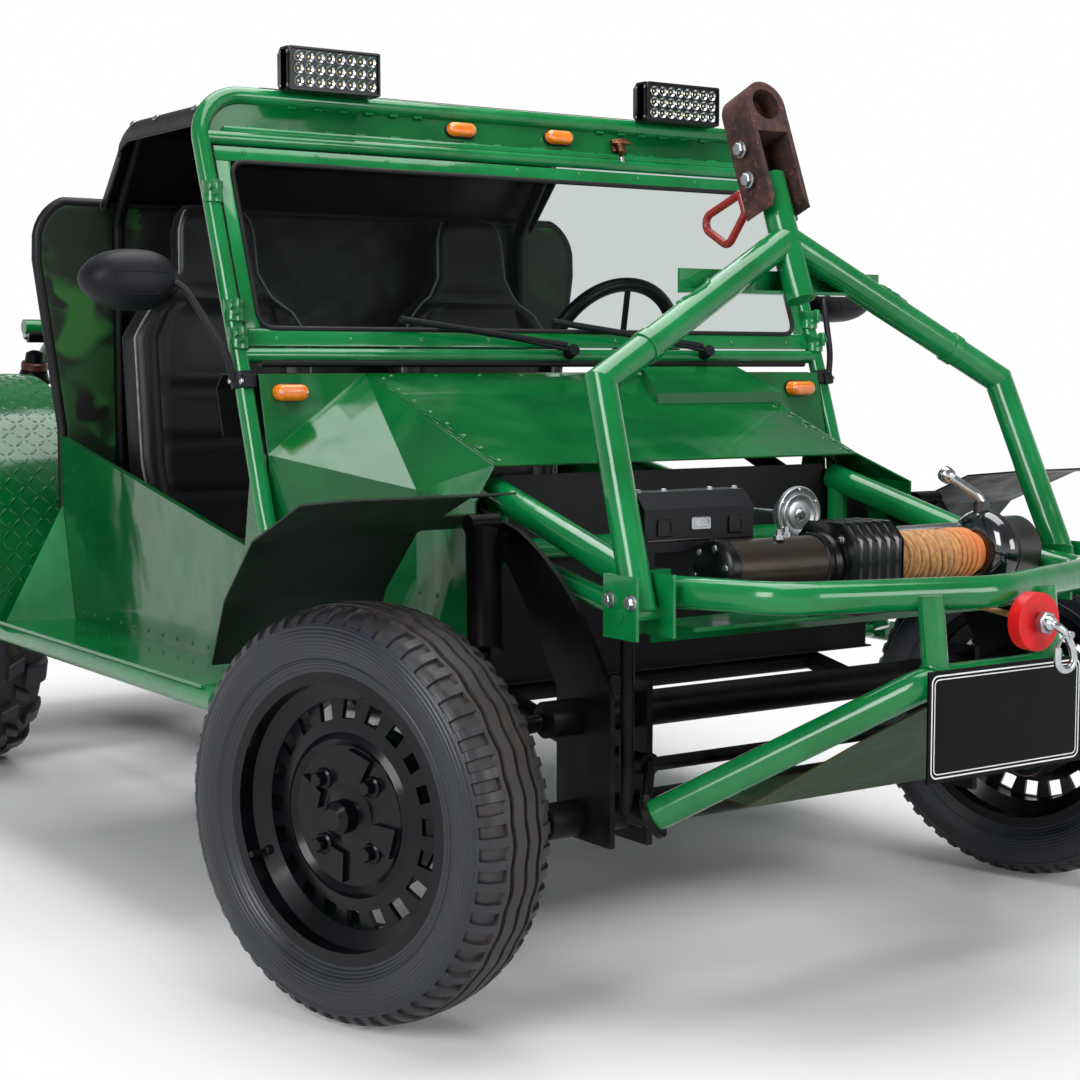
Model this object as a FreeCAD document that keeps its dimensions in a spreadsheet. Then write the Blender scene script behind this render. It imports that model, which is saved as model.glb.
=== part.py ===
import FreeCAD
import Part
import Sketcher
import math
import os

# A home-built two-seat dune buggy with a folded tow frame on its nose.
# Millimetres. +X is forward, +Y is the left side, +Z is up, and the ground is at zero.
# Stations named ..._ahead are measured forward from the front axle, so most are negative.
# Pieces are drawn for the left side unless a name says otherwise, and mirrored to the right.

SIZES = {
    # whole vehicle
    "wheelbase": 2120,
    "front_overhang": 625,
    "rear_overhang": 600,
    "front_track": 1400,
    "rear_track": 1160,
    "steered_angle": 17,
    "fit_gap": 0.3,
    "running_gap": 6,
    "cut_over": 10,
    "sheet_wall": 3,
    "plate_wall": 5,
    "frame_tube": 45,
    "brace_tube": 34,
    "rail_tube": 25,
    "thin_tube": 20,
    # front tyre and wheel
    "front_tyre_radius": 294,
    "front_tyre_width": 152,
    "front_tread_width": 112,
    "shoulder_drop": 12,
    "tyre_wall": 9,
    "tread_wall": 15,
    "bead_wall": 15,
    "rim_flange_radius": 208,
    "rim_seat_radius": 190,
    "rim_half_width": 62,
    "rim_wall": 4,
    "rim_well_radius": 166,
    "rim_well_half": 19,
    "rim_slope": 14,
    "disc_depth": 30,
    "slot_count": 20,
    "slot_inner_radius": 134,
    "slot_outer_radius": 160,
    "slot_width": 24,
    "bead_ring_radius": 107,
    "bead_ring_half": 9,
    "bead_ring_rise": 6,
    "pad_inner_radius": 52,
    "pad_outer_radius": 92,
    "pad_inner_half": 12,
    "pad_outer_half": 22,
    "pad_rise": 7,
    "pad_count": 4,
    "drum_radius": 116,
    "drum_wall": 8,
    "drum_width": 56,
    "hub_radius": 43,
    "hub_wall": 14,
    "hub_bore_radius": 15,
    "cap_radius": 24,
    "cap_stand": 34,
    "cap_dome": 9,
    # rear tyre
    "rear_tyre_radius": 350,
    "rear_tyre_width": 216,
    "rear_tread_width": 180,
    "lug_height": 18,
    "lug_thickness": 36,
    "lug_inner_half": 6,
    "lug_drop": 46,
    "lug_count": 18,
    # front suspension
    "kingpin_offset": 70,
    "kingpin_radius": 11,
    "knuckle_radius": 21,
    "knuckle_height": 96,
    "arm_height": 26,
    "arm_gap": 9,
    "steering_arm_reach": 110,
    "beam_ahead": 150,
    "beam_tube_radius": 26,
    "beam_upper_z": 420,
    "beam_lower_z": 275,
    "beam_half_span": 440,
    "tower_y": 425,
    "tower_plate": 8,
    "tower_rear_ahead": -110,
    "tower_top_z": 700,
    "tower_crown_ahead": 0,
    "tower_crown_z": 674,
    "tower_bulge_ahead": 142,
    "tower_bulge_z": 582,
    "tower_front_ahead": 234,
    "tower_knee_z": 456,
    "tower_foot_z": 246,
    "tower_heel_ahead": 104,
    "tower_web": 52,
    "damper_ahead": -50,
    "damper_top_z": 680,
    "damper_radius": 26,
    "damper_rod_radius": 9,
    "damper_body_length": 190,
    "damper_arm_ahead": 84,
    "damper_eye_radius": 15,
    "damper_pin_radius": 8,
    # belly and body sides
    "floor_z": 412,
    "body_half_width": 600,
    "side_lip_radius": 9,
    "bulkhead_ahead": -1375,
    "bulkhead_thickness": 24,
    "side_rear_top_z": 773,
    "side_front_top_z": 618,
    "side_front_top_ahead": -550,
    "nose_half_width": 450,
    "firewall_ahead": -185,
    "firewall_top_z": 742,
    "floor_front_ahead": -170,
    "sill_tube": 40,
    "sill_reach": 120,
    "board_overhang": 15,
    "gusset_top_z": 636,
    "gusset_front_ahead": -1319,
    # windscreen
    "pillar_tube": 30,
    "pillar_gap": 5,
    "pillar_bend": 400,
    "pillar_base_ahead": -322,
    "pillar_knee_ahead": -436,
    "pillar_knee_z": 680,
    "screen_foot_ahead": -521,
    "screen_foot_z": 929,
    "screen_head_ahead": -656,
    "screen_head_z": 1290,
    "header_rise": 76,
    "header_bend": 88,
    "glass_gap": 2,
    "glass_thickness": 5,
    # wipers
    "wiper_rod": 7,
    "wiper_boss_radius": 11,
    "wiper_boss_length": 22,
    "wiper_blade_length": 330,
    "wiper_blade_height": 12,
    "wiper_stand": 14,
    "wiper_pivot_y": 20,
    "wiper_far_pivot_y": 330,
    # roof
    "roof_half_width": 512,
    "roof_z": 1384,
    "roof_skirt": 42,
    "roof_edge_radius": 26,
    "roof_rear_ahead": -1250,
    "roof_seat_z": 1240,
    "vinyl_thickness": 8,
    "bow_tube": 26,
    # bulkhead outline
    "bulkhead_waist_z": 790,
    "bulkhead_shoulder_reach": 45,
    "bulkhead_shoulder_z": 1120,
    "bulkhead_corner": 88,
    # nose
    "hood_rear_ahead": -510,
    "hood_rear_half_width": 395,
    "hood_rear_z": 900,
    "hood_front_ahead": -140,
    "hood_front_half_width": 377,
    "hood_front_z": 761,
    "seam_rear_ahead": -462,
    "seam_rear_z": 770,
    "seam_front_ahead": -250,
    "seam_front_z": 720,
    "wing_front_ahead": -80,
    "wing_top_z": 712,
    "wing_bottom_z": 510,
    # cowl over the pedals
    "cowl_front_ahead": -363,
    "cowl_front_rise": 20,
    "cowl_step_ahead": -483,
    "cowl_step_z": 911,
    "cowl_right_y": 110,
    "cowl_left_y": 455,
    "cowl_taper": 55,
    # dashboard
    "dash_rear_ahead": -655,
    "dash_top_z": 897,
    "dash_low_z": 795,
    "dash_roll": 22,
    # bay frame and brackets
    "bracket_height": 86,
    "bracket_depth": 74,
    "bracket_drop": 32,
    "bracket_back": 40,
    "bracket_wall": 5,
    "bracket_web": 50,
    "frame_rear_drop": 42,
    "brace_rear_z": 626,
    "rail_y": 330,
    "rail_mid_ahead": 40,
    "rail_mid_z": 347,
    "clamp_plate": 10,
    "clamp_margin": 18,
    "tail_disc_radius": 32,
    "tail_disc_depth": 8,
    "stay_ahead": 236,
    "stay_y": 402,
    "pivot_ahead": 295,
    "pivot_y": 424,
    "pivot_z": 580,
    "pin_radius": 9,
    # bull bar
    "bar_end_ahead": 292,
    "bar_end_y": 362,
    "bar_side_ahead": 440,
    "bar_side_y": 300,
    "bar_front_ahead": 535,
    "bar_top_z": 606,
    "bar_low_z": 492,
    "bar_low_half_span": 130,
    "bar_tail_ahead": 262,
    "bar_tail_y": 372,
    "bar_tail_z": 292,
    "bar_bend": 95,
    "post_y": 110,
    "post_tube": 36,
    "post_back": 14,
    # skid plate
    "skid_fold_ahead": 452,
    "skid_fold_z": 395,
    "skid_top_half": 98,
    "skid_fold_half": 188,
    "skid_low_ahead": 330,
    "skid_low_z": 302,
    "skid_low_half": 262,
    "skid_rear_ahead": 205,
    "skid_rear_half": 250,
    # number plate
    "plate_width": 300,
    "plate_height": 150,
    "plate_mid_z": 436,
    "plate_thickness": 3,
    # tow frame
    "tow_elbow_ahead": 165,
    "tow_elbow_y": 397,
    "tow_elbow_z": 890,
    "tow_apex_ahead": 96,
    "tow_apex_z": 1104,
    "tow_brace_ahead": 122,
    "tow_brace_y": 200,
    "tow_brace_z": 1020,
    "tow_brace_depth": 36,
    "tow_head_ahead": 20,
    "tow_head_z": 1300,
    "tow_stub_length": 105,
    "sleeve_radius": 25,
    "sleeve_length": 16,
    # ball coupling
    "ball_bore_radius": 25.4,
    "ball_bore_depth": 33,
    "coupling_half_width": 38,
    "coupling_depth": 62,
    "coupling_length": 208,
    "coupling_start": 42,
    "coupling_wall": 9,
    "coupling_web": 20,
    "coupling_tip": 34,
    "coupling_bolt_radius": 10,
    "coupling_bolt_stand": 9,
    "lug_reach": 34,
    "lug_length": 44,
    "handle_wire": 13,
    "handle_rear_ahead": -118,
    "handle_rear_z": 1142,
    "handle_low_ahead": -40,
    "handle_low_z": 1100,
    "handle_front_ahead": 2,
    "handle_front_z": 1150,
    "handle_bend": 16,
    # winch
    "winch_ahead": 292,
    "winch_z": 630,
    "winch_motor_radius": 42,
    "winch_bell_radius": 45,
    "winch_bell_length": 26,
    "winch_left_y": 322,
    "winch_right_y": -305,
    "winch_housing_right_y": -92,
    "winch_housing_left_y": 8,
    "winch_housing_half": 60,
    "winch_housing_cut": 24,
    "winch_flange_y": 208,
    "winch_flange_radius": 65,
    "winch_flange_dome": 34,
    "winch_gear_radius": 52,
    "winch_gear_cap": 14,
    "winch_shaft_radius": 16,
    "winch_tie_radius": 7,
    "winch_foot_wall": 8,
    "winch_lever_y": 232,
    "winch_lever_rise": 112,
    "winch_lever_lean": 34,
    "winch_lever_radius": 8,
    "winch_knob_radius": 12,
    "winch_knob_length": 40,
    "tray_wall": 6,
    "control_box_ahead": 222,
    "control_box_length": 62,
    "control_box_right_y": -386,
    "control_box_left_y": -192,
    "control_box_low_z": 656,
    "control_box_high_z": 738,
    "control_box_cut": 22,
    "rope_radius": 4,
    "rope_pack_radius": 40,
    "rope_y": 40,
    "rope_exit_z": 566,
    "stopper_radius": 40,
    "stopper_depth": 20,
    "hook_wire": 11,
    "hook_shank": 26,
    "hook_drop": 62,
    "hook_side": 30,
    "horn_ahead": 12,
    "horn_y": 75,
    "horn_z": 678,
    "horn_radius": 45,
    "horn_depth": 34,
    "horn_rim": 3,
    # front fender
    "fender_gap_y": 58,
    "front_fender_outer_y": 780,
    "fender_a_ahead": -297,
    "fender_a_z": 468,
    "fender_b_ahead": -249,
    "fender_b_z": 569,
    "fender_c_ahead": -153,
    "fender_c_z": 664,
    "fender_d_ahead": -3,
    "fender_d_z": 725,
    "fender_e_ahead": 120,
    "fender_e_z": 738,
    "fender_tab_length": 60,
    # rear fender
    "fender_arc_radius": 480,
    "fender_arc_ahead": -1880,
    "fender_arc_z": 413,
    "fender_inner_y": 490,
    "fender_outer_y": 775,
    "fender_top_length": 300,
    "fender_tail_run": 260,
    "fender_tail_drop": 250,
    "fender_lip": 22,
    # rear frame, springs
    "rear_rail_y": 362,
    "rear_rail_z": 433,
    "rear_rail_bend": 70,
    "rear_kick_back": 180,
    "rear_upper_y": 362,
    "shock_bar_ahead": -1985,
    "shock_bar_z": 1000,
    "rear_bumper_z": 570,
    "bumper_reach": 60,
    "spring_y": 425,
    "spring_lower_ahead": -2105,
    "spring_radius": 40,
    "spring_wire": 12,
    "spring_turns": 7,
    "spring_seat": 14,
    "axle_lift": 60,
    # transaxle and engine
    "axle_tube_radius": 34,
    "box_radius": 105,
    "box_length": 330,
    "bell_radius": 165,
    "bell_length": 120,
    "box_nose_radius": 60,
    "box_nose_length": 130,
    "mount_radius": 22,
    "engine_front_ahead": -2305,
    "engine_length": 270,
    "case_half_width": 105,
    "case_half_height": 120,
    "case_cut": 40,
    "crank_z": 392,
    "barrel_radius": 50,
    "fin_radius": 68,
    "fin_wall": 7,
    "fin_count": 5,
    "barrel_length": 130,
    "cylinder_offset": 62,
    "head_length": 80,
    "head_height": 140,
    "shroud_ahead": 20,
    "shroud_depth": 110,
    "shroud_half_width": 300,
    "shroud_low_z": 512,
    "shroud_arc_z": 640,
    "fan_radius": 150,
    "fan_z": 690,
    "fan_inlet_radius": 88,
    "fan_inlet_depth": 40,
    "pulley_radius": 70,
    "pulley_depth": 22,
    # exhaust
    "pipe_radius": 19,
    "muffler_radius": 58,
    "muffler_half": 190,
    "muffler_z": 262,
    "muffler_back": 60,
    "tip_reach": 84,
    "tip_collar_radius": 24,
    "tip_collar_reach": 62,
    # seats
    "seat_y": 300,
    "seat_half_width": 222,
    "seat_front_ahead": -862,
    "seat_front_z": 600,
    "seat_front_low_z": 478,
    "seat_rear_ahead": -1196,
    "seat_rear_z": 566,
    "seat_bolster": 58,
    "seat_bolster_rise": 48,
    "seat_back_foot_ahead": -1190,
    "seat_back_lean": 7,
    "seat_back_depth": 62,
    "seat_back_low_z": 505,
    "seat_back_height": 735,
    "seat_back_half": 205,
    "seat_waist_half": 165,
    "seat_head_half": 88,
    "seat_shoulder_height": 470,
    "runner_width": 30,
    "runner_y": 130,
    # steering wheel and column
    "steering_ahead": -770,
    "steering_y": 307,
    "steering_z": 930,
    "steering_lean": 22,
    "steering_radius": 165,
    "steering_grip": 14,
    "steering_hub_radius": 26,
    "steering_hub_length": 62,
    "spoke_radius": 6,
    "column_radius": 17,
    # mirrors
    "mirror_inner_y": 682,
    "mirror_outer_y": 850,
    "mirror_ahead": -600,
    "mirror_z": 1050,
    "mirror_half_height": 50,
    "mirror_half_depth": 34,
    "mirror_arm_radius": 6,
    "mirror_mount_z": 888,
    "clamp_radius": 21,
    "clamp_length": 26,
    # lamps
    "bar_lamp_y": 378,
    "bar_lamp_half": 88,
    "bar_lamp_height": 74,
    "bar_lamp_depth": 48,
    "bar_lamp_low_z": 1376,
    "bar_lamp_corner": 10,
    "bar_lamp_fins": 6,
    "bar_lamp_fin": 5,
    "bar_lamp_fin_depth": 22,
    "bar_foot_width": 30,
    "marker_length": 62,
    "marker_width": 28,
    "marker_depth": 18,
    "header_marker_y": 107,
    "header_marker_drop": 34,
    "tail_lamp_radius": 34,
    "tail_lamp_depth": 26,
    "tail_lamp_y": 285,
}

doc = FreeCAD.newDocument("dune_buggy")
sheet = doc.addObject("Spreadsheet::Sheet", "Sizes")
for row, (alias, number) in enumerate(SIZES.items(), start=1):
    sheet.set(f"A{row}", alias)
    sheet.set(f"B{row}", str(number))
    sheet.setAlias(f"B{row}", alias)
doc.recompute()


class Size:
    """A length that knows the sheet expression it comes from."""

    def __init__(self, value, text):
        self.value = float(value)
        self.text = text

    def __add__(self, other):
        other = as_size(other)
        return Size(self.value + other.value, f"({self.text} + {other.text})")

    __radd__ = __add__

    def __sub__(self, other):
        other = as_size(other)
        return Size(self.value - other.value, f"({self.text} - {other.text})")

    def __rsub__(self, other):
        return as_size(other) - self

    def __mul__(self, share):
        share = as_size(share)
        return Size(self.value * share.value, f"({self.text} * {share.text})")

    __rmul__ = __mul__

    def __truediv__(self, share):
        share = as_size(share)
        return Size(self.value / share.value, f"({self.text} / {share.text})")

    def __neg__(self):
        return Size(-self.value, f"(0 - {self.text})")

    def __float__(self):
        return self.value


def as_size(number):
    if isinstance(number, Size):
        return number
    return Size(number, f"{float(number):.9f}")


class Sheet:
    """Reads a named cell as a Size."""

    def __getattr__(self, alias):
        return Size(SIZES[alias], f"Sizes.{alias}")


s = Sheet()
ZERO = as_size(0)
bend_room_share = 0.95
least_bend_degrees = 2
corner_soft_share = 0.02
round_bow_share = 1 - math.sqrt(0.5)
axle_x = (s.wheelbase + s.rear_overhang - s.front_overhang) / 2
rear_axle_x = axle_x - s.wheelbase


def ahead(station):
    """X of a station given forward from the front axle."""
    return axle_x + station


def vec(x, y, z):
    return FreeCAD.Vector(float(x), float(y), float(z))


def place(thing, x=ZERO, y=ZERO, z=ZERO, turn=None):
    """Puts a piece where the sheet says, after an optional turn."""
    if turn is not None:
        thing.Placement = FreeCAD.Placement(vec(x, y, z), turn)
    thing.setExpression(".Placement.Base.x", as_size(x).text)
    thing.setExpression(".Placement.Base.y", as_size(y).text)
    thing.setExpression(".Placement.Base.z", as_size(z).text)
    return thing


def bind(thing, prop, size):
    setattr(thing, prop, float(size))
    thing.setExpression(prop, as_size(size).text)


def new_body(label):
    body = doc.addObject("PartDesign::Body", label)
    body.Label = label
    return body


def outline(body, plane, corners, arcs=None):
    """A closed sketch outline; arcs maps a corner's number to a point the arc after it passes."""
    arcs = arcs or {}
    sketch = body.newObject("Sketcher::SketchObject", f"{body.Label}_outline")
    base = [f for f in body.Origin.OriginFeatures if f.Role == plane][0]
    sketch.AttachmentSupport = [(base, "")]
    sketch.MapMode = "FlatFace"
    add_loop(sketch, corners, arcs)
    return sketch


def add_loop(sketch, corners, arcs=None):
    arcs = arcs or {}
    flat = [vec(u, v, ZERO) for u, v in corners]
    heads = []
    tails = []
    for number, start in enumerate(flat):
        end = flat[(number + 1) % len(flat)]
        if number in arcs:
            middle = vec(arcs[number][0], arcs[number][1], ZERO)
            swapped = (middle - start).cross(end - start).z < 0
            ends = (end, start) if swapped else (start, end)
            edge = sketch.addGeometry(Part.Arc(ends[0], middle, ends[1]), False)
            heads.append((edge, 2 if swapped else 1))
            tails.append((edge, 1 if swapped else 2))
        else:
            edge = sketch.addGeometry(Part.LineSegment(start, end), False)
            heads.append((edge, 1))
            tails.append((edge, 2))
    for number, tail in enumerate(tails):
        head = heads[(number + 1) % len(heads)]
        sketch.addConstraint(Sketcher.Constraint("Coincident", tail[0], tail[1], head[0], head[1]))
    for (edge, end), (u, v) in zip(heads, corners):
        for kind, size in (("DistanceX", as_size(u)), ("DistanceY", as_size(v))):
            mark = sketch.addConstraint(Sketcher.Constraint(kind, edge, end, size.value))
            sketch.setExpression(f"Constraints[{mark}]", size.text)


def add_circle(sketch, u, v, radius):
    ring = sketch.addGeometry(Part.Circle(vec(u, v, ZERO), vec(0, 0, 1), float(radius)), False)
    for kind, size in (("DistanceX", as_size(u)), ("DistanceY", as_size(v))):
        mark = sketch.addConstraint(Sketcher.Constraint(kind, ring, 3, size.value))
        sketch.setExpression(f"Constraints[{mark}]", size.text)
    mark = sketch.addConstraint(Sketcher.Constraint("Radius", ring, float(radius)))
    sketch.setExpression(f"Constraints[{mark}]", as_size(radius).text)


def circle_sketch(body, plane, u, v, radius):
    sketch = body.newObject("Sketcher::SketchObject", f"{body.Label}_circle")
    base = [f for f in body.Origin.OriginFeatures if f.Role == plane][0]
    sketch.AttachmentSupport = [(base, "")]
    sketch.MapMode = "FlatFace"
    add_circle(sketch, u, v, radius)
    return sketch


def pad(body, sketch, length, both_ways=False, backwards=False):
    feature = body.newObject("PartDesign::Pad", f"{body.Label}_pad")
    feature.Profile = sketch
    bind(feature, "Length", length)
    feature.Midplane = both_ways
    feature.Reversed = backwards
    sketch.Visibility = False
    return feature


def pocket(body, sketch, length, both_ways=False, backwards=False):
    feature = body.newObject("PartDesign::Pocket", f"{body.Label}_pocket")
    feature.Profile = sketch
    bind(feature, "Length", length)
    feature.Midplane = both_ways
    feature.Reversed = backwards
    return feature


def revolve(body, sketch):
    feature = body.newObject("PartDesign::Revolution", f"{body.Label}_turned")
    feature.Profile = sketch
    feature.ReferenceAxis = (sketch, ["V_Axis"])
    feature.Angle = 360
    return feature


def panel(label, plane, corners, thickness, arcs=None, x=ZERO, y=ZERO, z=ZERO, both_ways=False, turn=None):
    """A flat or profiled plate cut to an outline."""
    body = new_body(label)
    sketch = outline(body, plane, corners, arcs)
    pad(body, sketch, thickness, both_ways)
    return place(body, x, y, z, turn)


def feature(label, shape):
    thing = doc.addObject("Part::Feature", label)
    thing.Label = label
    thing.Shape = shape
    thing.Placement = FreeCAD.Placement()
    return thing


def mirrored(source, label):
    """The same piece on the other side of the vehicle."""
    twin = doc.addObject("Part::Mirroring", label)
    twin.Label = label
    twin.Source = source
    twin.Base = vec(0, 0, 0)
    twin.Normal = vec(0, 1, 0)
    return twin


def group(label, members):
    """Like pieces that share a node without touching."""
    thing = doc.addObject("Part::Compound", label)
    thing.Label = label
    thing.Links = members
    return thing


def fused(label, members):
    """Pieces welded into one."""
    thing = doc.addObject("Part::MultiFuse", label)
    thing.Label = label
    thing.Shapes = members
    return thing


def tube(points, diameter, bends=None):
    """A round tube along straight runs; bends is one radius, or one for each inner corner."""
    radius = float(diameter) / 2
    if not isinstance(bends, list):
        bends = [bends] * len(points)
    edges = []
    start = points[0]
    for number in range(1, len(points) - 1):
        corner = points[number]
        back = (points[number - 1] - corner)
        onward = (points[number + 1] - corner)
        room = min(back.Length, onward.Length) / 2
        back.normalize()
        onward.normalize()
        angle = back.getAngle(onward)
        bend = bends[number - 1]
        if bend is None or math.pi - angle < math.radians(least_bend_degrees):
            edges.append(Part.LineSegment(start, corner).toShape())
            start = corner
            continue
        cut = min(float(bend) / math.tan(angle / 2), room * bend_room_share)
        arc_radius = cut * math.tan(angle / 2)
        first = corner + back * cut
        last = corner + onward * cut
        inward = back + onward
        inward.normalize()
        middle = corner + inward * (arc_radius / math.sin(angle / 2) - arc_radius)
        edges.append(Part.LineSegment(start, first).toShape())
        edges.append(Part.Arc(first, middle, last).toShape())
        start = last
    edges.append(Part.LineSegment(start, points[-1]).toShape())
    path = Part.Wire(edges)
    heading = points[1] - points[0]
    ring = Part.Wire(Part.Circle(points[0], heading, radius).toShape())
    return path.makePipeShell([ring], True, False, 1)


def ribbon(line, wall):
    """The closed outline of a bent sheet: a line and the same line one wall to its right."""
    sides = []
    for (x0, z0), (x1, z1) in zip(line, line[1:]):
        run = float(x1) - float(x0)
        rise = float(z1) - float(z0)
        length = math.hypot(run, rise)
        sides.append((rise / length, -run / length))
    inner = []
    for number, (x, z) in enumerate(line):
        first = sides[max(number - 1, 0)]
        second = sides[min(number, len(sides) - 1)]
        across = first[0] + second[0]
        upward = first[1] + second[1]
        share = 2 / (across * across + upward * upward)
        inner.append((x + wall * (across * share), z + wall * (upward * share)))
    return line + inner[::-1]


def profile_face(axis, offset, corners, arcs, raw_x=False):
    """A flat face square to an axis, whose arcs pass the points named by corner number."""
    def point(corner):
        u, v = corner
        if axis == "x":
            return vec(offset, u, v)
        return vec(u if raw_x else ahead(u), offset, v)

    edges = []
    for number, corner in enumerate(corners):
        start = point(corner)
        end = point(corners[(number + 1) % len(corners)])
        if number in arcs:
            edges.append(Part.Arc(start, point(arcs[number]), end).toShape())
        else:
            edges.append(Part.LineSegment(start, end).toShape())
    return Part.Face(Part.Wire(edges))


def rod(start, end, radius):
    heading = end - start
    return Part.makeCylinder(float(radius), heading.Length, start, heading)


def same_side(point):
    return FreeCAD.Vector(point)


def other_side(point):
    return FreeCAD.Vector(point.x, -point.y, point.z)


def weld(shapes):
    whole = shapes[0].fuse(shapes[1:]) if len(shapes) > 1 else shapes[0]
    return whole.removeSplitter()


def folded_sheet(corners, facets, wall):
    """A folded metal skin: triangles over named corners, thickened against their normals."""
    normals = {name: [] for name in corners}
    flat = []
    for names in facets:
        for number in range(1, len(names) - 1):
            flat.append((names[0], names[number], names[number + 1]))
    for tri in flat:
        a, b, c = (corners[name] for name in tri)
        normal = (b - a).cross(c - a)
        normal.normalize()
        for name in tri:
            normals[name].append(normal)
    inner = {}
    for name, point in corners.items():
        inner[name] = point - corner_shift(normals[name]) * float(wall)
    faces = []
    borders = {}
    for tri in flat:
        faces.append(flat_face([corners[name] for name in tri]))
        faces.append(flat_face([inner[name] for name in reversed(tri)]))
        for number in range(3):
            edge = (tri[number], tri[(number + 1) % 3])
            if (edge[1], edge[0]) in borders:
                del borders[(edge[1], edge[0])]
            else:
                borders[edge] = True
    for first, second in borders:
        faces.append(flat_face([corners[second], corners[first], inner[first]]))
        faces.append(flat_face([corners[second], inner[first], inner[second]]))
    solid = Part.Solid(Part.Shell(faces))
    if solid.Volume < 0:
        solid.reverse()
    return solid.removeSplitter()


def flat_face(points):
    return Part.Face(Part.makePolygon(points + [points[0]]))


def corner_shift(normals):
    """The step that moves a corner one unit behind each of its facets, as nearly as can be."""
    matrix = [[sum(n[i] * n[j] for n in normals) for j in range(3)] for i in range(3)]
    total = [sum(n[i] for n in normals) for i in range(3)]
    soft = corner_soft_share * sum(matrix[i][i] for i in range(3))
    mean = FreeCAD.Vector(*total)
    mean.normalize()
    for i in range(3):
        matrix[i][i] += soft
        total[i] += soft * mean[i]
    return solve_three(matrix, total)


def solve_three(m, t):
    rows = [FreeCAD.Vector(*row) for row in zip(*m)]
    whole = rows[0].dot(rows[1].cross(rows[2]))
    right = FreeCAD.Vector(*t)
    return FreeCAD.Vector(
        right.dot(rows[1].cross(rows[2])) / whole,
        rows[0].dot(right.cross(rows[2])) / whole,
        rows[0].dot(rows[1].cross(right)) / whole,
    )


nodes = []


def node(thing):
    nodes.append(thing)
    return thing


# Where the wheels stand: the front pair is stored steered to the left.

steer = math.radians(float(s.steered_angle))
kingpin_y = s.front_track / 2 - s.kingpin_offset
hub_reach_x = s.kingpin_offset * math.sin(steer)
hub_reach_y = s.kingpin_offset * math.cos(steer)
outboard_right = FreeCAD.Vector(math.sin(steer), -math.cos(steer), 0)
outboard_left = FreeCAD.Vector(-math.sin(steer), math.cos(steer), 0)
UP = FreeCAD.Vector(0, 0, 1)

CORNERS = {
    "front_right": (axle_x + hub_reach_x, -(kingpin_y + hub_reach_y), s.front_tyre_radius, outboard_right),
    "front_left": (axle_x - hub_reach_x, kingpin_y + hub_reach_y, s.front_tyre_radius, outboard_left),
    "rear_right": (rear_axle_x, -s.rear_track / 2, s.rear_tyre_radius, vec(0, -1, 0)),
    "rear_left": (rear_axle_x, s.rear_track / 2, s.rear_tyre_radius, vec(0, 1, 0)),
}


def build_tyre(label, radius, width, tread_width, x, y, z, outboard):
    """A tyre turned from its section: tread, shoulders, side walls and beads, hollow inside."""
    half = width / 2
    tread = tread_width / 2
    bead = s.rim_seat_radius + s.fit_gap
    bulge = (radius + s.rim_flange_radius) / 2
    heel = s.rim_half_width - s.rim_wall - s.fit_gap
    wall = s.tyre_wall
    corners = [
        (bead, -heel),
        (s.rim_flange_radius + s.fit_gap, -heel),
        (bulge, -half),
        (radius - s.shoulder_drop, -(half + tread) / 2),
        (radius, -tread),
        (radius, tread),
        (radius - s.shoulder_drop, (half + tread) / 2),
        (bulge, half),
        (s.rim_flange_radius + s.fit_gap, heel),
        (bead, heel),
        (bead, heel - s.bead_wall),
        (bulge, half - wall),
        (radius - s.tread_wall, tread - wall),
        (radius - s.tread_wall, wall - tread),
        (bulge, wall - half),
        (bead, s.bead_wall - heel),
    ]
    body = new_body(label)
    revolve(body, outline(body, "XZ_Plane", corners))
    return place(body, x, y, z, FreeCAD.Rotation(UP, outboard))


def build_mud_tyre(label, x, y, z, outboard):
    """A rear tyre: a carcass with two staggered rows of blocks over its shoulders."""
    crown = s.rear_tyre_radius - s.lug_height
    tread = s.rear_tread_width - s.lug_height
    carcass = build_tyre(f"carcass_{label}", crown, s.rear_tyre_width, tread, x, y, z, outboard)
    half = s.rear_tyre_width / 2
    inside = crown - s.tyre_wall
    block = [
        vec(inside, -s.lug_thickness / 2, s.lug_inner_half),
        vec(s.rear_tyre_radius, -s.lug_thickness / 2, s.lug_inner_half),
        vec(s.rear_tyre_radius, -s.lug_thickness / 2, s.rear_tread_width / 2),
        vec(crown - s.lug_drop, -s.lug_thickness / 2, half + s.fit_gap),
        vec(crown - s.lug_drop, -s.lug_thickness / 2, half - s.lug_height),
    ]
    outer = flat_face(block).extrude(vec(0, s.lug_thickness, 0))
    pitch = 360 / SIZES["lug_count"]
    blocks = []
    for number in range(SIZES["lug_count"]):
        for start, flip in ((0, False), (pitch / 2, True)):
            lug = outer.mirror(vec(0, 0, 0), vec(0, 0, 1)) if flip else outer.copy()
            lug.rotate(vec(0, 0, 0), UP, start + number * pitch)
            blocks.append(lug)
    lugs = feature(f"lugs_{label}", Part.Compound(blocks))
    place(lugs, x, y, z, FreeCAD.Rotation(UP, outboard))
    return fused(label, [carcass, lugs])


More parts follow.
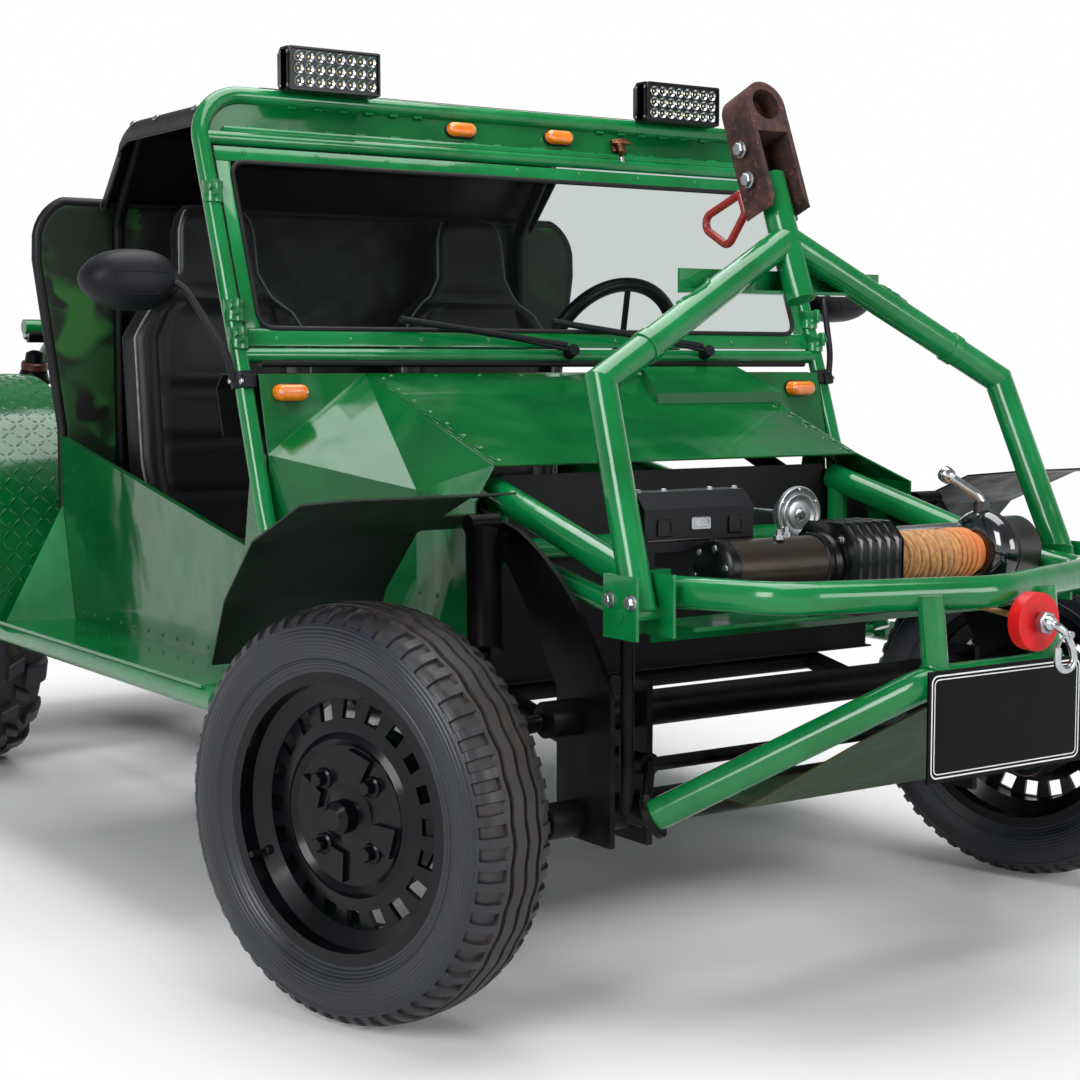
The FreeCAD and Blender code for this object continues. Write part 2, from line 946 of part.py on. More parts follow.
def build_rim(label, x, y, z, outboard):
    """A pressed steel wheel with its drum: rim, slotted disc, raised ring, pads, hub and cap."""
    half = s.rim_half_width
    wall = s.rim_wall
    disc = half - s.disc_depth
    ring = s.bead_ring_radius
    body = new_body(label)
    rim = [
        (s.rim_flange_radius, -half),
        (s.rim_flange_radius, -half + wall),
        (s.rim_seat_radius, -half + wall),
        (s.rim_seat_radius, -s.rim_well_half - s.rim_slope),
        (s.rim_well_radius, -s.rim_well_half),
        (s.rim_well_radius, s.rim_well_half),
        (s.rim_seat_radius, s.rim_well_half + s.rim_slope),
        (s.rim_seat_radius, half - wall),
        (s.rim_flange_radius, half - wall),
        (s.rim_flange_radius, half),
        (s.rim_seat_radius - wall, half),
        (s.rim_seat_radius - wall, s.rim_well_half + s.rim_slope + wall),
        (s.rim_well_radius - wall, s.rim_well_half + wall),
        (ring + s.bead_ring_half, disc),
        (ring, disc + s.bead_ring_rise),
        (ring - s.bead_ring_half, disc),
        (s.hub_radius, disc),
        (s.cap_radius, disc + wall),
        (s.cap_radius, disc + s.cap_stand - s.cap_dome),
        (s.cap_radius - s.cap_dome, disc + s.cap_stand),
        (ZERO, disc + s.cap_stand),
        (ZERO, disc - wall),
        (s.hub_bore_radius, disc - wall),
        (s.hub_bore_radius, disc - s.drum_width - wall),
        (s.hub_radius, disc - s.drum_width - wall),
        (s.hub_radius, disc - s.hub_wall),
        (s.drum_radius - s.drum_wall, disc - s.hub_wall),
        (s.drum_radius - s.drum_wall, disc - s.drum_width),
        (s.drum_radius, disc - s.drum_width),
        (s.drum_radius, disc - s.drum_wall),
        (s.rim_well_radius - wall, s.rim_well_half - wall),
        (s.rim_well_radius - wall, -s.rim_well_half),
        (s.rim_seat_radius - wall, -s.rim_well_half - s.rim_slope),
        (s.rim_seat_radius - wall, -half),
    ]
    revolve(body, outline(body, "XZ_Plane", rim))
    pads = []
    pad_base = disc - wall / 2
    pad_plan = [
        (s.pad_inner_radius, -s.pad_inner_half),
        (s.pad_outer_radius, -s.pad_outer_half),
        (s.pad_outer_radius, s.pad_outer_half),
        (s.pad_inner_radius, s.pad_inner_half),
    ]
    pads.append(pad(body, raised_outline(body, pad_plan, pad_base), s.pad_rise + wall / 2))
    around(body, pads, SIZES["pad_count"])
    slot = [
        (s.slot_inner_radius, -s.slot_width / 2),
        (s.slot_outer_radius, -s.slot_width / 2),
        (s.slot_outer_radius, s.slot_width / 2),
        (s.slot_inner_radius, s.slot_width / 2),
    ]
    whole = body.Shape.Volume
    slots = [pocket(body, raised_outline(body, slot, half), s.rim_half_width)]
    around(body, slots, SIZES["slot_count"])
    place(body, x, y, z, FreeCAD.Rotation(UP, outboard))
    doc.recompute()
    if body.Shape.Volume >= whole:
        raise RuntimeError(f"the slots of {label} cut nothing")
    return body


def raised_outline(body, corners, level):
    """An outline that lies above the body's own base plane."""
    sketch = outline(body, "XY_Plane", corners)
    sketch.AttachmentOffset = FreeCAD.Placement(vec(0, 0, level), FreeCAD.Rotation())
    sketch.setExpression(".AttachmentOffset.Base.z", level.text)
    return sketch


def around(body, features, count):
    """Repeats features round the body's upright axis."""
    doc.recompute()
    pattern = body.newObject("PartDesign::PolarPattern", f"{body.Label}_pattern")
    pattern.Originals = features
    pattern.Axis = (features[0].Profile[0], ["N_Axis"])
    pattern.Angle = 360
    pattern.Occurrences = count
    body.Tip = pattern
    doc.recompute()


def build_wheels():
    for corner, (x, y, z, outboard) in CORNERS.items():
        if corner.startswith("front"):
            tyre = build_tyre(
                f"tyre_{corner}",
                s.front_tyre_radius,
                s.front_tyre_width,
                s.front_tread_width,
                x,
                y,
                z,
                outboard,
            )
        else:
            tyre = build_mud_tyre(f"tyre_{corner}", x, y, z, outboard)
        node(tyre)
        node(build_rim(f"wheel_{corner}", x, y, z, outboard))


# Steering knuckles: kingpin, barrel, backing plate and the spindle the wheel turns on.

drum_back = s.rim_half_width - s.disc_depth - s.drum_width


def build_knuckle(label, side, outboard):
    """One knuckle; side is -1 on the right and 1 on the left."""
    pin = vec(axle_x, kingpin_y * side, s.front_tyre_radius)
    barrel_low = pin - UP * float(s.knuckle_height / 2)
    barrel_high = pin + UP * float(s.knuckle_height / 2)
    pin_stand = UP * float(s.arm_gap + s.arm_height)
    hub = pin + outboard * float(s.kingpin_offset)
    plate_face = hub + outboard * float(drum_back - s.running_gap)
    spindle_end = hub + outboard * float(s.rim_half_width - s.disc_depth - s.rim_wall - s.running_gap)
    shapes = [
        rod(barrel_low, barrel_high, s.knuckle_radius),
        rod(barrel_low - pin_stand, barrel_high + pin_stand, s.kingpin_radius),
        rod(pin, spindle_end, s.hub_bore_radius - s.fit_gap),
        rod(plate_face - outboard * float(s.rim_wall), plate_face, s.drum_radius),
        steering_arm(pin, outboard, side),
    ]
    return feature(label, weld(shapes))


def steering_arm(pin, outboard, side):
    """The arm behind the kingpin that the track rod pulls."""
    rearward = outboard.cross(UP) * -float(side)
    if rearward.x > 0:
        rearward = -rearward
    root = pin - UP * float(s.knuckle_height / 4)
    tip = root + rearward * float(s.steering_arm_reach) - outboard * float(s.knuckle_radius)
    return rod(root, tip, s.kingpin_radius)


# Front suspension: two torsion tubes across the nose, curved towers, dampers and trailing arms.


def build_front_axle():
    beam_x = ahead(s.beam_ahead)
    shapes = []
    for level in (s.beam_upper_z, s.beam_lower_z):
        left = vec(beam_x, s.beam_half_span, level)
        shapes.append(rod(other_side(left), left, s.beam_tube_radius))
    web = s.tower_web
    tower = [
        (s.tower_rear_ahead, s.tower_top_z),
        (s.tower_crown_ahead, s.tower_crown_z),
        (s.tower_front_ahead, s.tower_knee_z),
        (s.tower_front_ahead, s.tower_foot_z),
        (s.tower_heel_ahead, s.tower_foot_z),
        (s.tower_heel_ahead, s.tower_knee_z),
        (s.tower_crown_ahead - web / 2, s.tower_crown_z - web),
        (s.tower_rear_ahead, s.tower_top_z - web),
    ]
    arcs = {1: (s.tower_bulge_ahead, s.tower_bulge_z), 5: (s.tower_heel_ahead - web, s.tower_bulge_z - web)}
    for side in (-1, 1):
        inner = s.tower_y * side - s.tower_plate / 2
        plate = profile_face("y", inner, tower, arcs)
        shapes.append(plate.extrude(vec(0, s.tower_plate, 0)))
        reach = s.tower_y + s.tower_plate / 2 + s.damper_radius * 2
        pin = vec(ahead(s.damper_ahead), reach * side, s.damper_top_z)
        shapes.append(rod(vec(pin.x, s.tower_y * side, pin.z), pin, s.damper_pin_radius))
    node(feature("front_axle_beam", weld(shapes)))
    arms = []
    dampers = []
    for side in (-1, 1):
        for level, sign in ((s.beam_upper_z, 1), (s.beam_lower_z, -1)):
            arms.append(trailing_arm(beam_x, side, level, sign))
        dampers.append(front_damper(beam_x, side))
    node(group("front_trailing_arms", arms))
    node(group("front_dampers", dampers))


def arm_line(beam_x, side, level, sign):
    """The root and the kingpin eye of a trailing arm."""
    eye_z = s.front_tyre_radius + (s.knuckle_height / 2 + s.arm_gap + s.arm_height / 2) * sign
    eye = vec(axle_x, kingpin_y * side, eye_z)
    root = vec(beam_x, (s.beam_half_span + s.fit_gap + s.knuckle_radius) * side, level)
    return root, eye


def trailing_arm(beam_x, side, level, sign):
    """One arm from the torsion tube's end back to an eye around the kingpin."""
    root, eye = arm_line(beam_x, side, level, sign)
    half = UP * float(s.arm_height / 2)
    inner = vec(beam_x, (s.beam_half_span + s.fit_gap) * side, level)
    shapes = [
        rod(inner, root + vec(0, s.knuckle_radius * side, 0), s.beam_tube_radius),
        rod(root, eye, s.arm_height / 2),
        rod(eye - half, eye + half, s.knuckle_radius),
    ]
    hole = rod(eye - half * 2, eye + half * 2, s.kingpin_radius + s.fit_gap)
    label = f"arm_{'right' if side < 0 else 'left'}_{'upper' if sign > 0 else 'lower'}"
    return feature(label, weld(shapes).cut(hole))


def front_damper(beam_x, side):
    """A damper from its pin on the tower to a saddle on the upper arm."""
    root, eye = arm_line(beam_x, side, s.beam_upper_z, 1)
    along_share = float(s.damper_arm_ahead / s.beam_ahead)
    seat = eye + (root - eye) * along_share + UP * float(s.arm_height / 2 + s.running_gap)
    top_y = (s.tower_y + s.tower_plate / 2 + s.fit_gap + s.damper_radius) * side
    top = vec(ahead(s.damper_ahead), top_y, s.damper_top_z)
    down = seat - top
    down.normalize()
    body_top = top + down * float(s.damper_eye_radius)
    body_low = body_top + down * float(s.damper_body_length)
    reach = vec(0, s.damper_radius - s.fit_gap, 0)
    shapes = [
        rod(top - reach, top + reach, s.damper_eye_radius),
        rod(body_top, body_low, s.damper_radius),
        rod(body_low, seat, s.damper_rod_radius),
        rod(seat - down * float(s.damper_eye_radius), seat, s.damper_eye_radius),
    ]
    hole = rod(top - reach * 2, top + reach * 2, s.damper_pin_radius + s.fit_gap)
    return feature(f"damper_{'right' if side < 0 else 'left'}", weld(shapes).cut(hole))


# Belly, side panels and frame of the cab.

pillar_y = s.body_half_width + s.pillar_gap + s.pillar_tube / 2
board_top_z = s.floor_z + s.sheet_wall
sill_y = s.body_half_width + s.sill_reach
sill_z = s.floor_z - s.sill_tube / 2
header_top_z = s.screen_head_z + s.header_rise


def build_tub():
    half = s.body_half_width - s.sheet_wall - s.fit_gap
    rear = ahead(s.bulkhead_ahead)
    nose = s.nose_half_width - s.sheet_wall - s.fit_gap
    floor = [
        (rear, -half),
        (ahead(s.side_front_top_ahead), -half),
        (ahead(s.pillar_knee_ahead) - s.sheet_wall, -nose),
        (ahead(s.floor_front_ahead), -nose),
        (ahead(s.floor_front_ahead), nose),
        (ahead(s.pillar_knee_ahead) - s.sheet_wall, nose),
        (ahead(s.side_front_top_ahead), half),
        (rear, half),
    ]
    node(panel("floor_pan", "XY_Plane", floor, s.sheet_wall, z=s.floor_z))
    low = s.floor_z + s.sheet_wall
    inner = nose - s.sheet_wall
    upper = s.hood_front_half_width - s.frame_tube
    wall = [
        (-inner, low),
        (inner, low),
        (inner, s.firewall_top_z - s.frame_tube * 2),
        (upper, s.firewall_top_z),
        (-upper, s.firewall_top_z),
        (-inner, s.firewall_top_z - s.frame_tube * 2),
    ]
    node(panel("firewall", "YZ_Plane", wall, s.sheet_wall, x=ahead(s.firewall_ahead)))
    build_body_sides()


def build_body_sides():
    """Flat panels with a rolled upper lip, from the pillar's foot to the bulkhead."""
    front = ahead(s.pillar_knee_ahead) - s.sheet_wall
    upper_front = ahead(s.seam_rear_ahead) - s.sheet_wall * 2
    side = [
        (ahead(s.bulkhead_ahead), s.floor_z),
        (front, s.floor_z),
        (upper_front, s.seam_rear_z),
        (ahead(s.screen_foot_ahead), s.seam_rear_z),
        (ahead(s.side_front_top_ahead), s.side_front_top_z),
        (ahead(s.bulkhead_ahead), s.side_rear_top_z),
    ]
    sheet_left = panel("side_sheet", "XZ_Plane", side, s.sheet_wall, y=s.body_half_width)
    lip_y = s.body_half_width - s.side_lip_radius
    lip_front = vec(ahead(s.side_front_top_ahead), lip_y, s.side_front_top_z - s.side_lip_radius)
    lip_rear = vec(ahead(s.bulkhead_ahead) + s.running_gap, lip_y, s.side_rear_top_z - s.side_lip_radius)
    lip = feature("side_lip", rod(lip_rear, lip_front, s.side_lip_radius))
    left = fused("body_side", [sheet_left, lip])
    node(group("body_sides", [left, mirrored(left, "body_side_right")]))


def screen_point(level, y):
    """A point of the sloping windscreen plane at a height."""
    rise = level - s.screen_foot_z
    slope_share = (s.screen_head_ahead - s.screen_foot_ahead) / (s.screen_head_z - s.screen_foot_z)
    return vec(ahead(s.screen_foot_ahead) + rise * slope_share, y, level)


def screen_hoop(diameter):
    """One bent tube: up the left pillar, over the header and down the right."""
    base = vec(ahead(s.pillar_base_ahead), pillar_y, board_top_z + s.fit_gap)
    knee = vec(ahead(s.pillar_knee_ahead), pillar_y, s.pillar_knee_z)
    foot = screen_point(s.screen_foot_z, pillar_y)
    crown = screen_point(header_top_z, pillar_y)
    left = [base, knee, foot, crown]
    right = [other_side(point) for point in left]
    bends = [s.pillar_bend, s.pillar_bend, s.header_bend]
    return tube(left + right[::-1], diameter, bends + bends[::-1])


def build_screen():
    """The hoop with its two cross rails, the glass, the header and the wipers."""
    shapes = [screen_hoop(s.pillar_tube)]
    for level in (s.screen_foot_z, s.screen_head_z):
        end = screen_point(level, pillar_y)
        shapes.append(rod(other_side(end), end, s.rail_tube / 2))
    node(feature("windscreen_frame", weld(shapes)))
    foot_mid = screen_point(s.screen_foot_z, ZERO)
    head_mid = screen_point(s.screen_head_z, ZERO)
    top_mid = screen_point(header_top_z, ZERO)
    inset = s.rail_tube / 2 + s.fit_gap
    pane_height = as_size((head_mid - foot_mid).Length)
    half = pillar_y - s.pillar_tube / 2 - s.glass_gap
    pane = [(-half, inset), (half, inset), (half, pane_height - inset), (-half, pane_height - inset)]
    rake = math.degrees(math.atan2(head_mid.x - foot_mid.x, head_mid.z - foot_mid.z))
    lean = FreeCAD.Rotation(vec(0, 1, 0), rake)
    glass = panel("windscreen_glass", "YZ_Plane", pane, s.glass_thickness, both_ways=True)
    node(place(glass, ahead(s.screen_foot_ahead), ZERO, s.screen_foot_z, lean))
    build_header(head_mid, top_mid, lean)
    build_wipers(lean)


def build_header(head_mid, top_mid, lean):
    """The sheet between the glass and the top of the hoop, its upper corners rounded."""
    low = s.rail_tube / 2 + s.fit_gap
    inner = s.header_bend - s.pillar_tube / 2 - s.fit_gap
    centre_u = pillar_y - s.header_bend
    centre_v = as_size((top_mid - head_mid).Length) - s.header_bend
    start_turn = math.asin(float((low - centre_v) / inner))
    middle_turn = (start_turn + math.pi / 2) / 2
    edge = centre_u + inner * math.cos(start_turn)
    bow_u = centre_u + inner * math.cos(middle_turn)
    bow_v = centre_v + inner * math.sin(middle_turn)
    corners = [(-edge, low), (edge, low), (centre_u, centre_v + inner), (-centre_u, centre_v + inner)]
    arcs = {1: (bow_u, bow_v), 3: (-bow_u, bow_v)}
    header = panel("roof_header", "YZ_Plane", corners, s.sheet_wall, arcs, both_ways=True)
    node(place(header, as_size(head_mid.x), ZERO, s.screen_head_z, lean))


def build_wipers(lean):
    """Two arms on bosses below the glass, each with a long blade lying on it."""
    normal = lean.multVec(vec(1, 0, 0))
    up_slope = lean.multVec(vec(0, 0, 1))
    wipers = []
    for name, pivot_y in (("right", s.wiper_pivot_y), ("left", s.wiper_far_pivot_y)):
        root = screen_point(s.screen_foot_z, pivot_y) + normal * float(s.rail_tube / 2 + s.fit_gap)
        top = root + normal * float(s.wiper_boss_length)
        blade_foot = root + normal * float(s.wiper_stand) + up_slope * float(s.wiper_boss_radius)
        blade_foot = blade_foot - vec(0, s.wiper_boss_radius, 0)
        blade_tip = blade_foot - vec(0, s.wiper_blade_length, 0) + up_slope * float(s.frame_tube)
        middle = (blade_foot + blade_tip) * 0.5
        shapes = [
            rod(root, top, s.wiper_boss_radius),
            rod(top - normal * float(s.wiper_rod), middle, s.wiper_rod / 2),
            rod(blade_foot, blade_tip, s.wiper_blade_height / 2),
        ]
        wipers.append(feature(f"wiper_{name}", weld(shapes)))
    node(group("wipers", wipers))


def build_roof():
    """A vinyl lid with rolled edges over a bent bow on each side and one across."""
    wall = s.vinyl_thickness
    front = ahead(s.screen_head_ahead) - s.frame_tube
    rear_top = ahead(s.roof_rear_ahead)
    rear_low = ahead(s.bulkhead_ahead) - s.bulkhead_thickness / 2
    skin = [
        (front, s.roof_z - s.roof_skirt),
        (front, s.roof_z),
        (rear_top, s.roof_z),
        (rear_low, s.roof_seat_z + s.fit_gap),
        (rear_low + s.roof_skirt, s.roof_seat_z + s.fit_gap),
        (rear_top + s.roof_skirt, s.roof_z - s.roof_skirt),
    ]
    half = s.roof_half_width
    outer = profile_face("y", -half, skin, {}, raw_x=True).extrude(vec(0, half * 2, 0))
    rolled = rolled_edges(outer, s.roof_edge_radius)
    over = s.cut_over
    hollow = [
        (front + over, s.roof_z - s.roof_skirt - over),
        (front + over, s.roof_z - wall),
        (rear_top + wall / 2, s.roof_z - wall),
        (rear_low + wall, s.roof_seat_z - over),
        (rear_low + s.roof_skirt + over * 2, s.roof_seat_z - over),
        (rear_top + s.roof_skirt + over, s.roof_z - s.roof_skirt - over),
    ]
    inside = profile_face("y", wall - half, hollow, {}, raw_x=True).extrude(vec(0, (half - wall) * 2, 0))
    inside = rolled_edges(inside, s.roof_edge_radius - wall)
    node(feature("soft_top", rolled.cut(inside)))
    build_bows(rear_top, rear_low)


def rolled_edges(solid, radius):
    """Rounds the edges that run along the roof's two sides at its top."""
    picked = []
    for edge in solid.Edges:
        ends = [vertex.Point for vertex in edge.Vertexes]
        along = abs(ends[0].y - ends[1].y) < float(s.fit_gap)
        high = min(ends[0].z, ends[1].z) > float(s.roof_z - s.roof_skirt / 2)
        if along and high:
            picked.append(edge)
    return solid.makeFillet(float(radius), picked)


def build_bows(rear_top, rear_low):
    radius = s.bow_tube / 2
    under = s.vinyl_thickness + s.fit_gap
    y = s.roof_half_width - under - s.bow_tube
    top = s.roof_z - under - radius
    front = screen_point(header_top_z, y) - vec(s.pillar_tube / 2 + s.fit_gap, 0, 0)
    front.z = float(top)
    corner = vec(rear_top + s.roof_skirt / 2, y, top)
    foot = vec(ahead(s.bulkhead_ahead) + radius + s.fit_gap, y, board_top_z + s.fit_gap)
    knee = vec(foot.x, y, s.roof_seat_z - s.roof_skirt)
    shapes = []
    for flip in (same_side, other_side):
        shapes.append(tube([flip(front), flip(corner), flip(knee), flip(foot)], s.bow_tube, s.frame_tube))
    shapes.append(rod(other_side(corner), corner, radius))
    node(feature("roof_bows", weld(shapes)))


def build_bulkhead():
    top = s.roof_seat_z
    half = s.body_half_width
    shoulder = half + s.bulkhead_shoulder_reach
    corner = s.bulkhead_corner
    bow = corner * round_bow_share
    corners = [
        (-half, s.floor_z + s.sheet_wall),
        (half, s.floor_z + s.sheet_wall),
        (half, s.bulkhead_waist_z),
        (shoulder, s.bulkhead_shoulder_z),
        (shoulder, top - corner),
        (shoulder - corner, top),
        (corner - shoulder, top),
        (-shoulder, top - corner),
        (-shoulder, s.bulkhead_shoulder_z),
        (-half, s.bulkhead_waist_z),
    ]
    arcs = {4: (shoulder - bow, top - bow), 6: (bow - shoulder, top - bow)}
    x = ahead(s.bulkhead_ahead) - s.bulkhead_thickness - s.fit_gap
    node(panel("rear_bulkhead", "YZ_Plane", corners, s.bulkhead_thickness, arcs, x=x))


# Nose: hood, cowl, faceted sides and dashboard.


def hood_height(station):
    """The hood's height at a station."""
    fall_share = (s.hood_front_z - s.hood_rear_z) / (s.hood_front_ahead - s.hood_rear_ahead)
    return s.hood_rear_z + (station - s.hood_rear_ahead) * fall_share


def build_nose():
    hood_rear = vec(ahead(s.hood_rear_ahead), s.hood_rear_half_width, s.hood_rear_z)
    hood_front = vec(ahead(s.hood_front_ahead), s.hood_front_half_width, s.hood_front_z)
    wall = s.sheet_wall
    slope = (hood_front - hood_rear)
    length = as_size(math.hypot(slope.x, slope.z))
    fall = math.degrees(math.atan2(-slope.z, slope.x))
    edge = s.sheet_wall + s.fit_gap
    corners = [
        (ZERO, -s.hood_rear_half_width + edge),
        (length, -s.hood_front_half_width + edge),
        (length, s.hood_front_half_width - edge),
        (ZERO, s.hood_rear_half_width - edge),
    ]
    hood = panel("hood", "XY_Plane", corners, wall)
    turn = FreeCAD.Rotation(vec(0, 1, 0), fall)
    node(place(hood, ahead(s.hood_rear_ahead), ZERO, s.hood_rear_z - wall, turn))
    half = s.body_half_width
    marks = {
        "hood_rear": hood_rear,
        "hood_front": hood_front,
        "shelf": vec(ahead(s.screen_foot_ahead) + s.pillar_tube, half, s.screen_foot_z - s.pillar_tube),
        "seam_rear": vec(ahead(s.seam_rear_ahead), half, s.seam_rear_z + s.fit_gap),
        "seam_front": vec(ahead(s.seam_front_ahead), s.nose_half_width, s.seam_front_z),
        "wing_top": vec(ahead(s.wing_front_ahead), s.nose_half_width, s.wing_top_z),
        "wing_low": vec(ahead(s.wing_front_ahead), s.nose_half_width, s.wing_bottom_z),
        "seam_low": vec(ahead(s.seam_front_ahead), s.nose_half_width, s.floor_z),
        "side_low": vec(ahead(s.pillar_knee_ahead) + s.sheet_wall, half, s.floor_z),
    }
    facets = [
        ("hood_rear", "seam_rear", "shelf"),
        ("hood_rear", "seam_front", "seam_rear"),
        ("hood_rear", "hood_front", "seam_front"),
        ("hood_front", "wing_top", "seam_front"),
        ("seam_rear", "seam_front", "seam_low"),
        ("seam_rear", "seam_low", "side_low"),
        ("seam_front", "wing_top", "wing_low"),
        ("seam_front", "wing_low", "seam_low"),
    ]
    left = feature("nose_side", folded_sheet(marks, facets, wall))
    node(group("nose_sides", [left, mirrored(left, "nose_side_right")]))
    build_cowl()
    build_dashboard()


def build_cowl():
    """The raised cover over the pedals, cut to sit on the sloping hood."""
    front = s.cowl_front_ahead
    step = s.cowl_step_ahead
    right, left, taper = s.cowl_right_y, s.cowl_left_y, s.cowl_taper
    lift = -s.cut_over
    marks = {
        "front_right_low": vec(ahead(front), right, hood_height(front) + lift),
        "front_left_low": vec(ahead(front), left - taper, hood_height(front) + lift),
        "front_right": vec(ahead(front), right, hood_height(front) + s.cowl_front_rise),
        "front_left": vec(ahead(front), left - taper, hood_height(front) + s.cowl_front_rise),
        "step_right_low": vec(ahead(step), right + taper, hood_height(step) + lift),
        "step_left_low": vec(ahead(step), s.hood_rear_half_width - s.running_gap, hood_height(step) + lift),
        "step_right": vec(ahead(step), right + taper, s.cowl_step_z),
        "step_left": vec(ahead(step), s.hood_rear_half_width - s.running_gap, s.cowl_step_z),
    }
    facets = [
        ("front_right_low", "front_left_low", "front_left", "front_right"),
        ("front_right", "front_left", "step_left", "step_right"),
        ("front_right_low", "front_right", "step_right", "step_right_low"),
        ("front_left", "front_left_low", "step_left_low", "step_left"),
        ("step_left", "step_left_low", "step_right_low", "step_right"),
    ]
    cover = folded_sheet(marks, facets, s.sheet_wall)
    over = s.frame_tube
    under = [
        (step - over, hood_height(step - over) + s.fit_gap),
        (front + over, hood_height(front + over) + s.fit_gap),
        (front + over, hood_height(front + over) - over),
        (step - over, hood_height(step - over) - over),
    ]
    block = profile_face("y", ZERO, under, {}).extrude(vec(0, s.body_half_width, 0))
    node(feature("cowl", cover.cut(block)))


def build_dashboard():
    """A rolled sheet across the cab behind the windscreen, notched for the column."""
    rear = ahead(s.dash_rear_ahead)
    roll = s.dash_roll
    line = [
        (ahead(s.hood_rear_ahead) - s.sheet_wall - s.fit_gap, s.dash_top_z),
        (rear + roll, s.dash_top_z),
        (rear, s.dash_top_z - roll),
        (rear + roll, s.dash_low_z),
    ]
    half = s.body_half_width - s.sheet_wall - s.fit_gap
    corners = ribbon(line, s.sheet_wall)
    board = profile_face("y", -half, corners, {}, raw_x=True).extrude(vec(0, half * 2, 0))
    start, heading = column_line()
    hole = Part.makeCylinder(float(s.column_radius + s.running_gap), float(s.wheelbase), start, heading)
    node(feature("dashboard", board.cut(hole)))


# Front frame, rails, bull bar and plates.

bar_face_x = ahead(s.bar_front_ahead) + s.frame_tube / 2
tail_start = vec(ahead(s.bar_front_ahead), s.bar_low_half_span, s.bar_low_z)
tail_end = vec(ahead(s.bar_tail_ahead), s.bar_tail_y, s.bar_tail_z)
tail_heading = tail_end - tail_start
tail_heading.normalize()
post_x = ahead(s.firewall_ahead) + s.sheet_wall + s.brace_tube / 2 + s.fit_gap


def build_front_frame():
    """Two tubes and a brace on each side from the hood's edge to a U bracket for the tow frame."""
    radius = s.frame_tube / 2
    back = ahead(s.pivot_ahead) - s.bracket_back
    inner = s.pivot_y - s.frame_tube / 2 - s.running_gap
    rear_x = ahead(s.firewall_ahead) + s.sheet_wall + s.running_gap + s.fit_gap * 2
    rear_y = s.hood_front_half_width - s.frame_tube / 2
    rear_z = s.hood_front_z - s.frame_rear_drop
    end_y = inner - s.bracket_web / 2
    bracket_top = s.pivot_z + s.bracket_height - s.bracket_drop
    upper_rear = vec(rear_x, rear_y, rear_z)
    upper_end = vec(back - radius, end_y, bracket_top - radius)
    low_rear = vec(post_x, rear_y, s.brace_rear_z)
    post_top = vec(post_x, rear_y, rear_z - s.brace_tube / 4)
    low_end = vec(back - radius, end_y, s.pivot_z - s.bracket_drop + s.brace_tube / 2)
    shapes = []
    for side, flip in ((1, same_side), (-1, other_side)):
        shapes.append(rod(flip(upper_rear), flip(upper_end), radius))
        shapes.append(rod(flip(low_rear), flip(low_end), s.brace_tube / 2))
        shapes.append(rod(flip(low_rear), flip(post_top), s.brace_tube / 2))
        shapes.append(tow_bracket(side))
    shapes.append(rod(other_side(low_rear), low_rear, s.brace_tube / 2))
    node(feature("front_frame", weld(shapes)))


def tow_bracket(side):
    """A U bracket open to the front: two cheeks, a back plate, a web to the frame and the pin."""
    tube_half = s.frame_tube / 2
    slot = tube_half + s.running_gap
    cheek = s.bracket_wall
    y = s.pivot_y
    low = s.pivot_z - s.bracket_drop
    rear = ahead(s.pivot_ahead) - s.bracket_back
    height = float(s.bracket_height)
    shapes = []
    for inner in (y - slot - cheek, y + slot):
        shapes.append(Part.makeBox(float(s.bracket_depth), float(cheek), height, vec(rear, inner, low)))
    width = float((slot + cheek) * 2)
    shapes.append(Part.makeBox(float(cheek), width, height / 2, vec(rear, y - slot - cheek, low)))
    web = vec(rear - s.frame_tube, y - slot - s.bracket_web, low)
    shapes.append(Part.makeBox(float(s.frame_tube + cheek), float(s.bracket_web), height, web))
    pin = vec(ahead(s.pivot_ahead), y, s.pivot_z)
    reach = vec(0, slot + cheek * 2, 0)
    shapes.append(rod(pin - reach, pin + reach, s.pin_radius))
    whole = weld(shapes)
    if side < 0:
        whole = whole.mirror(vec(0, 0, 0), vec(0, 1, 0))
    return whole


def build_front_rails():
    """Black rails under the nose: from the firewall between the torsion tubes to the bar's tails."""
    radius = s.brace_tube / 2
    rear_z = s.floor_z - s.brace_tube / 2 - s.fit_gap
    rear = vec(ahead(s.floor_front_ahead) - s.brace_tube, s.rail_y, rear_z)
    middle = vec(ahead(s.rail_mid_ahead), s.rail_y, s.rail_mid_z)
    front = vec(ahead(s.beam_ahead) + s.beam_tube_radius + s.clamp_margin, s.rail_y, s.rail_mid_z)
    foot = tail_end + tail_heading * float(s.fit_gap)
    disc_end = foot + tail_heading * float(s.tail_disc_depth)
    joint = disc_end + tail_heading * float(s.thin_tube / 2)
    stay_top = vec(ahead(s.stay_ahead), s.stay_y, s.pivot_z - s.bracket_drop - s.fit_gap)
    stay_low = vec(ahead(s.stay_ahead), s.stay_y, s.bar_tail_z)
    shapes = []
    for flip in (same_side, other_side):
        shapes.append(tube([flip(rear), flip(middle), flip(front)], s.brace_tube, s.frame_tube))
        shapes.append(rod(flip(front), flip(joint), radius / 2))
        shapes.append(rod(flip(foot), flip(disc_end), s.tail_disc_radius))
        shapes.append(rod(flip(foot), flip(joint), s.thin_tube / 2))
        shapes.append(rod(flip(stay_low), flip(stay_top), s.thin_tube / 2))
        shapes.append(rod(flip(stay_low), flip(joint), s.thin_tube / 2))
    shapes.append(rod(other_side(rear), rear, radius))
    shapes.append(rod(other_side(front), front, s.thin_tube / 2))
    for side in (-1, 1):
        shapes.append(beam_clamp(side))
    node(feature("front_rails", weld(shapes)))


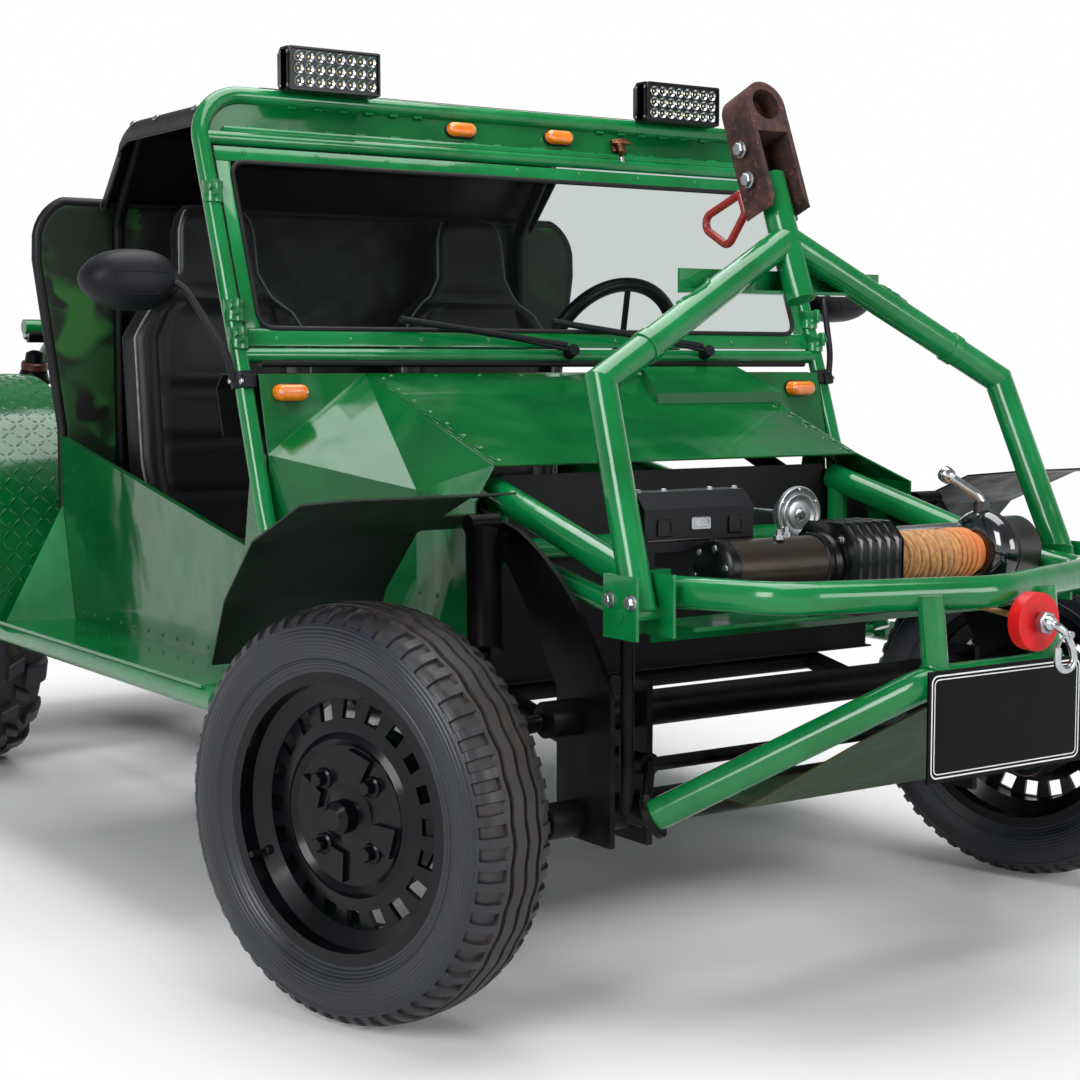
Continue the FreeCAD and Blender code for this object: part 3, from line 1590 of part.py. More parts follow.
def beam_clamp(side):
    """The plate that grips both torsion tubes."""
    reach = s.beam_tube_radius + s.clamp_margin
    inner = s.rail_y * side - s.clamp_plate / 2
    corners = [
        (s.beam_ahead - reach, s.beam_lower_z - reach),
        (s.beam_ahead + reach, s.beam_lower_z - reach),
        (s.beam_ahead + reach, s.beam_upper_z + reach),
        (s.beam_ahead - reach, s.beam_upper_z + reach),
    ]
    plate = profile_face("y", inner, corners, {}).extrude(vec(0, s.clamp_plate, 0))
    for level in (s.beam_upper_z, s.beam_lower_z):
        middle = vec(ahead(s.beam_ahead), s.rail_y * side, level)
        across = vec(0, s.clamp_plate * 2, 0)
        plate = plate.cut(rod(middle - across, middle + across, s.beam_tube_radius + s.fit_gap))
    return plate


def build_bull_bar():
    """A bowed upper bar, a lower bar whose legs run back and down, and two posts."""
    upper_end = vec(ahead(s.bar_end_ahead), s.bar_end_y, s.bar_top_z)
    upper_side = vec(ahead(s.bar_side_ahead), s.bar_side_y, s.bar_top_z)
    upper_mid = vec(ahead(s.bar_front_ahead), ZERO, s.bar_top_z)
    upper = [other_side(upper_end), other_side(upper_side), upper_mid, upper_side, upper_end]
    lower = [other_side(tail_end), other_side(tail_start), tail_start, tail_end]
    shapes = [tube(upper, s.frame_tube, s.bar_bend), tube(lower, s.frame_tube, s.frame_tube)]
    for side in (-1, 1):
        top = vec(ahead(s.bar_front_ahead) - s.post_back, s.post_y * side, s.bar_top_z)
        low = vec(ahead(s.bar_front_ahead), s.post_y * side, s.bar_low_z)
        shapes.append(rod(low, top, s.post_tube / 2))
    node(feature("bull_bar", weld(shapes)))


def build_skid_plate():
    """A folded guard slung between the bar's legs: a front fall, a flat belly and a rear lip."""
    drop = s.frame_tube / 2 + s.fit_gap
    top_z = s.bar_low_z - drop - s.sheet_wall + s.fit_gap * 3
    top_x = ahead(s.bar_front_ahead)
    marks = {}
    for name, sign in (("right", -1), ("left", 1)):
        marks[f"top_{name}"] = vec(top_x, s.skid_top_half * sign, top_z)
        marks[f"fold_{name}"] = vec(ahead(s.skid_fold_ahead), s.skid_fold_half * sign, s.skid_fold_z)
        marks[f"low_{name}"] = vec(ahead(s.skid_low_ahead), s.skid_low_half * sign, s.skid_low_z)
        marks[f"rear_{name}"] = vec(ahead(s.skid_rear_ahead), s.skid_rear_half * sign, s.skid_low_z)
    facets = [
        ("top_right", "top_left", "fold_left", "fold_right"),
        ("fold_right", "fold_left", "low_left", "low_right"),
        ("low_right", "low_left", "rear_left", "rear_right"),
    ]
    node(feature("skid_plate", folded_sheet(marks, facets, -s.sheet_wall)))


def build_plate():
    half = s.plate_width / 2
    low = s.plate_mid_z - s.plate_height / 2
    high = s.plate_mid_z + s.plate_height / 2
    corners = [(-half, low), (half, low), (half, high), (-half, high)]
    node(panel("number_plate", "YZ_Plane", corners, s.plate_thickness, x=bar_face_x + s.fit_gap))


# Tow frame: two legs on pins, elbows, a brace, the stub tube and the ball coupling.

tow_foot = vec(ahead(s.pivot_ahead), s.pivot_y, s.pivot_z)
tow_apex = vec(ahead(s.tow_apex_ahead), ZERO, s.tow_apex_z)
tow_head = vec(ahead(s.tow_head_ahead), ZERO, s.tow_head_z)
stub_heading = tow_head - tow_apex
stub_heading.normalize()
stub_front = vec(0, 1, 0).cross(stub_heading)


def build_tow_frame():
    elbow = vec(ahead(s.tow_elbow_ahead), s.tow_elbow_y, s.tow_elbow_z)
    leg_heading = tow_apex - elbow
    leg_heading.normalize()
    shapes = []
    for side, flip in ((1, same_side), (-1, other_side)):
        shapes.append(tube([flip(tow_foot), flip(elbow), flip(tow_apex)], s.frame_tube))
        sleeve_start = elbow + leg_heading * float((s.tow_elbow_y - s.tow_brace_y) / 2)
        sleeve_end = sleeve_start + leg_heading * float(s.sleeve_length)
        shapes.append(rod(flip(sleeve_start), flip(sleeve_end), s.sleeve_radius))
    depth = s.tow_brace_depth
    corner = vec(ahead(s.tow_brace_ahead) - depth, -s.tow_brace_y, s.tow_brace_z)
    wide = float(s.tow_brace_y * 2)
    shapes.append(Part.makeBox(float(depth), wide, float(s.plate_wall), corner))
    shapes.append(Part.makeBox(float(s.plate_wall), wide, float(depth), corner))
    stub_low = tow_apex - stub_heading * float((s.tow_apex_z - s.tow_brace_z) + s.sleeve_length)
    stub_top = tow_apex + stub_heading * float(s.tow_stub_length)
    shapes.append(rod(stub_low, stub_top, s.frame_tube / 2))
    whole = weld(shapes)
    reach = vec(0, s.pivot_y + s.frame_tube, 0)
    middle = vec(tow_foot.x, 0, tow_foot.z)
    hole = rod(middle - reach, middle + reach, s.pin_radius + s.fit_gap)
    node(feature("tow_frame", whole.cut(hole)))
    build_coupling()


def build_coupling():
    """A cast channel open to the front: a round socket at its top and cheeks that hold the stub."""
    half = s.coupling_half_width
    length = s.coupling_length
    crown = length - half
    tip = s.coupling_tip
    outer = [(ZERO, -half), (crown, -half), (crown, half), (ZERO, half), (tip, half / 2), (tip, -half / 2)]
    body = new_body("coupling_casting")
    pad(body, outline(body, "XY_Plane", outer, {1: (length, ZERO)}), s.coupling_depth, backwards=True)
    inner = half - s.coupling_wall
    end = crown - s.ball_bore_radius - s.coupling_web
    over = s.cut_over
    channel = [(-over, -inner), (end, -inner), (end, inner), (-over, inner)]
    pocket(body, outline(body, "XY_Plane", channel), s.coupling_depth - s.coupling_wall)
    socket = circle_sketch(body, "XY_Plane", crown, ZERO, s.ball_bore_radius)
    pocket(body, socket, s.ball_bore_depth)
    start = tow_apex + stub_heading * float(s.coupling_start)
    front = start + stub_front * float(s.coupling_depth - s.coupling_wall - s.frame_tube / 2 - s.fit_gap)
    turn = FreeCAD.Rotation(stub_heading, vec(0, -1, 0), stub_front, "XYZ")
    place(body, as_size(front.x), as_size(front.y), as_size(front.z), turn)
    rear = front - stub_front * float(s.coupling_depth)
    lug_low = rear + stub_heading * float(s.coupling_tip + s.lug_reach)
    lug_tip = lug_low - stub_front * float(s.lug_reach)
    shapes = []
    for share in (s.coupling_tip + s.coupling_web, crown - s.ball_bore_radius - s.coupling_web * 2):
        middle = start + stub_heading * float(share)
        for side in (-1, 1):
            face = middle + vec(0, half * side, 0)
            shapes.append(rod(face, face + vec(0, s.coupling_bolt_stand * side, 0), s.coupling_bolt_radius))
    lug_side = vec(0, s.coupling_wall / 2, 0)
    lug_top = rear + stub_heading * float(s.coupling_tip + s.lug_reach + s.lug_length)
    lug = flat_face([lug_low - lug_side, lug_tip - lug_side, lug_top - lug_side]).extrude(lug_side * 2)
    shapes.append(lug)
    bolts = feature("coupling_fittings", Part.Compound(shapes))
    node(fused("tow_coupling", [body, bolts]))
    build_handle(lug_tip)


def build_handle(lug_tip):
    """The bent-rod loop that hangs from the coupling's rear lug."""
    wire = s.handle_wire
    top = lug_tip - stub_front * float(wire / 2 + s.fit_gap)
    rear = vec(ahead(s.handle_rear_ahead), ZERO, s.handle_rear_z)
    low = vec(ahead(s.handle_low_ahead), ZERO, s.handle_low_z)
    front = vec(ahead(s.handle_front_ahead), ZERO, s.handle_front_z)
    start = (top + front) * 0.5
    bends = [s.handle_bend / 8, s.handle_bend, s.handle_bend, s.handle_bend]
    node(feature("tow_handle", tube([start, top, rear, low, front, start], wire, bends)))


# Winch, rope and hook.


def build_winch():
    """Motor, housing, drum shaft, domed flange and gear case on one line over a folded tray."""
    x = ahead(s.winch_ahead)
    z = s.winch_z
    right, left = s.winch_right_y, s.winch_left_y
    housing_right, housing_left = s.winch_housing_right_y, s.winch_housing_left_y
    half = s.winch_housing_half
    cut = s.winch_housing_cut
    bell = s.winch_bell_length
    shapes = [
        winch_rod(right, housing_right, s.winch_motor_radius),
        winch_rod(right, right + bell, s.winch_bell_radius),
        winch_rod(housing_right - bell, housing_right, s.winch_bell_radius),
        winch_rod(housing_left, left, s.winch_shaft_radius),
        winch_rod(s.winch_flange_y + s.winch_flange_dome, left - s.winch_gear_cap, s.winch_gear_radius),
        Part.makeCone(
            float(s.winch_gear_radius),
            float(s.winch_gear_radius - s.winch_gear_cap),
            float(s.winch_gear_cap),
            vec(x, left - s.winch_gear_cap, z),
            vec(0, 1, 0),
        ),
        Part.makeCone(
            float(s.winch_shaft_radius + s.rope_pack_radius / 2),
            float(s.winch_flange_radius),
            float(s.winch_flange_dome),
            vec(x, s.winch_flange_y, z),
            vec(0, 1, 0),
        ),
    ]
    octagon = []
    for across, up in ((-1, -1), (1, -1), (1, 1), (-1, 1)):
        first = vec(x + half * across, ZERO, z + (half - cut) * up)
        second = vec(x + (half - cut) * across, ZERO, z + half * up)
        octagon.extend([first, second] if across * up > 0 else [second, first])
    base = [vec(p.x, housing_right, p.z) for p in octagon]
    shapes.append(flat_face(base).extrude(vec(0, housing_left - housing_right, 0)))
    for up in (-1, 1):
        tie_start = vec(x - half + cut, housing_left, z + (half - cut) * up)
        tie_end = vec(tie_start.x, s.winch_flange_y + s.winch_flange_dome, tie_start.z)
        shapes.append(rod(tie_start, tie_end, s.winch_tie_radius))
    lever_foot = vec(x, s.winch_lever_y, z)
    lever_knee = lever_foot + UP * float(s.winch_flange_radius + s.winch_knob_radius)
    lever_top = vec(x - s.winch_lever_lean, s.winch_lever_y - s.winch_lever_lean, z + s.winch_lever_rise)
    knob_end = lever_top + (lever_top - lever_knee).normalize() * float(s.winch_knob_length / 2)
    shapes.append(rod(lever_foot, lever_knee, s.winch_knob_radius))
    shapes.append(rod(lever_knee, lever_top, s.winch_lever_radius))
    shapes.append(rod(lever_top, knob_end, s.winch_knob_radius))
    shapes.append(winch_foot(x, z, housing_right, housing_left))
    shapes.append(winch_foot(x, z, s.winch_flange_y + s.winch_flange_dome, left - s.winch_gear_cap))
    node(feature("winch", weld(shapes)))
    build_tray(z)
    build_control_box()
    build_horn()


def winch_rod(start_y, end_y, radius):
    x = ahead(s.winch_ahead)
    return rod(vec(x, start_y, s.winch_z), vec(x, end_y, s.winch_z), radius)


def winch_foot(x, z, start_y, end_y):
    """A foot block down to the tray."""
    half = s.winch_shaft_radius
    low = z - s.winch_flange_radius - s.winch_foot_wall
    height = float(z - low)
    return Part.makeBox(float(half * 2), float(end_y - start_y), height, vec(x - half, start_y, low))


def build_tray(z):
    """The folded tray that carries the winch between the tow brackets."""
    top = z - s.winch_flange_radius - s.winch_foot_wall - s.fit_gap
    inner = s.pivot_y - s.frame_tube / 2 - s.running_gap - s.bracket_web
    depth = s.bracket_back + s.winch_shaft_radius
    wide = float((inner - s.fit_gap) * 2)
    rear = ahead(s.pivot_ahead) - s.bracket_back - s.frame_tube
    corner = vec(rear, s.fit_gap - inner, top - s.tray_wall)
    flat = Part.makeBox(float(depth + s.frame_tube), wide, float(s.tray_wall), corner)
    lip_low = vec(corner.x, corner.y, corner.z - s.bracket_web / 2)
    lip = Part.makeBox(float(s.tray_wall), wide, float(s.bracket_web / 2), lip_low)
    node(feature("winch_tray", weld([flat, lip])))


def build_control_box():
    """The solenoid box: a prism with a sloping lid edge, on a foot on the bracket's web."""
    rear = ahead(s.control_box_ahead) - s.control_box_length / 2
    front = ahead(s.control_box_ahead) + s.control_box_length / 2
    low, high, cut = s.control_box_low_z, s.control_box_high_z, s.control_box_cut
    right, left = s.control_box_right_y, s.control_box_left_y
    corners = [(rear, low), (front, low), (front, high - cut), (front - cut, high), (rear, high)]
    width = vec(0, left - right, 0)
    box = profile_face("y", right, corners, {}, raw_x=True).extrude(width)
    foot_z = s.pivot_z - s.bracket_drop + s.bracket_height + s.fit_gap
    side = s.brace_tube / 2
    foot = Part.makeBox(float(side), float(side), float(low - foot_z), vec(front - side, right, foot_z))
    node(feature("winch_control_box", weld([box, foot])))


def build_horn():
    """A disc horn on a strap from the cross brace."""
    x = ahead(s.horn_ahead)
    start = vec(x, s.horn_y, s.horn_z)
    middle = start + vec(s.horn_depth, 0, 0)
    disc = Part.makeCone(
        float(s.horn_radius / 2),
        float(s.horn_radius),
        float(s.horn_depth),
        start,
        vec(1, 0, 0),
    )
    rear_x = post_x + s.brace_tube / 2 + s.fit_gap
    strap_low = vec(rear_x, s.horn_y - s.brace_tube / 2, s.brace_rear_z)
    height = float(s.horn_z - s.brace_rear_z + s.pin_radius)
    strap = Part.makeBox(float(s.plate_wall), float(s.brace_tube), height, strap_low)
    stud = rod(vec(rear_x, s.horn_y, s.horn_z), start, s.pin_radius / 2)
    rim = rod(middle, middle + vec(s.horn_rim, 0, 0), s.horn_radius)
    node(feature("horn", weld([disc, rim, strap, stud])))


def build_rope():
    """The rope wound on the drum, its run out under the bar, the stopper and the hook."""
    wound_right = s.winch_housing_left_y + s.fit_gap
    wound_left = s.winch_flange_y - s.fit_gap
    pack = winch_rod(wound_right, wound_left, s.rope_pack_radius)
    core = winch_rod(wound_right, wound_left, s.winch_shaft_radius + s.fit_gap)
    x = ahead(s.winch_ahead)
    face = bar_face_x + s.fit_gap
    leave = vec(x, s.rope_y, s.winch_z - s.rope_pack_radius + s.rope_radius)
    stop = vec(face + s.stopper_depth, s.rope_y, s.rope_exit_z)
    run = rod(leave, stop, s.rope_radius)
    node(feature("winch_rope", pack.cut(core).fuse(run).removeSplitter()))
    heading = (stop - leave).normalize()
    disc_start = vec(face, s.rope_y, s.rope_exit_z)
    disc = rod(disc_start, stop, s.stopper_radius)
    over = heading * float(s.stopper_depth)
    bore = rod(stop - over * 3, stop + over, s.rope_radius + s.fit_gap)
    node(feature("rope_stopper", disc.cut(bore)))
    build_hook(face + s.stopper_depth + s.fit_gap * 2)


def build_hook(start_x):
    """The shank through the stopper and the bent hook that ends the rope."""
    wire = s.hook_wire
    front = ahead(s.front_overhang) - wire / 2
    low = s.rope_exit_z - s.hook_drop
    side = s.rope_y + s.hook_side
    points = [
        vec(start_x, s.rope_y, s.rope_exit_z),
        vec(front - wire, s.rope_y, s.rope_exit_z),
        vec(front - wire, side, s.rope_exit_z - s.hook_side),
        vec(front, side, low),
        vec(front, s.rope_y, low),
        vec(front, s.rope_y, low + s.hook_side),
    ]
    shank = rod(points[0], vec(start_x + s.hook_shank, s.rope_y, s.rope_exit_z), wire)
    node(feature("winch_hook", weld([tube(points, wire, s.hook_wire), shank])))


# Outer wheel covers.


def build_front_fenders():
    """A curved sheet over each front wheel, with a tab to the nose wing."""
    wall = s.sheet_wall
    line = [
        (ahead(s.fender_a_ahead), s.fender_a_z),
        (ahead(s.fender_b_ahead), s.fender_b_z),
        (ahead(s.fender_c_ahead), s.fender_c_z),
        (ahead(s.fender_d_ahead), s.fender_d_z),
        (ahead(s.fender_e_ahead), s.fender_e_z),
    ]
    inner = s.nose_half_width + s.fender_gap_y
    corners = ribbon(line, wall)
    width = s.front_fender_outer_y - inner
    sheet_left = panel("fender_sheet", "XZ_Plane", corners, width, y=s.front_fender_outer_y)
    tab_rear = ahead(s.wing_front_ahead) - s.fender_tab_length
    run_share = (s.fender_d_z - s.fender_c_z) / (s.fender_d_ahead - s.fender_c_ahead)
    tab_low = s.fender_c_z + (s.wing_front_ahead - s.fender_tab_length - s.fender_c_ahead) * run_share
    tab_high = s.fender_c_z + (s.wing_front_ahead - s.fender_c_ahead) * run_share
    tab_line = ribbon([(tab_rear, tab_low), (ahead(s.wing_front_ahead), tab_high)], wall)
    tab_y = s.nose_half_width + s.fit_gap
    tab = panel("fender_tab", "XZ_Plane", tab_line, inner - tab_y + s.cut_over, y=inner + s.cut_over)
    left = fused("front_fender", [sheet_left, tab])
    node(group("front_fenders", [left, mirrored(left, "front_fender_right")]))


def build_rear_fenders():
    """A quarter-round front, a flat top and a sloping tail, with a turned-down outer lip."""
    wall = s.sheet_wall
    radius = s.fender_arc_radius
    cx = ahead(s.fender_arc_ahead)
    cz = s.fender_arc_z
    slant = math.sqrt(0.5)
    tail_x = cx - s.fender_top_length
    end_x = tail_x - s.fender_tail_run
    end_z = cz + radius - s.fender_tail_drop
    outer = [(cx + radius, cz), (cx, cz + radius), (tail_x, cz + radius), (end_x, end_z)]
    inner = [
        (end_x + wall, end_z),
        (tail_x, cz + radius - wall),
        (cx, cz + radius - wall),
        (cx + radius - wall, cz),
    ]
    arcs = {
        0: (cx + radius * slant, cz + radius * slant),
        6: (cx + (radius - wall) * slant, cz + (radius - wall) * slant),
    }
    width = s.fender_outer_y - s.fender_inner_y
    sheet_left = panel("tread_sheet", "XZ_Plane", outer + inner, width, arcs, y=s.fender_outer_y)
    lip = s.fender_lip
    lip_in = [
        (end_x + lip, end_z),
        (tail_x, cz + radius - lip),
        (cx, cz + radius - lip),
        (cx + radius - lip, cz),
    ]
    lip_arcs = {
        0: (cx + radius * slant, cz + radius * slant),
        6: (cx + (radius - lip) * slant, cz + (radius - lip) * slant),
    }
    edge = panel("tread_lip", "XZ_Plane", outer + lip_in, wall, lip_arcs, y=s.fender_outer_y)
    left = fused("rear_fender", [sheet_left, edge])
    node(group("rear_fenders", [left, mirrored(left, "rear_fender_right")]))


# Rear frame, sills, springs, transaxle, engine and exhaust.

bumper_x = axle_x - s.wheelbase - s.rear_overhang + s.frame_tube / 2
rear_face_x = ahead(s.bulkhead_ahead) - s.bulkhead_thickness - s.fit_gap * 2


def build_rear_frame():
    """Lower rails that kick up to the bumper, upper tubes over the axle and a spring bar."""
    kick_x = bumper_x + s.rear_kick_back
    low_front = vec(rear_face_x, s.rear_rail_y, s.rear_rail_z)
    low_kick = vec(kick_x, s.rear_rail_y, s.rear_rail_z)
    low_end = vec(bumper_x, s.rear_rail_y, s.rear_bumper_z)
    high_front = vec(rear_face_x - s.sill_tube / 2, s.rear_upper_y, s.bulkhead_waist_z)
    high_mid = vec(ahead(s.shock_bar_ahead), s.rear_upper_y, s.shock_bar_z)
    high_end = vec(bumper_x, s.rear_rail_y, s.rear_bumper_z)
    shapes = []
    for flip in (same_side, other_side):
        for line in ((low_front, low_kick, low_end), (high_front, high_mid, high_end)):
            shapes.append(tube([flip(point) for point in line], s.sill_tube, s.rear_rail_bend))
    bar_end = vec(high_mid.x, s.spring_y + s.spring_seat * 2, high_mid.z)
    shapes.append(rod(other_side(bar_end), bar_end, s.brace_tube / 2))
    low_cross = vec(rear_face_x - s.sill_tube / 2, s.rear_rail_y, s.rear_rail_z)
    waist = vec(low_cross.x, s.rear_rail_y, s.bulkhead_waist_z)
    for across in (low_cross, waist):
        shapes.append(rod(other_side(across), across, s.brace_tube / 2))
    for flip in (same_side, other_side):
        shapes.append(rod(flip(low_cross), flip(waist), s.rail_tube / 2))
    bumper = vec(bumper_x, s.rear_rail_y + s.bumper_reach, s.rear_bumper_z)
    shapes.append(rod(other_side(bumper), bumper, s.frame_tube / 2))
    node(feature("rear_frame", weld(shapes)))


def build_sills():
    """Outer tubes with running boards, inner rails under the floor and cross tubes."""
    front_x = ahead(s.pillar_knee_ahead)
    rear_x = ahead(s.bulkhead_ahead)
    outer_front = vec(front_x, sill_y, sill_z)
    outer_rear = vec(rear_x, sill_y, sill_z)
    inner_front = vec(front_x, s.rear_rail_y, sill_z)
    inner_rear = vec(rear_x, s.rear_rail_y, sill_z)
    radius = s.sill_tube / 2
    over = vec(s.sill_tube, 0, 0)
    shapes = []
    for flip in (same_side, other_side):
        shapes.append(rod(flip(outer_front + over), flip(outer_rear - over), radius))
        shapes.append(rod(flip(inner_front + over), flip(inner_rear - over), radius))
    for across in (outer_front, outer_rear):
        shapes.append(rod(other_side(across), across, s.rail_tube / 2))
    board_in = s.body_half_width + s.fit_gap
    board_out = sill_y + s.board_overhang
    board_low = s.floor_z - s.sheet_wall
    length = float(front_x - rear_x + s.sheet_wall)
    for low_y in (board_in, -board_out):
        corner = vec(rear_x, low_y, board_low)
        shapes.append(Part.makeBox(length, float(board_out - board_in), float(s.sheet_wall * 2), corner))
    for side in (-1, 1):
        shapes.append(gusset(side))
    node(feature("sill_frame", weld(shapes)))


def gusset(side):
    """A triangular plate from the running board up to the body side's rear corner."""
    foot_z = s.floor_z + s.sheet_wall / 2
    top_y = (s.body_half_width + s.fit_gap) * side
    out_y = sill_y * side
    rear = ahead(s.bulkhead_ahead)
    front = ahead(s.gusset_front_ahead)
    base = [vec(front, top_y, foot_z), vec(rear, out_y, foot_z), vec(rear, top_y, s.gusset_top_z)]
    return flat_face(base).extrude(vec(s.plate_wall, 0, 0))


def build_rear_axle():
    """A transaxle with a bell housing, side tubes and the spindles the wheels turn on."""
    level = s.rear_tyre_radius
    reach = s.rear_track / 2
    inner = reach + drum_back - s.running_gap
    spindle = reach + s.rim_half_width - s.disc_depth - s.rim_wall - s.running_gap
    half = vec(0, spindle, 0)
    centre = vec(rear_axle_x, 0, level)
    shapes = [rod(centre - half, centre + half, s.hub_bore_radius - s.fit_gap)]
    for side in (-1, 1):
        face = vec(rear_axle_x, inner * side, level)
        back = vec(rear_axle_x, (inner - s.rim_wall) * side, level)
        shapes.append(rod(centre, face, s.axle_tube_radius))
        shapes.append(rod(back, face, s.drum_radius))
        seat = vec(ahead(s.spring_lower_ahead), s.spring_y * side, level)
        shapes.append(rod(seat, seat + UP * float(s.axle_lift), s.axle_tube_radius))
    bell_rear = vec(ahead(s.engine_front_ahead) + s.fit_gap, 0, s.crank_z)
    bell_front = bell_rear + vec(s.bell_length, 0, 0)
    forward = vec(1, 0, 0)
    shapes.append(
        Part.makeCone(float(s.bell_radius), float(s.box_radius), float(s.bell_length), bell_rear, forward)
    )
    shapes.append(rod(bell_front, bell_front + forward * float(s.box_length), s.box_radius))
    nose_start = bell_front + forward * float(s.box_length)
    shapes.append(rod(nose_start, nose_start + forward * float(s.box_nose_length), s.box_nose_radius))
    mount_x = nose_start.x + float(s.box_nose_length / 2)
    rail_inner = s.rear_rail_y - s.sill_tube / 2 - s.fit_gap
    mount = vec(mount_x, rail_inner, s.rear_rail_z)
    shapes.append(rod(other_side(mount), mount, s.mount_radius))
    node(feature("rear_axle", weld(shapes)))
    build_springs(level)


def build_springs(level):
    """Coil-overs from the side tubes to the bar above, each coil drawn as a ribbed sleeve."""
    top = vec(ahead(s.shock_bar_ahead), s.spring_y, s.shock_bar_z)
    top = top - UP * float(s.brace_tube / 2 + s.sheet_wall + s.fit_gap)
    low = vec(ahead(s.spring_lower_ahead), s.spring_y, level + s.axle_lift + s.sheet_wall + s.fit_gap)
    length = as_size((top - low).Length)
    seat = s.spring_seat
    pitch = (length - seat * 4) / SIZES["spring_turns"]
    outer = s.spring_radius
    inner = outer - s.spring_wire
    corners = [(ZERO, ZERO), (s.damper_eye_radius, ZERO), (s.damper_eye_radius, seat), (outer, seat)]
    corners.append((outer, seat * 2))
    for turn in range(SIZES["spring_turns"]):
        base = seat * 2 + pitch * turn
        corners.append((inner, base + pitch / 4))
        corners.append((outer, base + pitch / 2))
    crown = seat * 2 + pitch * SIZES["spring_turns"]
    corners.extend([(inner, crown), (outer, crown), (outer, crown + s.spring_seat)])
    corners.append((s.damper_eye_radius, crown + s.spring_seat))
    corners.extend([(s.damper_eye_radius, length), (ZERO, length)])
    heading = top - low
    body = new_body("spring")
    revolve(body, outline(body, "XZ_Plane", corners))
    turn = FreeCAD.Rotation(UP, heading)
    place(body, as_size(low.x), as_size(low.y), as_size(low.z), turn)
    node(group("rear_springs", [body, mirrored(body, "spring_right")]))


def build_engine():
    """A flat four: crankcase, finned barrels, heads, and an upright fan shroud with its pulley."""
    front = ahead(s.engine_front_ahead)
    rear = front - s.engine_length
    half, tall, cut = s.case_half_width, s.case_half_height, s.case_cut
    section = [
        vec(rear, -half, s.crank_z - tall),
        vec(rear, half, s.crank_z - tall),
        vec(rear, half, s.crank_z + tall - cut),
        vec(rear, half - cut, s.crank_z + tall),
        vec(rear, cut - half, s.crank_z + tall),
        vec(rear, -half, s.crank_z + tall - cut),
    ]
    shapes = [flat_face(section).extrude(vec(s.engine_length, 0, 0))]
    middle = front - s.engine_length / 2
    for side in (-1, 1):
        for across in (-1, 1):
            shapes.extend(barrel(middle + s.cylinder_offset * across, side))
        head_y = (half + s.barrel_length) * side - (s.head_length if side < 0 else ZERO)
        corner = vec(rear, head_y, s.crank_z - s.head_height / 2)
        size = (float(s.engine_length), float(s.head_length), float(s.head_height))
        shapes.append(Part.makeBox(size[0], size[1], size[2], corner))
    shapes.append(fan_shroud(front - s.shroud_ahead))
    hub = vec(rear, 0, s.crank_z)
    shapes.append(rod(hub, hub - vec(s.pulley_depth, 0, 0), s.pulley_radius))
    node(feature("engine", weld(shapes)))
    build_exhaust(rear)


def barrel(x, side):
    """One finned cylinder lying across the crankcase."""
    start = s.case_half_width * side
    root = vec(x, start, s.crank_z)
    end = vec(x, start + s.barrel_length * side, s.crank_z)
    shapes = [rod(root, end, s.barrel_radius)]
    pitch = s.barrel_length / SIZES["fin_count"]
    for number in range(SIZES["fin_count"]):
        fin = vec(x, start + (pitch * number + pitch / 2) * side, s.crank_z)
        shapes.append(rod(fin, fin + vec(0, s.fin_wall * side, 0), s.fin_radius))
    return shapes


def fan_shroud(front):
    """The upright fan housing: wide at its foot, rounded over the fan."""
    rear = front - s.shroud_depth
    half = s.shroud_half_width
    corners = [
        (-half, s.shroud_low_z),
        (half, s.shroud_low_z),
        (half, s.shroud_arc_z),
        (s.fan_radius, s.fan_z),
        (-s.fan_radius, s.fan_z),
        (-half, s.shroud_arc_z),
    ]
    face = profile_face("x", rear, corners, {3: (ZERO, s.fan_z + s.fan_radius)})
    shroud = face.extrude(vec(s.shroud_depth, 0, 0))
    inlet = rod(vec(front, 0, s.fan_z), vec(front - s.fan_inlet_depth, 0, s.fan_z), s.fan_inlet_radius)
    return shroud.cut(inlet)


def build_exhaust(rear):
    """Bent pipes from the heads to a muffler across the tail, with one outlet."""
    x = rear - s.muffler_back
    head_y = s.case_half_width + s.barrel_length + s.head_length / 2
    port = s.crank_z - s.head_height / 2 - s.fit_gap
    muffler_end = vec(x, s.muffler_half, s.muffler_z)
    shapes = [rod(other_side(muffler_end), muffler_end, s.muffler_radius)]
    for flip in (same_side, other_side):
        for back in (s.engine_length / 4, s.engine_length * 3 / 4):
            start = vec(rear + back, head_y, port)
            low = vec(rear + back, head_y, s.muffler_z)
            end = vec(x, s.muffler_half - s.pipe_radius * 2, s.muffler_z)
            shapes.append(tube([flip(start), flip(low), flip(end)], s.pipe_radius * 2, s.pipe_radius * 2))
    tip = vec(x, s.muffler_half / 2, s.muffler_z)
    shapes.append(rod(tip, tip - vec(s.tip_collar_reach, 0, 0), s.tip_collar_radius))
    shapes.append(rod(tip, tip - vec(s.tip_reach, 0, 0), s.pipe_radius))
    node(feature("exhaust", weld(shapes)))


# Seats and controls.


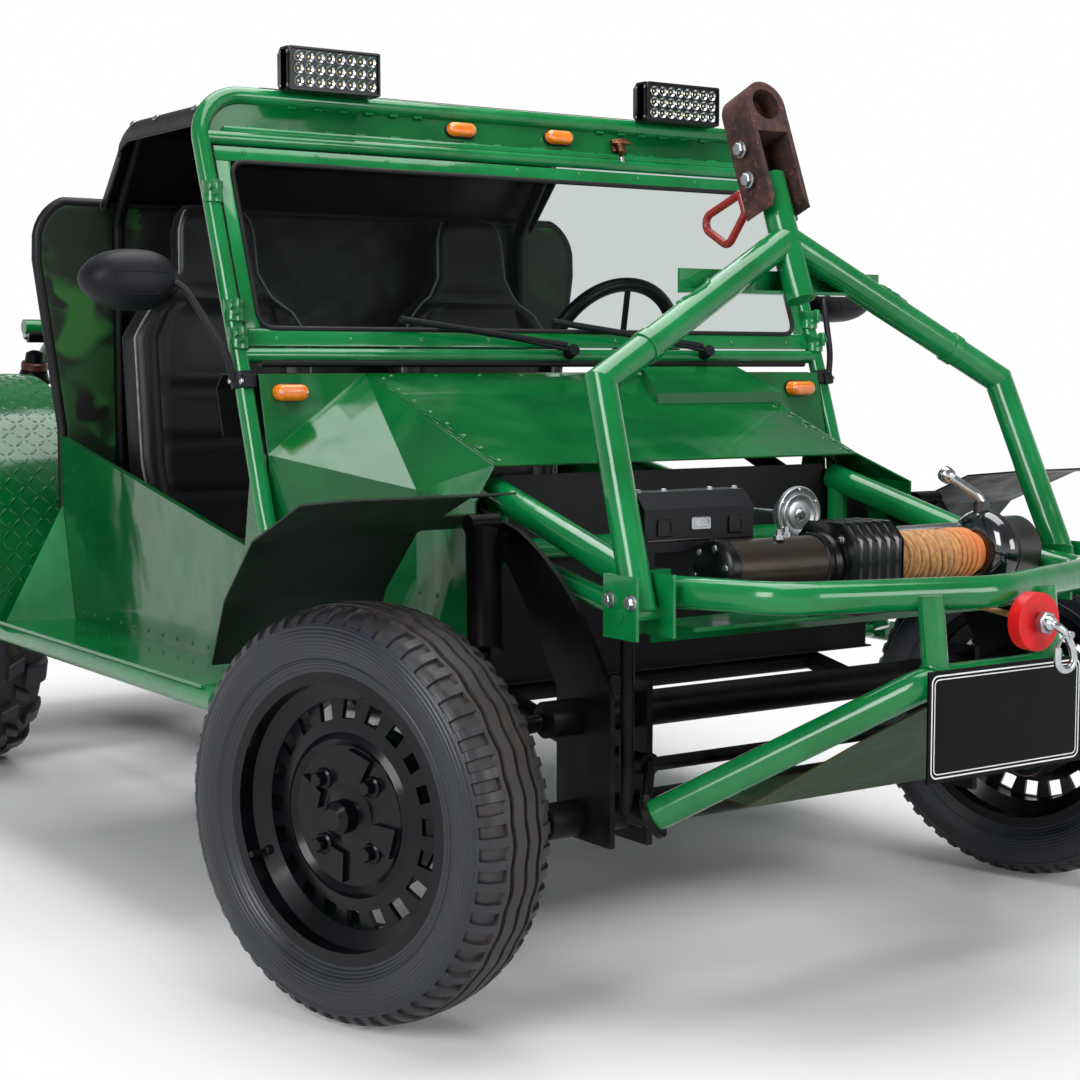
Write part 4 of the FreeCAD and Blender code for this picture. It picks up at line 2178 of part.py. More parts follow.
def build_seats():
    """Two buckets: a squab with bolsters, a back that narrows to a headrest, and runners."""
    half = s.seat_half_width
    profile = [
        (ahead(s.seat_front_ahead), s.seat_front_low_z),
        (ahead(s.seat_front_ahead), s.seat_front_z),
        (ahead(s.seat_rear_ahead), s.seat_rear_z),
        (ahead(s.seat_rear_ahead), s.seat_front_low_z),
    ]
    seats = []
    for name, middle in (("right", -s.seat_y), ("left", s.seat_y)):
        squab = profile_face("y", middle - half, profile, {}, raw_x=True).extrude(vec(0, half * 2, 0))
        shapes = [squab]
        length = float(s.seat_front_ahead - s.seat_rear_ahead)
        for side in (-1, 1):
            inner = middle + (half - s.seat_bolster / 2) * side - s.seat_bolster / 2
            corner = vec(ahead(s.seat_rear_ahead), inner, s.seat_rear_z - s.seat_bolster_rise)
            shapes.append(Part.makeBox(length, float(s.seat_bolster), float(s.seat_bolster_rise * 2), corner))
            runner_y = middle + s.runner_y * side - s.runner_width / 2
            low = s.floor_z + s.sheet_wall + s.fit_gap
            foot = vec(ahead(s.seat_rear_ahead), runner_y, low)
            height = float(s.seat_front_low_z - low)
            shapes.append(Part.makeBox(length, float(s.runner_width), height, foot))
        shapes.append(seat_back(middle))
        seats.append(feature(f"seat_{name}", weld(shapes)))
    node(group("seats", seats))


def seat_back(middle):
    """The back's front outline, leaning, with a waist and a rounded headrest."""
    tall = s.seat_back_height
    shoulder = s.seat_shoulder_height
    head = s.seat_head_half
    corners = [
        (-s.seat_waist_half, ZERO),
        (s.seat_waist_half, ZERO),
        (s.seat_back_half, shoulder / 2),
        (s.seat_back_half, shoulder),
        (head, shoulder + head),
        (head, tall - head),
        (-head, tall - head),
        (-head, shoulder + head),
        (-s.seat_back_half, shoulder),
        (-s.seat_back_half, shoulder / 2),
    ]
    face = profile_face("x", ZERO, corners, {5: (ZERO, tall)})
    back = face.extrude(vec(-s.seat_back_depth, 0, 0))
    back.rotate(vec(0, 0, 0), vec(0, 1, 0), -float(s.seat_back_lean))
    back.translate(vec(ahead(s.seat_back_foot_ahead) + s.fit_gap, middle, s.seat_back_low_z))
    return back


def column_line():
    """The steering axis: the wheel's middle and the way down to the firewall."""
    lean = math.radians(float(s.steering_lean))
    middle = vec(ahead(s.steering_ahead), s.steering_y, s.steering_z)
    return middle, FreeCAD.Vector(math.cos(lean), 0, -math.sin(lean))


def build_steering_wheel():
    middle, forward = column_line()
    grip = s.steering_grip
    ring = Part.makeTorus(float(s.steering_radius - grip), float(grip), middle, forward)
    hub_end = middle + forward * float(s.steering_hub_length)
    shapes = [ring, rod(middle + forward * float(grip), hub_end, s.steering_hub_radius)]
    across = vec(0, 1, 0)
    up = forward.cross(across)
    spoke_root = middle + forward * float(s.steering_hub_length / 2)
    for turn in (90, 210, 330):
        way = across * math.cos(math.radians(turn)) + up * math.sin(math.radians(turn))
        shapes.append(rod(spoke_root, middle + way * float(s.steering_radius - grip), s.spoke_radius))
    node(feature("steering_wheel", weld(shapes)))
    start = hub_end + forward * float(s.fit_gap)
    dip = s.column_radius * math.sin(math.radians(float(s.steering_lean)))
    room = ahead(s.firewall_ahead) - s.fit_gap - dip - as_size(start.x)
    length = float(room) / forward.x
    node(feature("steering_column", rod(start, start + forward * length, s.column_radius)))


# share of the shell's reach from its inner end, and the section's share of the full size there
mirror_sections = ((0, 0.35), (0.2, 0.85), (0.55, 1), (0.85, 0.85), (1, 0.4))


def build_mirrors():
    """A shell on a bent arm from a clamp on each pillar."""
    mirrors = []
    mount = screen_point(s.mirror_mount_z, pillar_y)
    knee_low = vec(ahead(s.pillar_knee_ahead), pillar_y, s.pillar_knee_z)
    pillar = (screen_point(s.screen_foot_z, pillar_y) - knee_low).normalize()
    half = pillar * float(s.clamp_length / 2)
    clamp = rod(mount - half, mount + half, s.clamp_radius)
    sections = []
    span = s.mirror_outer_y - s.mirror_inner_y
    for along_share, size_share in mirror_sections:
        centre = vec(ahead(s.mirror_ahead), s.mirror_inner_y + span * along_share, s.mirror_z)
        tall = float(s.mirror_half_height * size_share)
        deep = float(s.mirror_half_depth * size_share)
        oval = Part.Ellipse(centre + UP * tall, centre + vec(deep, 0, 0), centre)
        sections.append(Part.Wire(oval.toShape()))
    shell = Part.makeLoft(sections, True, False)
    arm_start = mount + vec(0, (s.clamp_radius + s.pillar_tube / 2) / 2, 0)
    arm_end = vec(ahead(s.mirror_ahead), s.mirror_inner_y + s.clamp_length, s.mirror_z)
    arm = rod(arm_start, arm_end, s.mirror_arm_radius)
    pillar_room = screen_hoop(s.pillar_tube + s.fit_gap * 2)
    left = feature("mirror_left", weld([clamp, shell, arm]).cut(pillar_room))
    node(group("mirrors", [left, mirrored(left, "mirror_right")]))


def build_light_bars():
    """Two lamp bars over the header: a chamfered case with cooling fins on a U foot."""
    low = s.bar_lamp_low_z
    high = low + s.bar_lamp_height
    cut = s.bar_lamp_corner
    front = ahead(s.screen_head_ahead) + s.bar_lamp_depth / 2
    rear = front - s.bar_lamp_depth
    section = [
        (rear, low + cut),
        (rear + cut, low),
        (front, low),
        (front, high),
        (rear + cut, high),
        (rear, high - cut),
    ]
    half = s.bar_lamp_half
    case = profile_face("y", s.bar_lamp_y - half, section, {}, raw_x=True).extrude(vec(0, half * 2, 0))
    shapes = [case]
    pitch = half * 2 / SIZES["bar_lamp_fins"]
    tall = float(high - low - cut * 4)
    for number in range(SIZES["bar_lamp_fins"]):
        fin_y = s.bar_lamp_y - half + pitch * number + pitch / 2
        corner = vec(rear - s.bar_lamp_fin_depth, fin_y, low + cut * 2)
        shapes.append(Part.makeBox(float(s.bar_lamp_fin_depth + cut), float(s.bar_lamp_fin), tall, corner))
    head = screen_point(header_top_z, s.bar_lamp_y)
    foot_z = header_top_z + s.pillar_tube / 2 + s.fit_gap
    foot_low = vec(head.x - float(s.bar_foot_width / 2), s.bar_lamp_y - s.bar_foot_width / 2, foot_z)
    foot_high = float(low - foot_z + s.cut_over)
    shapes.append(Part.makeBox(float(s.bar_foot_width), float(s.bar_foot_width), foot_high, foot_low))
    left = feature("light_bar_left", weld(shapes))
    node(group("light_bars", [left, mirrored(left, "light_bar_right")]))


def build_marker_lamps():
    """Amber lamps on the header and the nose sides, and round lamps on the rear bumper."""
    lamps = []
    normal = (screen_point(s.screen_foot_z, ZERO) - screen_point(s.screen_head_z, ZERO)).normalize()
    outward = vec(0, 1, 0).cross(normal)
    if outward.x < 0:
        outward = -outward
    level = header_top_z - s.header_marker_drop
    for side in (-1, 1):
        middle = screen_point(level, s.header_marker_y * side)
        middle = middle + outward * float(s.sheet_wall / 2 + s.fit_gap)
        lamps.append(stadium(middle, vec(0, 1, 0), outward))
    marks = [
        vec(ahead(s.hood_rear_ahead), s.hood_rear_half_width, s.hood_rear_z),
        vec(ahead(s.seam_rear_ahead), s.body_half_width, s.seam_rear_z + s.fit_gap),
        vec(ahead(s.screen_foot_ahead) + s.pillar_tube, s.body_half_width, s.screen_foot_z - s.pillar_tube),
    ]
    facing = (marks[1] - marks[0]).cross(marks[2] - marks[0]).normalize()
    if facing.z < 0:
        facing = -facing
    centre = (marks[0] + marks[1] + marks[2] * 2) * (1 / 4)
    along = (marks[2] - marks[0]).normalize()
    side_lamp = stadium(centre + facing * float(s.fit_gap), along, facing)
    lamps.append(side_lamp)
    lamps.append(side_lamp.mirror(vec(0, 0, 0), vec(0, 1, 0)))
    for side in (-1, 1):
        seat_z = s.rear_bumper_z + s.frame_tube / 2 + s.tail_lamp_radius + s.fit_gap
        middle = vec(bumper_x - s.tail_lamp_depth / 2, s.tail_lamp_y * side, seat_z)
        lamps.append(rod(middle, middle + vec(s.tail_lamp_depth, 0, 0), s.tail_lamp_radius))
    node(feature("marker_lamps", Part.Compound(lamps)))


def stadium(middle, along, outward):
    """A lens with round ends, standing on a panel."""
    half = along * float((s.marker_length - s.marker_width) / 2)
    radius = s.marker_width / 2
    depth = outward * float(s.marker_depth)
    across = along.cross(outward) * float(radius)
    first, last = middle - half, middle + half
    bar = flat_face([first - across, last - across, last + across, first + across])
    ends = [rod(first, first + depth, radius), rod(last, last + depth, radius)]
    return weld([bar.extrude(depth)] + ends)


build_wheels()
for label, side, outboard in (("knuckle_right", -1, outboard_right), ("knuckle_left", 1, outboard_left)):
    node(build_knuckle(label, side, outboard))
build_front_axle()
build_tub()
build_screen()
build_roof()
build_bulkhead()
build_nose()
build_front_frame()
build_front_rails()
build_bull_bar()
build_skid_plate()
build_plate()
build_tow_frame()
build_winch()
build_rope()
build_front_fenders()
build_rear_fenders()
build_rear_frame()
build_sills()
build_rear_axle()
build_engine()
build_seats()
build_steering_wheel()
build_mirrors()
build_light_bars()
build_marker_lamps()

doc.recompute()
faults = [thing.Label for thing in doc.Objects if "Invalid" in thing.State or "Error" in thing.State]
for thing in nodes:
    if thing.Shape.isNull() or not thing.Shape.isValid():
        faults.append(thing.Label)
if faults:
    raise RuntimeError(f"these did not build: {faults}")
os.makedirs("parts", exist_ok=True)
for thing in nodes:
    thing.Shape.exportStep(f"parts/{thing.Label}.step")
print(len(nodes), "nodes")
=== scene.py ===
import math
import random

import bmesh
import bpy
from mathutils import Matrix, Vector
from mathutils.bvhtree import BVHTree


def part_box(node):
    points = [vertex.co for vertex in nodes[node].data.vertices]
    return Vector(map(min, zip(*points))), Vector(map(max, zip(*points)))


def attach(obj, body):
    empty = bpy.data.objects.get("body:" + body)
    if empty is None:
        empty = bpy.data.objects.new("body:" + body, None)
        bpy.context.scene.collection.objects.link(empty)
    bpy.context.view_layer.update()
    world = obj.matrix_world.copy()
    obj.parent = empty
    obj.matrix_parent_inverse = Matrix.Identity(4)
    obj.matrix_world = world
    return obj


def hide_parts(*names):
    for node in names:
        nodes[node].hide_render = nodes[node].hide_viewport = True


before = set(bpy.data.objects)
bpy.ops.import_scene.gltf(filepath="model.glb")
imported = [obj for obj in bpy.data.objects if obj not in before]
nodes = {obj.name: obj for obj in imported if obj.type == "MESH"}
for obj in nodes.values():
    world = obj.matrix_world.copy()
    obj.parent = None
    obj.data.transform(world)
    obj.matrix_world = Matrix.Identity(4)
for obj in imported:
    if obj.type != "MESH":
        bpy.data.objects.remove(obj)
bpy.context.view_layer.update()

chassis = "chassis"
print("frame loaded:", len(nodes), "nodes")


# small tools; shapes are built in millimetres, and toObject turns them into metres

mm = 0.001
up, ahead, left = (0, 0, 1), (1, 0, 0), (0, 1, 0)
sides = (-1, 1)


def toLinear(hexText):
    # sRGB hex to the linear colour that Blender's sockets take
    channels = [int(hexText[i:i + 2], 16) / 255 for i in (1, 3, 5)]
    return (*[c / 12.92 if c <= 0.04045 else ((c + 0.055) / 1.055) ** 2.4 for c in channels], 1.0)


def addNode(tree, kind, inputs=(), out=0, **settings):
    # adds one node and gives its output; inputs go by name or in order, and each is a value, hex or socket
    made = tree.nodes.new("ShaderNode" + kind)
    for key, value in settings.items():
        setattr(made, key, value)
    for key, value in inputs.items() if isinstance(inputs, dict) else enumerate(inputs):
        if isinstance(value, bpy.types.NodeSocket):
            tree.links.new(value, made.inputs[key])
        else:
            made.inputs[key].default_value = toLinear(value) if isinstance(value, str) else value
    return made.outputs[out] if made.outputs else None


def freshTree(holder):
    holder.use_nodes = True
    holder.node_tree.nodes.clear()
    return holder.node_tree


def perMetre(millimetres):
    # texture scale that gives features of about this size
    return 1000 / millimetres


def axes(origin, along, side=None):
    # a matrix whose z runs along the given way and whose x leans to side
    z = Vector(along).normalized()
    x = Vector(side) if side is not None else z.orthogonal()
    x = (x - z * x.dot(z)).normalized()
    made = Matrix((x, z.cross(x), z)).transposed().to_4x4()
    made.translation = Vector(origin)
    return made


def polar(radius, turn, z=0):
    return Vector((radius * math.cos(turn), radius * math.sin(turn), z))


def shifted(place, x, y, z):
    return place @ Matrix.Translation((x, y, z))


def around(place, radius, count, start=0.0, z=0):
    # places evenly spaced on a circle
    return [shifted(place, *polar(radius, math.tau * k / count + start, z)) for k in range(count)]


def spaced(count, start=-1.0, end=1.0):
    # evenly spaced numbers, both ends included
    return [start + (end - start) * k / (count - 1) for k in range(count)]


def addTurned(bm, place, outline, steps=48, material=0):
    # a turned shape: pairs of (distance along z, radius)
    rings = []
    for along, radius in outline:
        turns = [math.tau * i / steps for i in range(steps)] if radius else [0]
        rings.append([bm.verts.new(place @ polar(radius, t, along)) for t in turns])
    for low, high in zip(rings, rings[1:]):
        for i in range(steps):
            k = (i + 1) % steps
            corners = [low[i % len(low)], low[k % len(low)], high[k % len(high)], high[i % len(high)]]
            unique = list(dict.fromkeys(corners))
            if len(unique) > 2:
                bm.faces.new(unique).material_index = material
    return rings


def addBlock(bm, place, size, bevel=0.0, material=0, segments=2):
    made = bmesh.ops.create_cube(bm, size=1, matrix=place @ Matrix.Diagonal((*size, 1)))
    faces = {face for vert in made["verts"] for face in vert.link_faces}
    if bevel:
        edges = list(dict.fromkeys(edge for vert in made["verts"] for edge in vert.link_edges))
        cut = bmesh.ops.bevel(bm, geom=edges, offset=bevel, segments=segments, affect="EDGES", profile=0.5)
        faces = {face for face in faces if face.is_valid} | set(cut["faces"])
    for face in faces:
        face.material_index = material


def addLoops(bm, loops, material=0, closed=False):
    # loops of points, joined one to the next; both ends are capped, or the last joins the first
    rings = [[bm.verts.new(point) for point in loop] for loop in loops]
    for low, high in zip(rings, rings[1:] + rings[:closed]):
        for i in range(len(low)):
            k = (i + 1) % len(low)
            bm.faces.new((low[i], low[k], high[k], high[i])).material_index = material
    if not closed:
        bm.faces.new(rings[0][::-1]).material_index = material
        bm.faces.new(rings[-1]).material_index = material
    return rings


def addTube(bm, points, radius, count=12, material=0, closed=False, flat=1.0, side=None):
    # a tube along points; radius is one number or one for each point
    points = [Vector(p) for p in points]
    radii = radius if isinstance(radius, list) else [radius] * len(points)
    loops = []
    for i, point in enumerate(points):
        before = points[i - 1] if i or closed else point
        after = points[(i + 1) % len(points)] if i < len(points) - 1 or closed else point
        way = (after - before).normalized()
        side = Vector(side) if side is not None else way.orthogonal()
        side = (side - way * side.dot(way)).normalized()
        frameOf = Matrix((side, way.cross(side) * flat, way)).transposed()
        loops.append([point + frameOf @ polar(radii[i], math.tau * k / count) for k in range(count)])
    addLoops(bm, loops, material, closed)


def rounded(points, radius, steps=5, closed=False):
    # a path with its corners turned into arcs
    points = [Vector(p) for p in points]
    path = []
    for i, corner in enumerate(points):
        if not closed and i in (0, len(points) - 1):
            path.append(corner)
            continue
        back = points[i - 1] - corner
        onward = points[(i + 1) % len(points)] - corner
        reach = min(radius, back.length * 0.48, onward.length * 0.48)
        start = corner + back.normalized() * reach
        end = corner + onward.normalized() * reach
        for t in spaced(steps + 1, 0):
            path.append(start * (1 - t) ** 2 + corner * 2 * t * (1 - t) + end * t * t)
    return path


def addBolt(bm, place, across, height, washer=0, material=0):
    # a hexagon head with its corners turned off, on a washer of the given radius
    start = 1.6 if washer else 0
    if washer:
        disc = [(0, 0), (0, washer), (start - 0.4, washer), (start, washer - 0.6), (start, 0)]
        addTurned(bm, place, disc, 20, material)
    half = across / math.sqrt(3)
    top = start + height
    head = [(start, 0), (start, half), (top - height * 0.18, half), (top, half * 0.84), (top, 0)]
    addTurned(bm, place, head, 6, material)


def addBead(bm, points, size, closed=True):
    # a weld bead: overlapping ripples, a few millimetres each
    radii = [size * (1.0 + 0.22 * math.sin(i * 2.1) + 0.08 * math.sin(i * 0.7)) for i in range(len(points))]
    addTube(bm, points, radii, 6, 0, closed)


def skinOf(name):
    # a node's surface, for setting small pieces onto it
    mesh = nodes[name].data
    points = [vert.co / mm for vert in mesh.vertices]
    return BVHTree.FromPolygons(points, [tuple(face.vertices) for face in mesh.polygons])


def seatOn(skin, start, way, sunk=0, side=None):
    # where a line first meets a surface, with z out of it, or None
    point, normal, _, _ = skin.ray_cast(Vector(start), Vector(way).normalized())
    if point is None:
        return None
    if normal.dot(Vector(way)) > 0:
        normal = -normal
    return axes(point - normal * sunk, normal, side)


def toObject(bm, name, materials, body=chassis, smooth=35, replaced=()):
    # one finished piece: faces outward, sharp edges kept, riding on its body
    bm.transform(Matrix.Scale(mm, 4))
    bmesh.ops.recalc_face_normals(bm, faces=bm.faces)
    mesh = bpy.data.meshes.new(name)
    bm.to_mesh(mesh)
    bm.free()
    for material in materials:
        mesh.materials.append(material)
    mesh.shade_smooth()
    mesh.set_sharp_from_angle(angle=math.radians(smooth))
    made = bpy.data.objects.new(name, mesh)
    bpy.context.scene.collection.objects.link(made)
    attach(made, body)
    if replaced:
        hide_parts(*replaced)
    return made


# camera, floor and light, in metres

camera = {
    "place": (3.4455, -2.018, 0.9135),
    "right": (0.5624, 0.8269, 0.0),
    "up": (-0.0729, 0.0496, 0.9962),
    "ahead": (-0.8237, 0.5602, -0.0882),
    "lens": 65.84,
}

view = bpy.data.objects.new("camera", bpy.data.cameras.new("camera"))
view.data.lens = camera["lens"]
view.data.sensor_width = 36
view.data.clip_end = 100
turn = Matrix((camera["right"], camera["up"], [-v for v in camera["ahead"]])).transposed().to_4x4()
view.matrix_world = Matrix.Translation(camera["place"]) @ turn
bpy.context.scene.collection.objects.link(view)
bpy.context.scene.camera = view
bpy.context.scene.view_settings.view_transform = "Standard"

studio = {
    "ambient": "#c3c6cb",
    "ambientStrength": 0.26,
    "ceiling": 0.12,  # share of the white that a reflection of the ceiling still has
    "ceilingFrom": (0.10, 0.45),
    "floorColour": "#f1f1f1",
    "floorReach": 14.0,
    # half length and width of the floor under the vehicle, which keeps its shadow
    "footprint": (1.25, 0.50, 0.0),
    "fadeReach": 1.0,  # beyond it the floor has become backdrop
    "lamps": [
        # name, place, aimed at, size, watts
        ("topSoftbox", (0.3, 0.2, 3.9), (0.1, 0.0, 0.5), (4.2, 2.4), 150),
        ("keySoftbox", (2.9, -4.3, 2.9), (0.2, -0.2, 0.6), (2.6, 1.8), 150),
        ("noseSoftbox", (5.2, 1.2, 1.9), (0.6, 0.0, 0.6), (1.6, 2.2), 70),
        ("rimSoftbox", (-3.6, 3.0, 2.8), (-0.2, 0.0, 0.9), (2.0, 2.0), 24),
    ],
}


def whiteShare(tree, dimming=None):
    # 1 for the rays that see plain white: from the camera, through the glass, and mirrored ones
    ray = addNode(tree, "LightPath").node.outputs
    mirrored = ray["Is Glossy Ray"]
    if dimming:
        mirrored = addNode(tree, "Math", [mirrored, dimming], operation="MULTIPLY")
    seen = addNode(tree, "Math", [ray["Is Camera Ray"], mirrored], operation="MAXIMUM")
    return addNode(tree, "Math", [seen, ray["Is Transmission Ray"]], operation="MAXIMUM")


world = bpy.data.worlds.new("studio")
bpy.context.scene.world = world
tree = freshTree(world)
# the backdrop is white all round; in reflections the ceiling above it is dimmer, as in a real studio
heading = addNode(tree, "SeparateXYZ", [addNode(tree, "TexCoord", out="Generated")], "Z")
ceiling = addNode(tree, "MapRange", [heading, *studio["ceilingFrom"], 1.0, studio["ceiling"]])
ambient = addNode(tree, "Background", [studio["ambient"], studio["ambientStrength"]])
white = addNode(tree, "Background", ["#ffffff", 1.0])
addNode(tree, "OutputWorld", [addNode(tree, "MixShader", [whiteShare(tree, ceiling), ambient, white])])

for name, place, target, size, watts in studio["lamps"]:
    lamp = bpy.data.lights.new(name, "AREA")
    lamp.shape = "RECTANGLE"
    lamp.size, lamp.size_y = size
    lamp.energy = watts
    holder = bpy.data.objects.new(name, lamp)
    holder.matrix_world = axes(place, Vector(place) - Vector(target), up if abs(place[0]) > 1 else ahead)
    bpy.context.scene.collection.objects.link(holder)

bm = bmesh.new()
addTurned(bm, Matrix.Scale(1 / mm, 4), [(0, 0), (0, 1.5), (0, studio["floorReach"])], 64)
floor = toObject(bm, "floor", [])
floor.parent = None
# a roll of matte paper: no gloss, it only takes the soft shadow
floorPaper = bpy.data.materials.new("mattePaperFloor")
tree = freshTree(floorPaper)
past = addNode(tree, "VectorMath", [addNode(tree, "TexCoord", out="Object")], operation="ABSOLUTE")
past = addNode(tree, "VectorMath", [past, studio["footprint"]], operation="SUBTRACT")
past = addNode(tree, "VectorMath", [past, (0, 0, 0)], operation="MAXIMUM")
reach = addNode(tree, "VectorMath", [past], "Value", operation="LENGTH")
fade = addNode(tree, "MapRange", [reach, 0.0, studio["fadeReach"], 0.0, 1.0], interpolation_type="SMOOTHSTEP")
share = addNode(tree, "Math", [whiteShare(tree), fade], operation="MULTIPLY")
paper = addNode(tree, "BsdfDiffuse", [studio["floorColour"]])
glow = addNode(tree, "Emission", ["#ffffff", 1.0])
addNode(tree, "OutputMaterial", [addNode(tree, "MixShader", [share, paper, glow])])
floor.data.materials.append(floorPaper)
print("camera, floor and light are set")


# finishes

def layOver(tree, surface, share, tone, rough=None):
    # a layer where share is 1: its tone and, if given, its roughness
    surface["colour"] = addNode(tree, "Mix", {0: share, 6: surface["colour"], 7: tone}, 2, data_type="RGBA")
    if rough is not None:
        surface["rough"] = addNode(tree, "Mix", {0: share, 2: surface["rough"], 3: rough})


def addRelief(tree, surface, depth):
    surface["height"] = addNode(tree, "Math", [surface["height"], depth], operation="ADD")


socketNames = {
    "specular": "Specular IOR Level", "metallic": "Metallic", "ior": "IOR", "coat": "Coat Weight",
    "coatRough": "Coat Roughness", "sheen": "Sheen Weight", "scatter": "Subsurface Weight",
}


def finish(name, colour, second, patch, rough, more=None, grain=(3, 0.02), **look):
    # one surface: two tones in patches, uneven gloss, grain and dents, dust from below; sizes are in mm
    material = bpy.data.materials.new(name)
    material.use_nodes = True
    tree = material.node_tree
    shader = tree.nodes["Principled BSDF"]
    where = addNode(tree, "TexCoord", out="Object")
    patches = {"Vector": where, "Scale": perMetre(patch), "Detail": 5.0, "Roughness": 0.6}
    patches = addNode(tree, "TexNoise", patches)
    spread = addNode(tree, "MapRange", [patches, 0.35, 0.65])
    fine = addNode(tree, "TexNoise", {"Vector": where, "Scale": perMetre(grain[0]), "Detail": 3.0})
    surface = {
        "where": where, "colour": colour,
        "rough": addNode(tree, "MapRange", [patches, 0.3, 0.7, *rough]),
        "height": addNode(tree, "Math", [fine, grain[1] * mm], operation="MULTIPLY"),
    }
    layOver(tree, surface, spread, second)
    if "dent" in look:
        size, depth = look["dent"]
        dents = {"Vector": where, "Scale": perMetre(size), "Detail": 1.0, "Roughness": 0.35}
        dents = addNode(tree, "TexNoise", dents)
        addRelief(tree, surface, addNode(tree, "Math", [dents, depth * mm], operation="MULTIPLY"))
    if "speck" in look:
        tone, size, least = look["speck"]
        specks = {"Vector": where, "Scale": perMetre(size), "Detail": 2.0, "Roughness": 0.7}
        specks = addNode(tree, "TexNoise", specks)
        layOver(tree, surface, addNode(tree, "MapRange", [specks, least, least + 0.05]), tone, 0.7)
    if "worn" in look:
        # bare metal or primer where hands and stones take the paint off the edges
        tone, share, reach = look["worn"]
        soft = addNode(tree, "Bevel", {"Radius": reach * mm}, samples=4)
        plain = addNode(tree, "NewGeometry", out="Normal")
        turned = addNode(tree, "VectorMath", [soft, plain], "Value", operation="DOT_PRODUCT")
        ragged = addNode(tree, "Math", [patches, 0.10], operation="MULTIPLY")
        ragged = addNode(tree, "Math", [turned, ragged], operation="ADD")
        layOver(tree, surface, addNode(tree, "MapRange", [ragged, 0.93, 0.99, share, 0.0]), tone)
    if "dust" in look:
        # road dust: thick near the ground, gone higher up, broken by the patches
        tone, top, share = look["dust"]
        height = addNode(tree, "SeparateXYZ", [where], "Z")
        low = addNode(tree, "MapRange", [height, top, 0.05, 0.0, share])
        layOver(tree, surface, addNode(tree, "Math", [low, spread], operation="MULTIPLY"), tone, 0.85)
    if more:
        more(tree, surface)
    bump = {"Height": surface["height"], "Distance": 1.0, "Strength": 1.0}
    if "softEdge" in look:
        bump["Normal"] = addNode(tree, "Bevel", {"Radius": look["softEdge"] * mm}, samples=4)
    tree.links.new(surface["colour"], shader.inputs["Base Color"])
    tree.links.new(surface["rough"], shader.inputs["Roughness"])
    tree.links.new(addNode(tree, "Bump", bump), shader.inputs["Normal"])
    for key in socketNames.keys() & look.keys():
        shader.inputs[socketNames[key]].default_value = look[key]
    return material


# gloss enamel brushed over hammered sheet steel: deep green, wet highlights that break on shallow dents
greenSheet = finish(
    "glossEnamelOnSheetSteel", "#034f23", "#06662f", 260, (0.10, 0.20), grain=(2.5, 0.03),
    dent=(110, 10.0), softEdge=2.0, specular=0.3, coat=0.35, coatRough=0.04)
# the same enamel on steel tube: tighter highlights, small runs and chips
greenTube = finish(
    "glossEnamelOnSteelTube", "#056a31", "#0a7f42", 140, (0.12, 0.24), grain=(2.5, 0.03), dent=(42, 1.2),
    speck=("#0a2c18", 4, 0.72), dust=("#5d5744", 0.42, 0.35), softEdge=1.5, specular=0.3, coat=0.45,
    coatRough=0.05)
# enamel on a fender's underside: the fenders' green painted nearly black green as painted shade, with road
# grit stuck in it
shadedFenderEnamel = finish(
    "gritAndPaintedShadeEnamel", "#06140b", "#0a2112", 60, (0.35, 0.6), grain=(1.5, 0.12), dent=(60, 1.2),
    speck=("#7c8a78", 5, 0.74), specular=0.3)
# dull enamel on the guard plate: scraped, brown at its low edge
guardEnamel = finish(
    "scrapedEnamelPlate", "#14381f", "#1b3d22", 90, (0.32, 0.55), grain=(2, 0.05), dent=(120, 3.0),
    worn=("#6b5236", 0.9, 4.0), dust=("#5b4a30", 0.43, 0.65), specular=0.3)
# satin black chassis paint: even and slightly bluish, with grit specks and dust low down
chassisBlack = finish(
    "satinChassisPaint", "#050506", "#090a0c", 90, (0.28, 0.45), grain=(1.5, 0.05), dent=(40, 0.6),
    speck=("#3c3a36", 5, 0.74), dust=("#4b463d", 0.5, 0.35), specular=0.10)
# pressed wheel steel under satin black enamel: slate highlights along every bead, a thin film of dust
wheelBlack = finish(
    "satinEnamelPressedSteel", "#07080b", "#0c0e13", 70, (0.20, 0.34), grain=(2, 0.05), dent=(30, 0.35),
    speck=("#2a251f", 9, 0.72), specular=0.15, coat=0.18, coatRough=0.12)
# moulded ABS, fine spark-eroded texture: soft grey-black, no mirror highlights
texturedAbs = finish(
    "texturedMouldedAbs", "#111216", "#17181d", 120, (0.42, 0.52), grain=(1.6, 0.10), specular=0.2, ior=1.48)
# smooth black plastic for the steering wheel and small housings
smoothAbs = finish(
    "smoothMouldedAbs", "#050506", "#09090b", 90, (0.24, 0.36), grain=(1.5, 0.03), specular=0.3, ior=1.48)
# black paint sprayed dry on the cabin's folded panels: flat, no reflections
cabinBlack = finish(
    "mattePaintedPanel", "#040405", "#08090a", 140, (0.5, 0.7), grain=(2, 0.08), dent=(80, 1.0),
    specular=0.28)
# sand-cast aluminium left bare: pale grey, soft grain and oil stains
castAluminium = finish(
    "sandCastAluminium", "#8f9194", "#6d6f70", 45, (0.38, 0.6), grain=(1.6, 0.22),
    speck=("#2d2a26", 14, 0.64), dust=("#4a4234", 0.6, 0.5), metallic=1.0)
# tin shrouds under black stove enamel: thin gloss over slightly wavy sheet
shroudBlack = finish(
    "stoveEnamelledTin", "#060607", "#0a0b0d", 70, (0.2, 0.34), grain=(2, 0.03), dent=(70, 1.4),
    specular=0.3, coat=0.4, coatRough=0.1)
# mild steel exhaust: brown and blue heat tint, matte scale
exhaustSteel = finish(
    "heatTintedMildSteel", "#6a5646", "#46464f", 60, (0.42, 0.68), grain=(1.5, 0.12),
    speck=("#7a4224", 12, 0.62), metallic=0.85)
